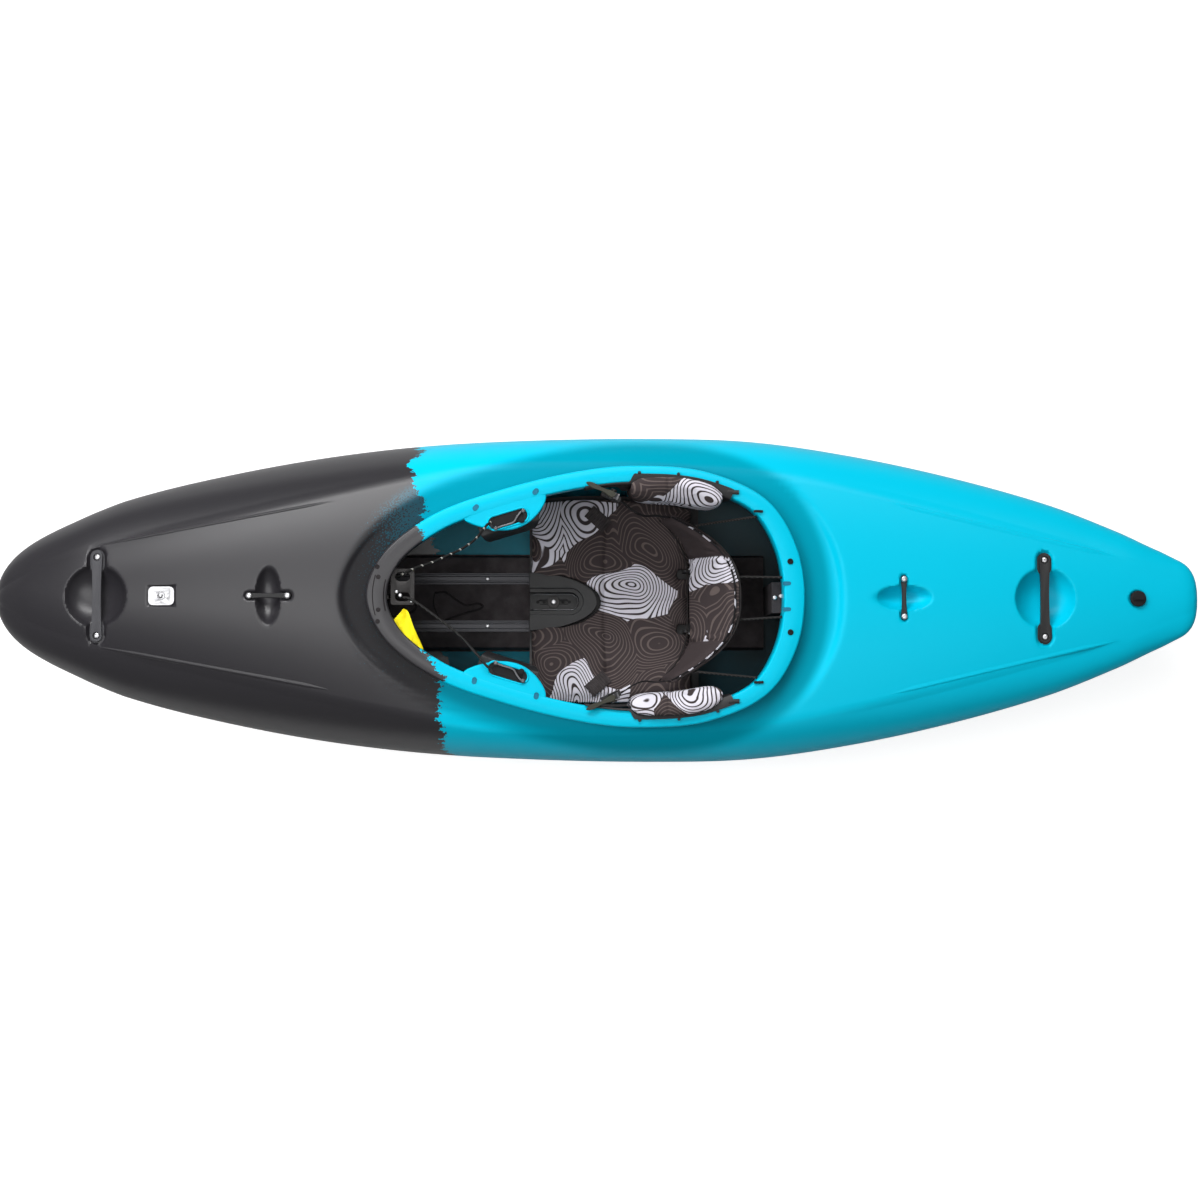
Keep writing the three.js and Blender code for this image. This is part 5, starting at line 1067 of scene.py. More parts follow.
def hull_finish():
    """The two-colour plastic of the hull and its rim, with painted shade in the groove and inner skin."""
    material, tree, shader, place = start_finish("hull_plastic", BLUE, ROUGHNESS["black"])
    axis = add(tree, "SeparateXYZ", links={0: place}).outputs
    broad = maths(tree, "SUBTRACT", noise(tree, place, 1.0, 3, (5, 13, 13)), 0.5)
    ragged = maths(tree, "SUBTRACT", noise(tree, place, 1.0, 3, (26, 85, 85)), 0.5)
    fray = maths(tree, "SUBTRACT", noise(tree, place, 260, 3), 0.5)
    at = maths(tree, "MULTIPLY_ADD", axis[1], COLOUR_SLANT, axis[0])
    for way, size in zip((broad, ragged, fray), WANDER.values()):
        at = maths(tree, "MULTIPLY_ADD", way, size, at)
    black = between(tree, at, COLOUR_LINE - 0.001, COLOUR_LINE + 0.001)
    groove = attribute(tree, "groove")
    thin = between(tree, axis[0], SPECKS[1], SPECKS[0])
    thin = maths(tree, "MULTIPLY", thin, between(tree, axis[1], 0.2, -0.1))
    grit = noise(tree, place, 330, 3)
    speck = between(tree, maths(tree, "MULTIPLY_ADD", thin, 0.34, grit), 0.66, 0.78)
    speck = maths(tree, "MULTIPLY", speck, groove)
    dark = blended(tree, speck, BLACK, SPECK)
    plain = blended(tree, black, BLUE, dark)
    # Painted shade: the groove beside the rim is darkened towards black.
    painted_shade_mask = attribute(tree, "shade")
    plain = blended(tree, maths(tree, "MULTIPLY", painted_shade_mask, PAINTED_GROOVE_SHADE), plain, (0.0, 0.0, 0.0))
    # Painted shade: the inner skin is darkened, more behind the seat than ahead of it.
    dim = between(tree, axis[0], INNER_DIM["from"], INNER_DIM["to"], False)
    inner = blended(tree, between_levels(tree, dim, INNER_DIM["behind"], INNER_DIM["ahead"]), plain, PAINTED_INNER_SHADE)
    tint(tree, shader, attribute(tree, "inside"), plain, inner)
    # The gloss is cut down where the painted shade lies.
    kept = maths(tree, "MULTIPLY_ADD", painted_shade_mask, -GLOSS["lost_in_groove"], 1.0)
    gloss = maths(tree, "MULTIPLY", between_levels(tree, black, GLOSS["blue"], GLOSS["black"]), kept)
    tree.links.new(gloss, shader.inputs["Specular IOR Level"])
    rough = between_levels(tree, black, ROUGHNESS["blue"], ROUGHNESS["black"])
    tree.links.new(rough, shader.inputs["Roughness"])
    raise_grain(tree, shader, noise(tree, place, 900, 1), 0.05, 0.5)
    return material


hull_plastic = hull_finish()
print("hull finish", len(hull_plastic.node_tree.nodes), "steps")

# %% [markdown]
# The printed cloth is a free design: patches of nested lines that lie over each other like worn
# tree rings, some bright and some dark. A Voronoi pattern gives the patches. Its distance to the
# middle of each patch, bent by noise, gives the rings, and a second random value per patch decides
# whether its lines are near white or only a shade lighter than the charcoal ground.

# %% Cloth, foam, plastics and metals
CHARCOAL = (0.042, 0.033, 0.034)
TAUPE = (0.105, 0.083, 0.078)
PALE = (0.60, 0.585, 0.65)
PATCH_SCALE = 8.5
RING_PITCH = 0.0068


def woven(tree, place, pitch):
    """The height of a plain weave, with threads along X and along Y."""
    axis = add(tree, "SeparateXYZ", links={0: place}).outputs
    turns = [maths(tree, "MULTIPLY", axis[k], 2 * math.pi / (pitch * MM)) for k in (0, 1)]
    along, across = (maths(tree, "SINE", turn) for turn in turns)
    return maths(tree, "MULTIPLY_ADD", maths(tree, "MULTIPLY", along, across), 0.5, 0.5)


def print_finish(name, bright_share, offset):
    """Charcoal cloth with a print of nested lines."""
    material, tree, shader, place = start_finish(name, CHARCOAL, 0.85, gloss=0.15)
    moved_place = add(tree, "Mapping", {"Location": offset}, links={"Vector": place}).outputs[0]
    bend = add(tree, "TexNoise", {"Scale": 5.5, "Detail": 1.0}, links={"Vector": moved_place})
    push = add(tree, "VectorMath", {1: (0.5, 0.5, 0.5)}, "SUBTRACT", {0: bend.outputs["Color"]}).outputs[0]
    push = add(tree, "VectorMath", {"Scale": 0.16}, "SCALE", {0: push}).outputs[0]
    spot = add(tree, "VectorMath", (), "ADD", {0: moved_place, 1: push}).outputs[0]
    flat = add(tree, "VectorMath", {1: (1, 1, 0.35)}, "MULTIPLY", {0: spot}).outputs[0]
    cells = add(tree, "TexVoronoi", {"Scale": PATCH_SCALE, "Randomness": 0.85}, links={"Vector": flat})
    chance = add(tree, "SeparateColor", links={0: cells.outputs["Color"]}).outputs
    rings = maths(tree, "MULTIPLY", cells.outputs["Distance"], 1 / (RING_PITCH * PATCH_SCALE))
    saw = maths(tree, "ABSOLUTE", maths(tree, "SUBTRACT", maths(tree, "FRACT", rings), 0.5))
    bright = between(tree, chance[0], 1 - bright_share, 1 - bright_share + 0.001)
    wide_line = between(tree, saw, 0.13, 0.21)
    slim_line = between(tree, saw, 0.34, 0.4)
    dark_patch = blended(tree, slim_line, CHARCOAL, TAUPE)
    pale_patch = blended(tree, wide_line, CHARCOAL, PALE)
    printed = blended(tree, bright, dark_patch, pale_patch)
    tint(tree, shader, attribute(tree, "plain"), printed, CHARCOAL)
    raise_grain(tree, shader, woven(tree, place, 1.1), 0.12, 0.5)
    return material


def cloth_finish(name, colour, pitch=1.1, rough=0.9):
    """Plain woven cloth with slight uneven wear."""
    material, tree, shader, place = start_finish(name, colour, rough, gloss=0.2)
    worn = between(tree, noise(tree, place, 60, 3), 0.3, 0.75)
    lighter = tuple(min(1.0, c * 1.35 + 0.004) for c in colour)
    tint(tree, shader, worn, colour, lighter)
    raise_grain(tree, shader, woven(tree, place, pitch), 0.15, 0.6)
    return material


def foam_finish(name, colour, cell=420):
    """Closed-cell foam: small pits and a chalky, slightly mottled skin."""
    material, tree, shader, place = start_finish(name, colour, 0.88, gloss=0.2)
    cloud = between(tree, noise(tree, place, 35, 4), 0.3, 0.75)
    lighter = tuple(c * 1.5 + 0.006 for c in colour)
    tint(tree, shader, cloud, colour, lighter)
    pits = add(tree, "TexVoronoi", {"Scale": cell}, links={"Vector": place}).outputs["Distance"]
    raise_grain(tree, shader, pits, 0.25, 0.6)
    return material


def plastic_finish(name, colour, rough=0.45, peel=1200, gloss=0.4):
    """Moulded plastic with a fine texture and slightly uneven gloss."""
    material, tree, shader, place = start_finish(name, colour, rough, gloss=gloss)
    level = between_levels(tree, noise(tree, place, 45, 3), rough - 0.07, rough + 0.1)
    tree.links.new(level, shader.inputs["Roughness"])
    raise_grain(tree, shader, noise(tree, place, peel, 2), 0.06, 0.6)
    return material


def metal_finish(name, colour, rough=0.25, grain=(60, 60, 2500)):
    """Metal with fine scratches along one way."""
    material, tree, shader, place = start_finish(name, colour, rough, metal=1.0)
    lines = noise(tree, place, 1.0, 2, grain)
    tree.links.new(between_levels(tree, lines, rough - 0.08, rough + 0.14), shader.inputs["Roughness"])
    raise_grain(tree, shader, lines, 0.03, 0.4)
    return material


def patched_finish(name, colour, patch, scale):
    """Dark piping with pale stretches where the print of its cloth runs over it."""
    material, tree, shader, place = start_finish(name, colour, 0.85, gloss=0.2)
    share = between(tree, noise(tree, place, scale, 1), 0.52, 0.55)
    tint(tree, shader, share, colour, patch)
    raise_grain(tree, shader, woven(tree, place, 1.1), 0.12, 0.5)
    return material


def cord_finish(name, colour, fleck, pitch, least=0.3):
    """Braided cord: slanting strands of two shades."""
    material, tree, shader, place = start_finish(name, colour, 0.8, gloss=0.2)
    axis = add(tree, "SeparateXYZ", links={0: place}).outputs
    lean = maths(tree, "ADD", maths(tree, "MULTIPLY_ADD", axis[1], 0.8, axis[0]), axis[2])
    wave = maths(tree, "SINE", maths(tree, "MULTIPLY", lean, 2 * math.pi / (pitch * MM)))
    share = between(tree, wave, least, least + 0.15)
    tint(tree, shader, share, colour, fleck)
    raise_grain(tree, shader, wave, 0.3, 0.7)
    return material


seat_print = print_finish("seat_print", 0.42, (0.03, 0.21, 0.4))
band_print = print_finish("band_print", 0.5, (0.31, -0.12, 0.1))
hip_print = print_finish("hip_print", 0.55, (-0.2, 0.47, -0.3))
dark_cloth = cloth_finish("dark_cloth", (0.016, 0.014, 0.015))
piping_cloth = cloth_finish("piping", (0.016, 0.014, 0.014), 0.9)
ribbed_cloth = cloth_finish("ribbed_cloth", (0.035, 0.03, 0.031), 4.6, 0.8)
webbing = cloth_finish("webbing", (0.014, 0.013, 0.014), 1.6, 0.75)
yellow_cloth = cloth_finish("yellow_cloth", (0.72, 0.6, 0.005), 0.8, 0.5)
black_foam = foam_finish("black_foam", (0.022, 0.02, 0.022))
floor_foam = foam_finish("floor_foam", (0.036, 0.031, 0.033))
black_plastic = plastic_finish("black_plastic", (0.014, 0.014, 0.015))
grey_plastic = plastic_finish("grey_plastic", (0.045, 0.045, 0.05), 0.5)
olive_plastic = plastic_finish("olive_plastic", (0.026, 0.026, 0.017), 0.45)
deep_blue = plastic_finish("deep_blue", (0.0, 0.13, 0.22), 0.5)
rubber = plastic_finish("rubber", (0.01, 0.01, 0.011), 0.7, 800, 0.25)
steel = metal_finish("steel", (0.72, 0.72, 0.74), 0.3)
dark_steel = metal_finish("dark_steel", (0.2, 0.2, 0.21), 0.38)
# Steel painted nearly black for parts that sit in shadow: painted shade.
painted_shade_steel = metal_finish("painted_shade_steel", (0.05, 0.048, 0.048), 0.45)
dark_rail = metal_finish("dark_rail", (0.06, 0.06, 0.065), 0.35, (4, 900, 900))
band_cord = patched_finish("band_cord", (0.012, 0.011, 0.012), (0.42, 0.41, 0.45), 60)
dark_cord = cord_finish("dark_cord", (0.012, 0.012, 0.012), (0.035, 0.034, 0.034), 3.2)
fleck_cord = cord_finish("fleck_cord", (0.01, 0.01, 0.01), (0.3, 0.3, 0.28), 24.0, 0.84)
print("finishes", len(bpy.data.materials))
# %% [markdown]
# The hull and its rim are one moulding on the real boat. Here they are two pieces that get the same
# finish and ride the hull body together.

# %% Hull and rim dressed
dress(outer, "hull", hull_plastic, "hull_shell", slot="hull_plastic")
keep(cockpit_rim, "inside", 0)
keep(cockpit_rim, "groove", 0)
dress(cockpit_rim, "hull", hull_plastic, "hull_shell", slot="hull_plastic")
print("hull and rim dressed")

# %% [markdown]
# A thin moulded step runs along the edge of the flat deck, straight in plan on all four quarters. It
# could be a bump in the finish, but then no mesh would hold it. Here a low wedge is carried along
# the deck's own height, with its steep side outwards (inwards on the bow's starboard side), and it
# sinks into the deck at both ends.

# %% Deck steps
STEPS = {"bow": [(1006, 101), (520, 191)], "stern": [(-560, 202), (-1063, 84)]}
WEDGE = [(4.4, -4), (4.2, -1.3), (0.7, 1.25), (-1.2, 1.6), (-10, 0.8), (-24, -0.7), (-24, -4)]
THIN_WEDGE = WEDGE[:4] + [(-3, 0.3), (-5.5, -2.5), (-5.5, -6)]
STEP_PARTS = 160
STEP_SINK = 2
SINK_ENDS = 7


def deck_step(name, ends, side):
    """A wedge along a straight line in plan, at the skin's height, low at both ends."""
    flat = np.linspace(ends[0], ends[1], STEP_PARTS)
    x, y = flat[:, 0], side * flat[:, 1]
    top = pressed(x, np.abs(y), deck_height(x, np.abs(y)))[0]
    u = np.linspace(0, 1, STEP_PARTS)
    sink = STEP_SINK * (1 - np.minimum(1, SINK_ENDS * np.minimum(u, 1 - u)))
    section = np.array(WEDGE if side > 0 or "stern" in name else THIN_WEDGE, float)
    if side < 0 and "stern" in name:
        section = (section * [-1, 1])[::-1]
    wedge = make_tube(name, carried(np.stack([x, y, top - sink], -1), section), 50)
    return dress(wedge, "hull", hull_plastic, slot="hull_plastic")


for end, ends in STEPS.items():
    for side, hand in SIDES:
        deck_step(f"deck_step_{end}_{hand}", ends, side)
print("deck steps", 2 * len(STEPS))

# %% [markdown]
# What bolts to the deck comes next. A carrying handle is a flat bar with round ends and a slim waist,
# so that a hand closes round it, and its bolts sit in wells so that no head can scratch a knuckle.

# %% Handles and tow bars
WELL_DEPTH = 4.6
WELL_RADIUS = 7.3
GAP = 0.3
FOOT = {"length": 46, "width": 29, "inward": 8, "low": -6, "high": 1.5}


def at(x=0.0, y=0.0, z=0.0, heading=0.0):
    """A matrix that turns a shape about Z and then moves it."""
    return shift(x, y, z) @ spin(heading)


def bolt(name, matrix, radius, height, socket=0.5, sides=6):
    """A domed bolt head with a socket for a key, standing on its own origin."""
    edge = [(radius, 0), (radius, height * 0.45)]
    dome = [(radius * math.cos(a), height * (0.45 + 0.55 * math.sin(a))) for a in np.radians([25, 50, 75])]
    profile = [(radius * 0.9, -0.2)] + edge + dome + [(0.02, height)]
    head = make_tube(name, moved(spun(profile, 40), matrix), sharp=35)
    if socket:
        well = pulled(circle(radius * socket, sides), height * 0.35, height + 2)
        cut(head, make_tube("well", moved(well, matrix), sharp=10))
    return soften(head, 0.25, 2, 40)


def bar(name, matrix, size, sunk):
    """A bar with round ends, two wells for its bolts and rounded edges."""
    outline = bar_outline(size["length"], size["width"], size["waist"], 16)
    body = make_tube(name, moved(pulled(outline, 0, size["thick"]), matrix))
    feet = []
    for way in (1, -1) if sunk else ():
        foot = pulled(bar_outline(FOOT["length"], FOOT["width"]), FOOT["low"], FOOT["high"])
        foot = moved(foot, matrix @ shift(way * (size["span"] / 2 - FOOT["inward"])))
        feet.append(soften(make_tube("foot", foot), 1.5, 3, 40))
        well = spun([(WELL_RADIUS, size["thick"] - WELL_DEPTH), (WELL_RADIUS, size["thick"] + 4)], 36)
        cut(body, make_tube("well", moved(well, matrix @ shift(way * size["span"] / 2))))
    return weld(name, [soften(body, 1.6, 4, 40)] + feet)


SIDEWAYS = math.pi / 2
HANDLES = [
    ("bow_handle", GRAB, at(PLACES["bow_grab"], 0, 311, SIDEWAYS), "bow_grab_handle"),
    ("stern_handle", GRAB, at(PLACES["stern_grab"], 0, 217.4, SIDEWAYS), "stern_grab_handle"),
    ("bow_tow", TOW, at(PLACES["bow_tow"], 0, 344.1), "bow_tow_bar"),
    ("stern_tow", TOW, at(PLACES["stern_tow"], 0, 250.2, SIDEWAYS), "stern_tow_bar"),
]
for name, size, matrix, node in HANDLES:
    sunk = size is GRAB
    finish = grey_plastic if name == "bow_handle" else black_plastic
    dress(bar(f"{name}_bar", matrix, size, sunk), "hull", finish, node)
    foot = size["thick"] + GAP - (WELL_DEPTH if sunk else 0)
    for way, end in zip((1, -1), ("front", "rear") if name == "bow_tow" else ("port", "starboard")):
        head = bolt(f"{name}_bolt_{end}", matrix @ shift(way * size["span"] / 2, 0, foot), 6.3, 3.9, 0.48)
        dress(head, "hull", steel, f"{name}_bolt_{end}", slot="bright_steel")
print("handles and bars", len(HANDLES))

# %% [markdown]
# The camera mount is a stainless plate with a threaded post. The thread is turned as a row of small
# ridges on the spun profile, close enough to a true helix at this size. The drain plug is a
# rubber-faced knob with a bar to turn it by.

# %% Camera mount and drain plug
CAMERA_LOW = 337.4
CAMERA_TOP = 340.4
STUD_TOP = 352.7
PLATE_SLOTS = ((862, 0, 9, 0.9), (888, -7, 7, 0), (882, 12, 12, 0.1), (866, -13, 14, 0))
camera_place, drain_place = at(PLACES["camera"]), at(PLACES["drain"])
plate = pulled(rounded_box(CAMERA["length"], CAMERA["width"], CAMERA["corner"], 12), CAMERA_LOW, CAMERA_TOP)
plate = make_tube("camera_plate", moved(plate, camera_place))
for x, y, length, heading in PLATE_SLOTS:
    slot = pulled(bar_outline(length, 3.2), CAMERA_TOP - 1.4, CAMERA_TOP + 3)
    cut(plate, make_tube("slot", moved(slot, at(x, y, 0, heading))))
dress(soften(plate, 0.8, 3), "hull", steel, "camera_mount_plate", slot="bright_steel")
ridge = np.arange(16)
thread = np.stack([np.where(ridge % 2, 4.5, 3.8), CAMERA_TOP + 3.4 + ridge * 0.52], -1)
collar = [(r, CAMERA_TOP + up) for r, up in ((7.8, 0.1), (8, 0.8), (8, 2.4), (7.2, 3), (4.4, 3.1))]
post = np.concatenate([collar, thread, [(3.6, STUD_TOP - 0.3), (2.9, STUD_TOP), (0.02, STUD_TOP)]])
post = make_tube("camera_post", moved(spun(post, 40), camera_place), 30)
dress(post, "hull", steel, "camera_mount_stud", slot="bright_steel")
ring = spun([(9, 209.2), (13, 209.2), (13.4, 210), (13.4, 211), (13, 211.6), (9, 211.6)], 48)
ring = make_tube("drain_ring", moved(ring, drain_place))
dress(ring, "hull", rubber, "drain_washer", slot="seal_rubber")
knob = [(6.8, 193), (7, 211.9), (15.2, 211.9), (16, 212.8), (16, 217.6), (15.4, 219.2), (13.6, 219.9),
        (11, 219.6), (9, 219.9), (0.02, 220)]
turner = make_tube("drain_grip", moved(pulled(bar_outline(21, 5, 4), 219, 225.8), drain_place))
knob = make_tube("drain_knob", moved(spun(knob, 56), drain_place), 30)
dress(weld("drain_knob", [knob, soften(turner, 0.9, 3)]), "drain_plug", rubber, "drain_plug")
print("camera post ridges", len(ridge) // 2)

# %% [markdown]
# Small things on the rim: four oval buttons that plug the mould's pins, two oval notches and two
# black bolts at the rear, and at the front two pairs of holes with pressed lines between them. The
# notches, holes and lines are drawn as thin raised pieces whose dark colour is painted shade.
# Each is set in the rim's own frame, so it lies flat on the lip however the rim is pitched.

# %% Marks on the rim
BUTTONS = [(250, -175, 2.85), (131, -208, 2.87), (252, 169, -2.85), (129, 199, -2.87)]
BUTTON_TURN = 1.1
NOTCHES = [(-375, -27), (-375, 25)]
FRONT_HOLES = [(444, -56), (442, -36), (442, 29), (443, 52)]


def rim_place(x, y, h, heading=0.0):
    """A matrix for a small shape that lies on the rim, some way above its lip."""
    return rim_frame @ shift(x - RIM_FORWARD, y, h) @ spin(heading)


def lip_crown(x, y):
    """How high the lip's crowned top stands at a point."""
    outside = float(outside_rim(np.array([[float(x)]]), np.array([[float(y)]]))[0][0, 0])
    share = np.clip(-outside / LIP_SIDE, 0.05, 0.95)
    return LIP["crown"] * (1 - (2 * share - 1) ** 2)


marks = []
for k, (x, y, heading) in enumerate(BUTTONS):
    high = lip_crown(x, y)
    border = ring_on(outline_path(bar_outline(13, 8), 0), circle(0.8, 8))
    border = moved(border, rim_place(x, y, high, heading + BUTTON_TURN))
    marks.append(make_loop(f"button_rim_{k}", border, sharp=0))
    centre = pulled(bar_outline(12, 7), high - 1, high + 0.35)
    marks.append(make_tube(f"button_{k}", moved(centre, rim_place(x, y, 0, heading + BUTTON_TURN))))
# The notches are raised ovals whose deep blue stands for the recess: painted shade.
for k, (x, y) in enumerate(NOTCHES):
    notch = pulled(bar_outline(17, 8), -1, lip_crown(x, y) + 1)
    marks.append(make_tube(f"notch_{k}", moved(notch, rim_place(x, y, 0))))
dress(weld("rim_buttons", marks), "hull", deep_blue, "hull_shell", slot="hull_plastic")
holes = []
# The front holes and pressed lines are raised pieces in dark cloth: painted shade.
for k, (x, y) in enumerate(FRONT_HOLES):
    hole = spun([(4.6, -1), (4.6, lip_crown(x, y) + 0.3), (3.4, lip_crown(x, y) + 0.1)], 28)
    holes.append(make_tube(f"hole_{k}", moved(hole, rim_place(x, y, 0))))
middle = np.linspace(-0.02, 0.02, 25)
for out_way, wide in ((31, 0.9), (9, 1.1)):
    line = beside_rim(middle, out_way - 2.5 * np.cos(middle * 55), 1.5)
    holes.append(make_tube("pressed_line", carried(line, circle(wide, 8)), 0))
dress(weld("rim_front_holes", holes), "hull", dark_cloth, "hull_shell", slot="hull_plastic")
for _, name in SIDES:
    low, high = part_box(f"rim_bolt_{name}")
    middle_x, middle_y = [(low[k] + high[k]) / 2 / MM for k in (0, 1)]
    head = bolt(f"rim_screw_{name}", rim_place(middle_x - 0.5, middle_y, LIP["crown"] + GAP), 6, 2.5, 0.45)
    dress(head, "hull", rubber, f"rim_bolt_{name}")
print("marks on the rim", len(marks) + len(holes))
# %% [markdown]
# Inside the cockpit, the floor is a foam beam with two slotted rails on it, and a thin foam sheet
# lies on the hull at either side. The seat slides on the rails and so does the footrest. The foam
# pillars hold the deck up. The nodes of pillars and beam are right as they are, so they only get a
# foam finish.

# %% Pillars, floor and rails
BEAM_TOP = 40
PILLAR_SCREWS = ((-351, 0, 261.2), (-364, -3, 260.1))
RAIL_SCREWS = (240, 470, 690)
RAIL = {"rear": -250, "front": 716, "offset": 50, "width": 24, "top": 46.3, "groove": 9, "floor": 43.3}
RAIL_LIP = {"near": 0.8, "far": 3.6, "end": 4.4, "deep": 0.8}
for node, foam in (("bow_pillar", black_foam), ("stern_pillar", black_foam), ("floor_beam", floor_foam)):
    paint(bpy.data.objects[node], foam)
half = RAIL["width"] / 2
slot = RAIL["groove"] / 2
base = BEAM_TOP + GAP
lip_floor = RAIL["top"] - RAIL_LIP["deep"]
right_half = np.array([
    (half, base), (half, RAIL["top"]), (slot + RAIL_LIP["end"], RAIL["top"]),
    (slot + RAIL_LIP["far"], lip_floor), (slot + RAIL_LIP["near"], lip_floor),
    (slot, RAIL["top"]), (slot, RAIL["floor"]),
])
rail_section = np.concatenate([right_half, right_half[::-1] * [-1, 1]])
rail_ends = [np.insert(rail_section, 0, x, axis=1) for x in (RAIL["rear"], RAIL["front"])]
for side, name in SIDES:
    offset = side * RAIL["offset"]
    rail = make_tube(f"rail_{name}", np.stack(rail_ends) + [0, offset, 0], 20)
    dress(soften(rail, 0.45, 2, 30), "hull", dark_rail, f"foot_rail_{name}", slot="dark_rail")
    for k, x in enumerate(RAIL_SCREWS):
        screw = bolt(f"rail_screw_{name}_{k}", shift(x, offset, RAIL["floor"] - 0.2), 3.4, 1.8, 0.5)
        dress(screw, "hull", steel, f"foot_rail_{name}", slot="bright_steel")


def floor_curve(points, wide):
    """A slim raised line on the floor through a few places."""
    path = smooth_path([(x, y, BEAM_TOP + GAP) for x, y in points], 60)
    section = circle(1.0, 8) * [wide, 0.8]
    return make_tube("floor_line", carried(path, section), 0)


floor_lines = [
    floor_curve([(352, -20), (330, -22), (310, -8), (285, 6), (262, 2), (250, 8), (262, 16), (292, 24),
                 (330, 38)], 2.2),
    floor_curve([(470, -14), (440, -16), (410, -8), (392, 8), (404, 22), (436, 30), (468, 30)], 2.2),
    floor_curve([(352, -20), (354, 6), (340, 38)], 1.2),
]
dress(weld("floor_lines", floor_lines), "hull", dark_cloth, slot="hard_foam")
SHEET = {"rear": 60, "front": 560, "inner": 66, "outer": 103, "low": 0.6, "high": 6}
SHEET_NARROWS = {"by": 30, "from": 400, "over": 160}


def floor_height(x, y):
    """Height of the hull's inner floor."""
    at = station(x, WALL)
    return mix(at["keel"], at["chine_top"], (np.abs(y) / at["chine"]) ** 3)


for side, name in SIDES:
    u, v = np.meshgrid(np.linspace(0, 1, 60), np.linspace(0, 1, 12), indexing="ij")
    x = mix(SHEET["rear"], SHEET["front"], u)
    narrow = SHEET_NARROWS["by"] * np.clip((x - SHEET_NARROWS["from"]) / SHEET_NARROWS["over"], 0, 1)
    y = side * mix(SHEET["inner"], SHEET["outer"] - narrow, v)
    low = np.stack([x, y, floor_height(x, y) + SHEET["low"]], -1)
    sheet = make_slab(f"floor_sheet_{name}", low + [0, 0, SHEET["high"]], low)
    dress(soften(sheet, 1, 2, 50), "hull", floor_foam, slot="hard_foam")
for k, (x, y, top) in enumerate(PILLAR_SCREWS):
    dress(bolt(f"pillar_screw_{k}", shift(x, y, top), 4.6, 3, 0.45), "hull", steel, slot="bright_steel")
print("rails", 2, "floor lines", len(floor_lines))

# %% [markdown]
# The seat is a shallow moulded pan whose sides rise as the cube of the distance from its middle. Its
# front carries the pommel, a rounded block between the thighs with a channel in it, where one bolt
# clamps the seat to the floor beam.

# %% Seat pan and pommel
SEAT_BASE = 46.6
SEAT = {"rear": -205, "front": 150, "half": 222, "thick": 5, "side_rise": 45, "front_rise": 14}
POMMEL = {"length": 146, "half": 62, "tip": 20, "height": 42, "floor": 12}
POMMEL |= {"channel": 38, "channel_length": 104}
PIVOT = {"x": -186, "z": 90, "offset": 60, "ear": 6, "gap": 0.6}
EAR_MIDDLE = 74.5
CLAMP_PLACE = 100
DIMPLES = (66, 80, 120, 134)


def pan_height(x, y):
    """The pan rises at its sides as the cube of y, and a little more towards its front corners."""
    across = np.abs(y) / SEAT["half"]
    ahead = np.clip((x - SEAT["rear"]) / (SEAT["front"] - SEAT["rear"]), 0, 1)
    return SEAT["side_rise"] * across**3 + SEAT["front_rise"] * ahead**2 * across


def pan_points(u, v, area, lift):
    """Points over the pan at shares u along and v across some area, raised by a lift."""
    x = mix(area[0], area[1], u)
    narrow = 1 - 0.1 * (1 - u) ** 4 - 0.06 * u**6
    y = (2 * v - 1) * area[2] * narrow
    return np.stack([x, y, SEAT_BASE + pan_height(x, y) + lift], -1)


def shares(count, crowd=0.0):
    """Shares from nought to one, on demand closer together towards both ends."""
    t = np.linspace(0, 1, count)
    return t - crowd * np.sin(2 * np.pi * t) / (2 * np.pi)


def curve_through(a, b, c, count=10):
    """A quadratic curve from a to c that leans towards b, without its last point."""
    t = np.linspace(0, 1, count, endpoint=False)[:, None]
    return bent(np.array(a), np.array(b), np.array(c), t)


def pommel_outline(grow, front):
    """The pommel seen from above, on demand grown on every side."""
    rear, end = SEAT["front"] - POMMEL["length"], front
    tip, wide = POMMEL["tip"] + grow, POMMEL["half"] + grow
    shoulder, slim = mix(rear, SEAT["front"], 0.55), wide * 0.86
    near_tip, far_tip = [(rear + tip * 0.4 - grow, side * tip * 0.7) for side in (1, -1)]
    return np.concatenate([
        np.linspace((end, wide), (shoulder, slim), 8, endpoint=False),
        curve_through((shoulder, slim), (rear + tip, wide * 0.6), near_tip, 12),
        curve_through(near_tip, (rear - grow, 0), far_tip, 12),
        curve_through(far_tip, (rear + tip, -wide * 0.6), (shoulder, -slim), 12),
        np.linspace((shoulder, -slim), (end, -wide), 9),
    ])


u, v = np.meshgrid(shares(60), shares(90), indexing="ij")
whole = (SEAT["rear"], SEAT["front"], SEAT["half"])
pan = make_slab("seat_pan_shell", pan_points(u, v, whole, SEAT["thick"]), pan_points(u, v, whole, 0))
dress(pan, "seat", black_plastic, "seat_pan")
floor, top = SEAT_BASE + POMMEL["floor"], SEAT_BASE + POMMEL["height"]
block = make_tube("pommel", pulled(pommel_outline(0, SEAT["front"]), SEAT_BASE + 0.2, top))


def channel_outline(grow):
    """The channel seen from above, grown on every side. Its front half lies off the pommel."""
    return bar_outline(2 * (POMMEL["channel_length"] + grow), POMMEL["channel"] + 2 * grow, None, 24)


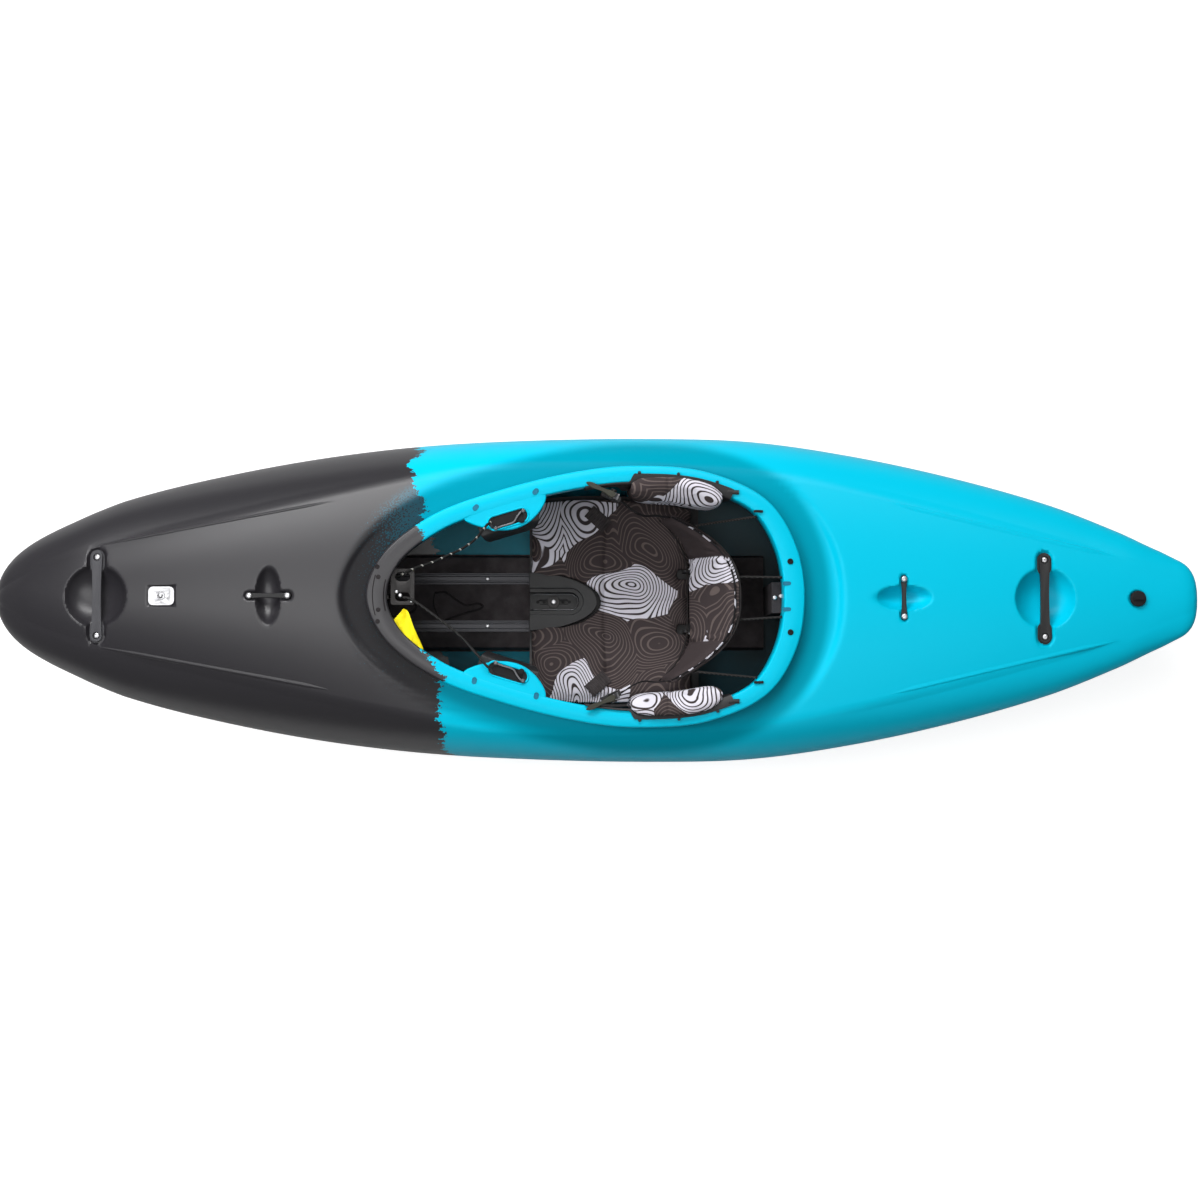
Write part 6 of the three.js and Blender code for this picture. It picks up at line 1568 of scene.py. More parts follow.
for name, grow, low in (("channel", 0, floor), ("step", 9, top - 5)):
    cut(block, make_tube(name, moved(pulled(channel_outline(grow), low, 200), shift(SEAT["front"]))))
through = pulled(bar_outline(64, 9), floor - 6, floor + 20)
cut(block, make_tube("through", moved(through, shift(CLAMP_PLACE))))
dress(soften(block, 4, 5, 50), "seat", black_plastic, "seat_pan")
lining = bar_outline(2 * (POMMEL["channel_length"] - 2), POMMEL["channel"] - 5, None, 24)
lining = outline_path(lining[lining[:, 0] < 0], floor + 1)
lining = lining[np.argsort(np.arctan2(lining[:, 1], lining[:, 0]) % (2 * np.pi))] + [SEAT["front"], 0, 0]
lining = make_tube("channel_lining", carried(lining, circle(1.3, 10)), 0)
dress(lining, "seat", dark_steel, "seat_pan", slot="bright_steel")
# Four holes in the channel's floor, drawn as thin raised discs of near-black rubber: painted shade.
dimple = spun([(3, floor - 1), (3, floor + 0.15), (2.2, floor + 0.1)], 20)
dimples = [make_tube("dimple", moved(dimple, shift(x, 0))) for x in DIMPLES]
dress(weld("channel_holes", dimples), "seat", rubber, "seat_pan")
clamp_top = floor + GAP
disc = spun([(12.2, clamp_top), (13, clamp_top + 0.6), (13, clamp_top + 1.6), (12.4, clamp_top + 2)], 40)
# The clamp plate is painted nearly black: painted shade in the pommel's channel.
clamp_plate = make_tube("clamp_plate", moved(disc, shift(CLAMP_PLACE)), 30)
dress(clamp_plate, "hull", painted_shade_steel, "seat_clamp_bolt", slot="bright_steel")
clamp_head = bolt("clamp_head", shift(CLAMP_PLACE, 0, clamp_top + 2), 5.5, 4, 0.45)
dress(clamp_head, "hull", steel, "seat_clamp_bolt", slot="bright_steel")
for side, name in SIDES:
    low = PIVOT["offset"] + PIVOT["gap"] / 2
    ear = pulled(rounded_box(30, 47, 7), low, low + PIVOT["ear"])
    outward = spin(-math.pi / 2 * side, "x")
    ear = make_tube(f"seat_ear_{name}", moved(ear, shift(PIVOT["x"], 0, EAR_MIDDLE) @ outward))
    dress(soften(ear, 0.8, 2), "seat", black_plastic, "seat_pan")
    spot = shift(PIVOT["x"], side * (low + PIVOT["ear"] + GAP), PIVOT["z"]) @ outward
    head = bolt(f"band_pin_{name}", spot, 6, 3, 0.5)
    dress(head, "seat", steel, f"backband_pin_{name}", slot="bright_steel")
print("seat pan faces", len(pan.data.polygons), "pommel faces", len(block.data.polygons))
# %% [markdown]
# The padded pieces are sewn cloth over foam. Each starts as a closed form a little smaller than its
# place, is meshed anew with even cells, and is then blown up as cloth for 20 steps with gravity off,
# the way an inflated cover finds its own plump shape. No point may move further than a cap. Seams
# and tufts are pressed in afterwards, since they are narrower than the cells.

# %% Padding helpers
SIM_STEPS = 20


def baked(piece):
    """The piece with what its modifiers do kept in its mesh."""
    graph = bpy.context.evaluated_depsgraph_get()
    piece.data = bpy.data.meshes.new_from_object(piece.evaluated_get(graph))
    piece.modifiers.clear()
    return piece


def even_cells(piece, cell):
    """The piece meshed anew with cells of one size in millimetres."""
    step = piece.modifiers.new("cells", "REMESH")
    step.mode = "VOXEL"
    step.voxel_size = cell * MM
    step.use_smooth_shade = True
    return baked(piece)


def move_points(piece, points):
    """Sets the piece's points, given in millimetres."""
    piece.data.vertices.foreach_set("co", (points * MM).astype(np.float32).ravel())
    piece.data.update()


def swell(piece, cap, pressure=4.0, keep_in=None):
    """Blows the piece up as cloth and limits how far each point moves."""
    before = points_of(piece)
    cloth = piece.modifiers.new("cover", "CLOTH")
    cloth.settings.use_pressure = True
    cloth.settings.uniform_pressure_force = pressure
    cloth.settings.effector_weights.gravity = 0
    cloth.settings.quality = 4
    cloth.collision_settings.use_collision = False
    cloth.point_cache.frame_start = 1
    cloth.point_cache.frame_end = SIM_STEPS
    scene = bpy.context.scene
    for k in range(1, SIM_STEPS + 1):
        scene.frame_set(k)
    graph = bpy.context.evaluated_depsgraph_get()
    shaped = bpy.data.meshes.new_from_object(piece.evaluated_get(graph))
    after = np.empty(len(shaped.vertices) * 3, np.float32)
    shaped.vertices.foreach_get("co", after)
    piece.modifiers.clear()
    scene.frame_set(1)
    move = after.reshape(-1, 3) / MM - before
    far = np.linalg.norm(move, axis=1, keepdims=True)
    points = before + move * np.minimum(1, cap / np.maximum(far, 1e-6))
    move_points(piece, points if keep_in is None else keep_in(points))
    return float(far.max())


def pad(name, body, finish, node, start, cell, cap, sew=None, keep_in=None, pressure=4.0):
    """A cushion: new cells, swelling, one subdivision, and then its seams."""
    start.name = name
    even_cells(start, cell)
    moved_by = swell(start, cap, pressure, keep_in)
    baked(refine(start))
    if sew:
        move_points(start, sew(points_of(start)))
    start.data.shade_smooth()
    dress(start, body, finish, node, slot="printed_fabric")
    print(name, "cells", len(start.data.polygons), "moved", round(moved_by, 1))
    return start


def crease(distance, width):
    """One on a seam, fading as a bell does to either side."""
    return np.exp(-((distance / width) ** 2))


# %% [markdown]
# The seat cushion follows the pan, rises into a lobe under each thigh and is drawn in by one seam
# across with three tufts. Its front is notched round the pommel. The cover keeps off the pan: points
# that the swelling pushes below it are lifted back.

# %% Seat cushion
PAD_AREA = (-192, 149, 219)
PAD = {"thick": 22, "lobe": 20, "edge": 9, "base": 5.6}
SEAM_PLACE = -8
SEAM_BOW = 10
TUFTS = (-146, 0, 146)


def plump(t, power):
    """One in the middle, falling to nought at either end."""
    return 1 - np.abs(t) ** power


def pad_lift(u, v):
    """How high the cushion's top stands over the pan."""
    across = np.abs(2 * v - 1)
    soft = plump(2 * u - 1, 10) * plump(across, 8)
    ahead = np.clip(2 * u - 1, 0, 1) ** 1.5
    lobe = PAD["lobe"] * ahead * np.sin(np.pi * across)
    return PAD["base"] + PAD["edge"] + (PAD["thick"] - PAD["edge"] + lobe) * soft


def over_pan(points):
    """Keeps the cushion above the pan."""
    points[:, 2] = np.maximum(points[:, 2], SEAT_BASE + pan_height(points[:, 0], points[:, 1]) + 5.4)
    return points


def sew_seat(points):
    """Presses the cross seam, its tufts and the middle seam into the cushion's upper side."""
    x, y, z = points.T
    high = ease(z - SEAT_BASE - pan_height(x, y), 12, 22)
    bow = SEAM_PLACE - SEAM_BOW * (y / 200) ** 2
    depth = 5 * crease(x - bow, 6) * ease(213 - np.abs(y), 0, 20)
    depth += sum(7 * crease(np.hypot(x - bow, y - place), 13) for place in TUFTS)
    depth += 2.6 * crease(y, 3.4) * ease(-x, 8, 20)
    points[:, 2] = z - depth * high
    return points


u, v = np.meshgrid(shares(70), shares(90), indexing="ij")
upper, lower = pan_points(u, v, PAD_AREA, pad_lift(u, v)), pan_points(u, v, PAD_AREA, PAD["base"])
cushion = make_slab("seat_cushion", upper, lower)
cut(cushion, make_tube("notch", pulled(pommel_outline(3.2, 300), 0, 300)))
for side in (1, -1):
    room = moved(pulled(rounded_box(42, 22, 4), 0, 200), shift(PIVOT["x"], side * PIVOT["offset"]))
    cut(cushion, make_tube("room", room))
pad("seat_cushion", "seat", seat_print, "seat_pad", cushion, 4.5, 6, sew_seat, over_pan)

# %% [markdown]
# The backband leans back and wraps round the hips: its ends run forward as a power of the distance
# from the middle. Two sewn channels part the printed middle from plain ends. Pipings follow its long
# edges, as the seam allowance of a cushion cover does.

# %% Backband
BAND = {"half": 172, "back": -268, "sag": 78, "lean": 92, "bottom": 100, "top": 246, "thick": 20}
CHANNEL_PLACE = 86
BAND_END = {"bottom": 142, "top": 222}


def band_front(side, z):
    """Where the band's front stands at shares -1 to 1 across and heights z: it wraps forward as a power
    of the distance from the middle, and leans back with height, less towards its ends."""
    wrap = np.abs(side) ** 2.8
    lean = BAND["lean"] * (z - BAND["bottom"]) / (BAND["top"] - BAND["bottom"])
    return BAND["back"] + BAND["lean"] + BAND["sag"] * wrap - lean * (1 - 0.6 * wrap)


def band_points(u, v, behind):
    """Points on the band at shares u across and v up, some way behind its front."""
    side = 2 * u - 1
    z = mix(*(mix(BAND[edge], BAND_END[edge], side**2) for edge in ("bottom", "top")), v)
    return np.stack([band_front(side, z) - behind, side * (BAND["half"] - behind * 0.1), z], -1)


def sew_band(points):
    """Presses the two channels into the band's front."""
    x, y, z = points.T
    facing = ease(x - band_front(y / BAND["half"], z), -12, -5)
    points[:, 0] = x - 4.5 * crease(np.abs(y) - CHANNEL_PLACE, 4) * facing
    return points


u, v = np.meshgrid(shares(90), shares(36), indexing="ij")
edge = 5 * (1 - plump(2 * u - 1, 12) * plump(2 * v - 1, 6))
front, rear = band_points(u, v, edge + 1.5), band_points(u, v, BAND["thick"] - 3 - edge * 0.4)
band = make_slab("backband_cushion", front, rear)
band = pad("backband_cushion", "backband", band_print, "backband_pad", band, 4.0, 5, sew_band)
keep(band, "plain", ease(np.abs(points_of(band)[:, 1]), CHANNEL_PLACE - 0.5, CHANNEL_PLACE + 0.5))
PIPING = [
    ("band_piping_front", 1.0, 4.5, 1.9, band_cord), ("band_piping_rear", 1.0, 15.5, 1.7, piping_cloth),
    ("band_piping_low", 0.0, 5.0, 1.6, piping_cloth),
]
t = np.linspace(0.015, 0.985, 160)
for name, up, behind, radius, finish in PIPING:
    line = band_points(t, np.full_like(t, up), behind) + [0, 0, 0.6 if up else -0.6]
    piping = make_tube(name, carried(line, circle(radius, 12)), 0)
    dress(piping, "backband", finish, "backband_pad", slot="printed_fabric")
u, v = np.meshgrid(np.linspace(0.08, 0.92, 70), np.linspace(0.05, 0.93, 24), indexing="ij")
bulge = 1.5 * np.sin(np.pi * (v - 0.05) / 0.88)
front, rear = band_points(u, v, BAND["thick"] - 1.6), band_points(u, v, BAND["thick"] + 2.6 + bulge)
shell = make_slab("band_shell", front, rear)
LUG = {"inner": 53.5, "outer": 59.5, "low": -0.11, "high": 0.3}
lugs = []
for side in (1, -1):
    across = 0.5 + side * np.array([LUG["inner"], LUG["outer"]]) / (2 * BAND["half"])
    u, v = np.meshgrid(across, np.linspace(LUG["low"], LUG["high"], 12), indexing="ij")
    lugs.append(make_slab("lug", band_points(u, v, BAND["thick"] - 1), band_points(u, v, BAND["thick"] + 9)))
dress(weld("band_shell", [shell] + lugs), "backband", black_plastic, "backband_shell")
print("band shell faces", len(shell.data.polygons))

# %% [markdown]
# A hip plate is a curved wall that hangs on the rim by a flange, with a cushion on its inner side.
# Both are sections carried along the rim. The cushion has its own plump section, thick in its middle
# and thin at its ends, and one seam across it.

# %% Hip plates and cushions
HIP = {"rear": -262, "front": 32, "thick": 4, "depth": 142, "front_depth": 30, "flange": 17}
HIP |= {"blend": 16, "turn": 44, "corner": 60}
HIP_TOP = 4.8
HIP_FLANGE_END = -58
HIP_SEAM = -138
HIP_PAD_ENDS = (-249, -57)


def along_rim(name, rear, front, side, parts, section_at, sharp=40):
    """A closed strip along the rim's inner edge, with a section of out and height at each step."""
    u = np.linspace(0, 1, parts)
    ways = mix(float(rim_way(rear, side)), float(rim_way(front, side)), u)
    rings = np.stack([np.array(section_at(share), float) for share in u])
    return make_tube(name, beside_rim(ways[:, None], rings[..., 0], rings[..., 1]), sharp)


def hip_section(u):
    """The plate's section: a flange over the lip and a wall that ends low behind and high in front."""
    x = mix(HIP["rear"], HIP["front"], u)
    t = np.clip((x + HIP["blend"] + HIP["turn"]) / (2 * HIP["blend"]), 0, 1)
    depth = mix(HIP["depth"], HIP["front_depth"], t * t * (3 - 2 * t))
    turn = np.clip((HIP["rear"] + HIP["corner"] - x) / HIP["corner"], 0, 1)
    low = mix(HIP["front_depth"], depth, math.sqrt(1 - turn**2))
    inner = -GAP - HIP["thick"]
    wide = mix(HIP["flange"], 0.4, float(ease(x, HIP_FLANGE_END - 8, HIP_FLANGE_END + 4)))
    return [(-GAP, 1.8), (wide, 1.8), (wide + 0.8, 2.6), (wide, HIP_TOP),
            (inner + 2, HIP_TOP), (inner, HIP_TOP - 2), (inner, -low), (-GAP, -low)]


def hip_pad_section(u):
    """The cushion's section: over the flange, round its crown, down the inner side and under."""
    full = math.sqrt(1 - abs(2 * u - 1) ** 4.5 * 0.999)
    face, ledge, bottom = -GAP - HIP["thick"] - 0.6, HIP_TOP + 0.5, -136
    thick = mix(8, 28, full)
    low = mix(bottom * 0.6, bottom + 2, full)
    high = ledge + mix(5, 10.5, full)
    far = mix(-2, 12, full)
    inner = [(0.45, high), (0.85, ledge), (0.98, -14), (1, low * 0.35), (0.95, low * 0.7), (0.6, low * 0.95)]
    return [(face, low), (face, -60), (face, ledge), (far, ledge), (far + 0.5, (ledge + high) / 2),
            (far - 7, high), (-4 - 6 * (1 - full), high + 0.5)] + [(face - thick * s, h) for s, h in inner]


def sew_hip(points):
    """Presses one seam across the cushion."""
    x, y, z = points.T
    inward = -np.sign(y) * ease(z, 200, 290)
    depth = 2.6 * crease(x - HIP_SEAM - (z - 300) * 0.1, 3.4)
    points[:, 2] = z - depth * ease(z, 300, 322)
    points[:, 1] = y - inward * depth * (1 - ease(z, 300, 322))
    return points


HIP_PEGS = (-228, -154, -77)
HIP_TAB = ((-252, 9), (-262, 12), (-271, 16))
PEG_LEVEL = 3.4
PEG = [(2.8, -2.4), (3.2, -1.4), (3.2, 1.6), (2.2, 2.6)]
for side, name in SIDES:
    plate = along_rim(f"hip_wall_{name}", HIP["rear"], HIP["front"], side, 90, hip_section, 50)
    dress(plate, "hull", black_plastic, f"hip_plate_{name}")
    pegs = []
    for x in HIP_PEGS:
        arm = np.stack([beside_rim(float(rim_way(x, side)), out, PEG_LEVEL) for out in (15, 19.5)])
        pegs.append(make_tube("peg", moved(spun(PEG, 20), shift(*arm[-1]))))
        pegs.append(make_tube("peg_arm", carried(arm, circle(1.9, 10))))
    tab = np.stack([beside_rim(float(rim_way(x, side)), out, PEG_LEVEL) for x, out in HIP_TAB])
    pegs.append(make_tube("rear_tab", carried(smooth_path(tab, 12), circle(1.0, 16) * [4.6, 2.2])))
    dress(weld(f"hip_pegs_{name}", pegs), "hull", black_plastic, f"hip_plate_{name}")
    start = along_rim(f"hip_cushion_{name}", *HIP_PAD_ENDS, side, 60, hip_pad_section)
    pad(f"hip_cushion_{name}", "hull", hip_print, f"hip_pad_{name}", start, 4.0, 4, sew_hip, pressure=3.0)

# %% [markdown]
# Under each thigh hook hangs a brace: a bent plate clamped through the hook's slot, with a foam pad
# below it. The plate's section is level under the hook and then falls as a quarter of an ellipse.

# %% Thigh braces
BRACE = {"length": 124, "thick": 4, "drop": 46, "fall": 18, "flange": 28, "outer": 6, "sag": 5, "reach": 26}
BRACE_TOP = -HOOK["drop"] - HOOK["thick"] - GAP


def brace_path(s):
    """The plate's section at shares s from its outer edge to its lowest: out from the slot, and height."""
    flat = BRACE["flange"] / (BRACE["flange"] + BRACE["drop"] + BRACE["reach"])
    t = np.clip((s - flat) / (1 - flat), 0, 1) * np.pi / 2
    out = BRACE["outer"] - np.minimum(s / flat, 1) * BRACE["flange"] - BRACE["fall"] * np.sin(t)
    return out, BRACE_TOP - BRACE["drop"] * (1 - np.cos(t))


def brace_points(side, u, s, depth):
    """Points on the plate, at some depth below its upper face."""
    (v0, h0), (v1, h1) = brace_path(np.clip(s - 1e-3, 0, 1)), brace_path(np.clip(s + 1e-3, 0, 1))
    out, height = brace_path(s)
    length = np.hypot(v1 - v0, h1 - h0)
    taper = 1 - 0.3 * s**2
    bow = BRACE["sag"] * 4 * (u - 0.5) ** 2 * taper * (1 - s)
    x = (u - 0.5) * BRACE["length"] * taper
    y = side * (out - bow + (h0 - h1) / length * depth)
    return moved(np.stack([x, y, height + (v1 - v0) / length * depth], -1), slot_frame(side))


BOSS = {"length": 63, "width": 19, "low": BRACE_TOP - 1, "high": -2.4}
STRIP_PATH = [(-37, -2), (-28, -3), (-18, -10), (-7, -18.5), (14, -19), (31, -20)]
THIGH_SCREWS = (("front", 29, -20), ("rear", -33, -2))
KNOB = {"x": -25, "y": -19, "profile": [(5, -1.6), (6, -1), (6, 1.6), (4.6, 2.4)]}
PAD_START = 1 / 6
for side, name in SIDES:
    u, s = np.meshgrid(shares(40), shares(40), indexing="ij")
    body, node = f"thigh_brace_{name}", f"thigh_plate_{name}"
    upper, lower = brace_points(side, u, s, 0.0), brace_points(side, u, s, BRACE["thick"])
    plate = make_slab(f"thigh_sheet_{name}", upper, lower)
    dress(soften(plate, 1.0, 3, 50), body, black_plastic, node)
    spot = slot_frame(side)
    boss = pulled(bar_outline(BOSS["length"], BOSS["width"]), BOSS["low"], BOSS["high"])
    boss = make_tube(f"thigh_boss_{name}", moved(boss, spot @ shift(0, -side * SLOT["inward"])))
    dress(boss, body, rubber, node)
    path = smooth_path([(x, side * y, 1.2) for x, y in STRIP_PATH], 60)
    strip = moved(carried(path, rounded_box(3.4, 1.8, 0.7, 4)), spot)
    strip = make_tube(f"thigh_strip_{name}", strip)
    dress(strip, body, dark_steel, node, slot="bright_steel")
    for end, x, y in THIGH_SCREWS:
        head = bolt(f"thigh_screw_{end}_{name}", spot @ shift(x, side * y, 2.2), 4.4, 3, 0.5)
        dress(head, body, dark_steel, f"thigh_bolt_{end}_{name}", slot="bright_steel")
    knob = moved(spun(KNOB["profile"], 28), spot @ shift(KNOB["x"], side * KNOB["y"], 1.8))
    dress(soften(make_tube(f"thigh_knob_{name}", knob), 0.4, 2), body, rubber, node)
    u, v = np.meshgrid(shares(40), shares(36), indexing="ij")
    s = mix(PAD_START, 1.0, v)
    full = np.sqrt(np.clip(plump(2 * u - 1, 6) * plump(2 * v - 1, 6), 0, 1))
    upper, lower = brace_points(side, u, s, 4.6), brace_points(side, u, s, 5.2 + mix(4.0, 9.5, full))
    start = make_slab("thigh_pad", upper, lower)
    pad(f"thigh_cushion_{name}", body, black_foam, f"thigh_pad_{name}", start, 4.0, 2, pressure=1.5)
# %% [markdown]
# A ratchet sits at the front of each hip plate. Its lever winds a strap that pulls the backband
# forward. The base is a small block with two ears, the lever is leaf shaped, and between them sits a
# toothed spool.

# %% Ratchets
RATCHET = {"pivot": -22, "across": 203, "axis": 10, "yaw": 0.42, "height": 18, "rise": 2}
EAR = {"length": 12, "height": 16, "corner": 4, "thick": 2.8, "offset": 7.6}
SPOOL = {"teeth": 36, "tip": 5.6, "root": 4.6, "half": 6}
LEVER_PLACES = (-6.8, -5, -1, 5, 14, 24, 33, 42, 50, 55, 57.2)
LEVER_HALVES = (0.8, 4.6, 6.8, 6.6, 4.4, 3.6, 4.6, 5.4, 4.5, 2.4, 0.5)


def ratchet_frame(side):
    """A matrix at a lever's axis: X runs along the lever and Y along its pin."""
    spot = shift(RATCHET["pivot"] - RIM_FORWARD, side * RATCHET["across"], RATCHET["axis"])
    return rim_frame @ spot @ spin(side * RATCHET["yaw"])


def leaf_outline():
    """The lever's plan: a round hub, a slim neck and a leaf-shaped thumb end."""
    fine = np.linspace(LEVER_PLACES[0], LEVER_PLACES[-1], 44)
    half = np.interp(fine, LEVER_PLACES, LEVER_HALVES)
    half = np.convolve(np.pad(half, 2, mode="edge"), [0.15, 0.2, 0.3, 0.2, 0.15], "valid")
    return np.concatenate([np.stack([fine, -half], -1), np.stack([fine[::-1], half[::-1]], -1)])


for side, name in SIDES:
    spot = ratchet_frame(side)
    low = -RATCHET["axis"]
    foot = pulled(rounded_box(41, 12, 3), low - RATCHET["height"], low + RATCHET["rise"])
    pieces = [soften(make_tube("base", moved(foot, spot @ shift(0, -3.5 * side))), 1.2, 3)]
    ear = pulled(rounded_box(EAR["length"], EAR["height"], EAR["corner"]), 0, EAR["thick"])
    for place in (EAR["offset"], -EAR["offset"] - EAR["thick"]):
        stand = spot @ shift(0, place + 0.1, -4.5) @ spin(-math.pi / 2, "x")
        pieces.append(soften(make_tube("ear", moved(ear, stand)), 0.6, 2))
    dress(weld(f"ratchet_body_{name}", pieces), "hull", black_plastic, f"ratchet_base_{name}")
    teeth = np.where(np.arange(SPOOL["teeth"]) % 2, SPOOL["tip"], SPOOL["root"])[:, None]
    spool = pulled(teeth * circle(1.0, SPOOL["teeth"]), -SPOOL["half"], SPOOL["half"])
    wheel = make_tube(f"ratchet_spool_{name}", moved(spool, spot @ shift(-9, 0, -5) @ spin(math.pi / 2, "x")))
    dress(wheel, "hull", dark_steel, f"ratchet_base_{name}")
    thumb = make_tube("lever", moved(pulled(leaf_outline(), -2.2, 2.2), spot))
    pin = make_tube("pin", moved(pulled(circle(2, 20), -10, 10), spot @ spin(math.pi / 2, "x")))
    lever = weld(f"ratchet_thumb_{name}", [soften(thumb, 1.3, 3, 40), pin])
    dress(lever, f"ratchet_lever_{name}", olive_plastic, f"ratchet_lever_{name}", slot="lever_plastic")
print("ratchets", 2)

# %% [markdown]
# Each strap and cord to the backband is made in two lengths. The first goes from the hull to the
# seat's slide and the second from the seat to the backband's tilt, and they stay joined in the
# middle.

# %% Straps and cords of the backband
STRAP = [
    (-136, 168, 195), (-112, 170, 212), (-87, 169, 231), (-65, 177, 258), (-45, 190, 284), (-33, 197, 303),
]
STRAP_SECTION = rounded_box(2.4, 22, 0.9, 4)
CORDS = {
    "rear": [(-273, 44, 223), (-300, 43, 241), (-332, 41.5, 262), (-364, 40, 283)],
    "side": [(-185, 148, 217), (-228, 153, 241), (-270, 157.5, 264), (-313, 162, 288)],
}
CORD_SECTION = circle(2.5, 16)
CORD_END = ((-308, -1), (-313, 5), (-318, 12))


def two_lengths(name, path, section, finish, node, split, up=(0, 0, 1)):
    """A band or cord from the backband to the hull, as two lengths named for the tilt and the slide."""
    fine = smooth_path(path, 72)
    knee = int(split * 72)
    first = make_tube(f"{name}_tilting", carried(fine[:knee + 1], section, up), 30)
    second = make_tube(f"{name}_sliding", carried(fine[knee:], section, up), 30)
    for length, (a, b), (start, end) in (
        (first, ("seat", "backband"), (fine[knee], fine[2])),
        (second, ("hull", "seat"), (fine[-3], fine[knee])),
    ):
        paint(length, finish)
        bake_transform(length)
        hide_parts(node)


for side, name in SIDES:
    flip = np.array([1, side, 1])
    node = f"backband_strap_{name}"
    two_lengths(f"strap_{name}", np.array(STRAP) * flip, STRAP_SECTION, webbing, node, 0.45)
    for kind, path in CORDS.items():
        node = f"backband_{kind}_cord_{name}"
        two_lengths(f"{kind}_line_{name}", np.array(path) * flip, CORD_SECTION, dark_cord, node, 0.5)
    tip = [beside_rim(float(rim_way(x, side)), out, 3.2) for x, out in CORD_END]
    end = make_tube(f"line_end_{name}", carried(smooth_path(np.array(tip), 14), circle(2.6, 14)), 0)
    dress(soften(end, 0.8, 2), "hull", dark_cloth, f"backband_side_cord_{name}", slot="cord")
print("straps and lines", 6)

# %% [markdown]
# The footrest is a ribbed plate on a sled that rides the rails, with a soft pad for each foot. It
# hangs on two cords, which run back over a steel bracket under the rim's front and are tied to the
# thigh hooks. The starboard cord carries pale flecks.

# %% Footrest and its cords
FOOTREST = 600
PLATE = {"half": 150, "base": 52.6, "top": 236, "corner": 22, "thick": 6, "sled": 84, "sled_half": 66}


def foot_outline():
    """The plate seen from the bow: wide at its foot, a little narrower at its top, corners rounded."""
    half, base, top, corner = (PLATE[key] for key in ("half", "base", "top", "corner"))
    narrow = half * 0.9
    port = np.concatenate([
        [(0, base)], curve_through((half - corner, base), (half, base), (half, base + corner), 10),
        curve_through((half * 0.92, top - corner), (narrow, top), (narrow - corner, top), 10),
        [(narrow - corner, top), (12, top), (0, top)],
    ])
    return np.concatenate([port, (port * [-1, 1])[-2:0:-1]])


def stood(rings, x):
    """Rings drawn in Y and Z and pulled along X, at a station x."""
    return np.stack([rings[..., 2] + x, rings[..., 0], rings[..., 1]], -1)


plate = pulled(foot_outline(), -PLATE["thick"] / 2, PLATE["thick"] / 2)
pieces = [soften(make_tube("plate", stood(plate, FOOTREST)), 1.8, 3)]
sled = pulled(rounded_box(PLATE["sled"], 2 * PLATE["sled_half"], 6), SEAT_BASE, SEAT_BASE + 10)
pieces.append(soften(make_tube("sled", moved(sled, shift(FOOTREST))), 1.5, 3))
web = np.array([(0, SEAT_BASE + 9), (40, SEAT_BASE + 9), (36, SEAT_BASE + 18), (12, 130), (2, 162), (0, 162)])
for y in (-40, 40):
    rib = np.stack([np.insert(web, 1, y + side * 2.5, axis=1) for side in (1, -1)]) + [FOOTREST, 0, 0]
    pieces.append(soften(make_tube("rib", rib), 1, 2))
for y in np.linspace(-110, 110, 12):
    line = [(FOOTREST + 4.2, y, 66), (FOOTREST + 4.2, y * 0.96, 222)]
    pieces.append(make_tube("ridge", carried(np.array(line), circle(1.6, 8))))
dress(weld("foot_plate", pieces), "footrest", black_plastic, "footrest")
for side, name in SIDES:
    block = pulled(rounded_box(110, 130, 16, 10), -17.4, 0) + [side * 82, 140, 0]
    sole = make_tube(f"sole_pad_{name}", stood(block, FOOTREST - 3.5))
    baked(soften(sole, 5, 4, 50))
    dress(sole, "footrest", black_foam, f"foot_pad_{name}", slot="soft_foam")
tie = {
    "port": [(218, 146, 358), (226, 140, 360), (233, 132, 358), (250, 112, 352), (282, 78, 350),
             (330, 40, 347), (376, 8, 342), (400, 2.6, 332), (430, 2.9, 318), (500, 2.6, 281), (600, 2, 226)],
    "starboard": [(218, -146, 358), (226, -140, 360), (233, -131, 358), (252, -110, 352), (277, -93, 350),
                  (309, -78, 348), (337, -66, 346), (367, -56, 344), (391, -45, 341), (406, -38, 332),
                  (430, -37.2, 318), (500, -37.6, 281), (600, -38, 226)],
}
for name, path in tie.items():
    line = make_tube(f"foot_line_{name}", carried(smooth_path(path, 150), CORD_SECTION), 0)
    paint(line, fleck_cord if name == "starboard" else dark_cord)
    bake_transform(line)
    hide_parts(f"footrest_cord_{name}")
print("footrest parts", len(pieces))

# %% [markdown]
# The bracket is a bent steel plate with two slots that the cords pass through. Beside it hangs a
# small yellow pouch: coated cloth, folded over itself to a triangle.

# %% Bracket and pouch
BRACKET = (394, -18, -26)
FLANGE = ((-0.6, -27), (-0.6, -8), (-3, -8), (-3, -27))
FLANGE_SIDES = (-2.36, 14)
NUTS = ((388, -46, 3.2), (406, -8, 3.6), (399, -1, 4.2), (377, 12, 2.4))
bracket_place = rim_place(*BRACKET)
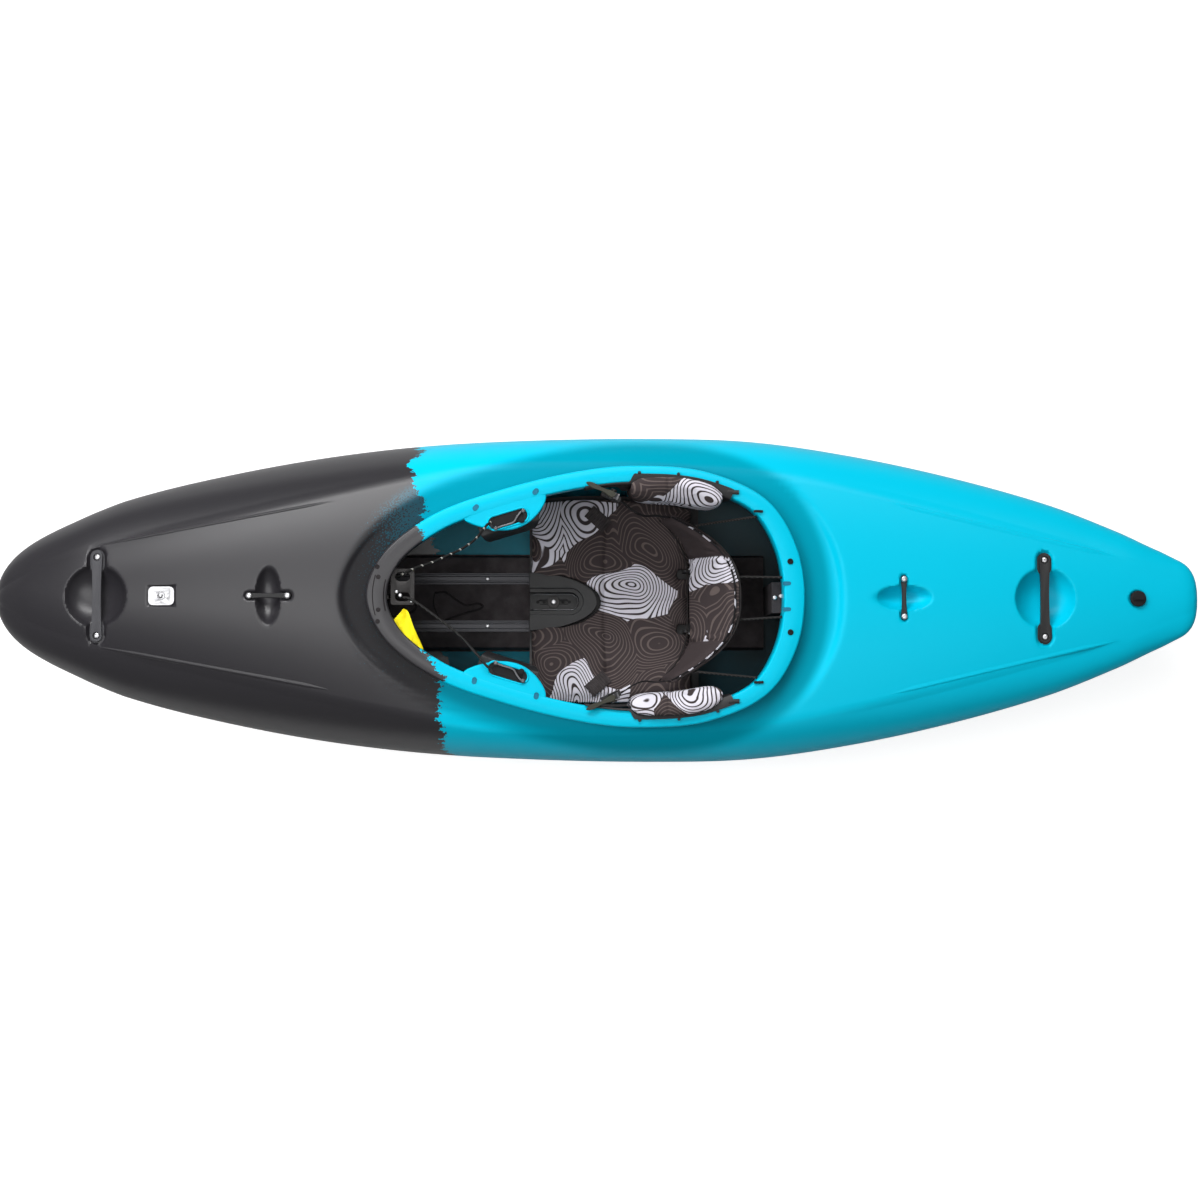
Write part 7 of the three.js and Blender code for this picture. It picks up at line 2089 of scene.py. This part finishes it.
# The bracket and its flange are painted nearly black: painted shade under the rim's front.
bracket = make_tube("bracket_shelf", moved(pulled(rounded_box(47, 72, 4), -1.5, 1.5), bracket_place))
for way in (1, -1):
    eye = moved(pulled(bar_outline(30, 18), -9, 9), bracket_place @ shift(0, way * 20))
    cut(bracket, make_tube("eye", eye))
dress(soften(bracket, 0.7, 2), "hull", painted_shade_steel, "cord_bracket", slot="bright_steel")
near_front = np.arange(-60, 60)
front_ways = np.interp(np.linspace(*FLANGE_SIDES, 7), rim_edge[near_front, 1], near_front / RIM_COUNT)
flange = np.stack([beside_rim(front_ways, out, h) for out, h in FLANGE], 1)
flange = soften(make_tube("bracket_flange", flange), 0.5, 2)
dress(flange, "hull", painted_shade_steel, "cord_bracket", slot="bright_steel")
for k, (x, y, radius) in enumerate(NUTS):
    spot = bracket_place @ shift(x - BRACKET[0], y - BRACKET[1], 1.6)
    nut = bolt(f"bracket_nut_{k}", spot, radius, 2.6, 0.4)
    dress(nut, "hull", steel, "cord_bracket", slot="bright_steel")


def cloth_flap(name, outer_edge, inner_edge, top, thick, folds):
    """A folded piece of cloth between two edges, each drawn on the rim's level, with a few waves."""
    u, v = np.meshgrid(np.linspace(0, 1, 40), np.linspace(0, 1, 16), indexing="ij")
    edges = [smooth_path([(x, y, 0) for x, y in edge], 40)[:, None] for edge in (outer_edge, inner_edge)]
    flat = mix(edges[0], edges[1], v[..., None])
    wave = folds * np.sin(3.2 * np.pi * u + 2 * v) * v
    upper = top - 5 * v + wave
    lower = upper - thick * (0.35 + np.sin(np.pi * v))
    return make_slab(name, *(from_rim(flat[..., 0], flat[..., 1], height) for height in (upper, lower)), 50)


pouch = cloth_flap("yellow_pouch", [(411, 48), (404, 72), (384, 94), (352, 107)],
                   [(392, 26), (383, 32), (371, 64), (353, 103)], -10, 9, 1.6)
baked(refine(soften(pouch, 1, 2, 50)))
dress(pouch, "hull", yellow_cloth, "spares_pouch", slot="yellow_fabric")
fold = cloth_flap("pouch_fold", [(404, 50), (398, 66), (388, 80), (376, 90)],
                  [(391, 32), (384, 42), (378, 58), (370, 74)], -8.6, 1.6, 1.0)
dress(fold, "hull", yellow_cloth, "spares_pouch", slot="yellow_fabric")
print("pouch faces", len(pouch.data.polygons))

# %% [markdown]
# On each side a short length of ribbed elastic runs from the seat's edge over the cushion to the hip
# plate. It is laid on the cushion by looking straight down for the cushion's height at each step.

# %% Ribbed elastic on the seat
RIBBED = {"middle": (6, 172), "length": 50, "width": 30, "heading": 0.72, "ribs": 9}


def height_on(piece, x, y, above=400):
    """Where a line straight down meets the piece."""
    hit, spot = piece.ray_cast(Vector((x, y, above)) * MM, Vector((0, 0, -1)))[:2]
    return spot.z / MM if hit else SEAT_BASE


seat_top = bpy.data.objects["seat_cushion"]
u, v = np.meshgrid(np.linspace(-0.5, 0.5, 64), np.linspace(-0.5, 0.5, 14), indexing="ij")
rib = 1.8 * np.abs(np.sin(np.pi * RIBBED["ribs"] * u))[..., None] * [0, 0, 1]
for side, name in SIDES:
    flat = np.stack([u * RIBBED["length"], v * RIBBED["width"], np.zeros_like(u)], -1)
    flat = moved(flat, at(*RIBBED["middle"], 0, RIBBED["heading"])) * [1, side, 1]
    flat[..., 2] = [[height_on(seat_top, *spot[:2]) for spot in row] for row in flat]
    elastic = make_slab(f"seat_elastic_{name}", flat + [0, 0, 2.2] + rib, flat + [0, 0, 0.4], 60)
    dress(elastic, "seat", ribbed_cloth, "seat_pad", slot="webbing")
print("elastic bands", 2)
# %% [markdown]
# The floor is a wide pale sheet below the boat, and only stage.

# %% Stage and its finish
FLOOR_SIZE = 12000
PAPER_GLOW = 0.8
ground = make_tube("pale_floor", pulled(rounded_box(FLOOR_SIZE, FLOOR_SIZE, 50, 4), -24, -4))
paper, paper_tree, paper_shader = start_finish("floor_paper", (0.4, 0.4, 0.4), 0.9, gloss=0.1)[:3]
paper_shader.inputs["Emission Color"].default_value = (1, 1, 1, 1)
seen = paper_tree.nodes.new("ShaderNodeLightPath").outputs["Is Camera Ray"]
glow = maths(paper_tree, "MULTIPLY", seen, PAPER_GLOW)
paper_tree.links.new(glow, paper_shader.inputs["Emission Strength"])
paint(ground, paper)
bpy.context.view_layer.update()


def plain(corners):
    """A box as plain lists of numbers."""
    return [[round(float(n), 5) for n in corner] for corner in corners]
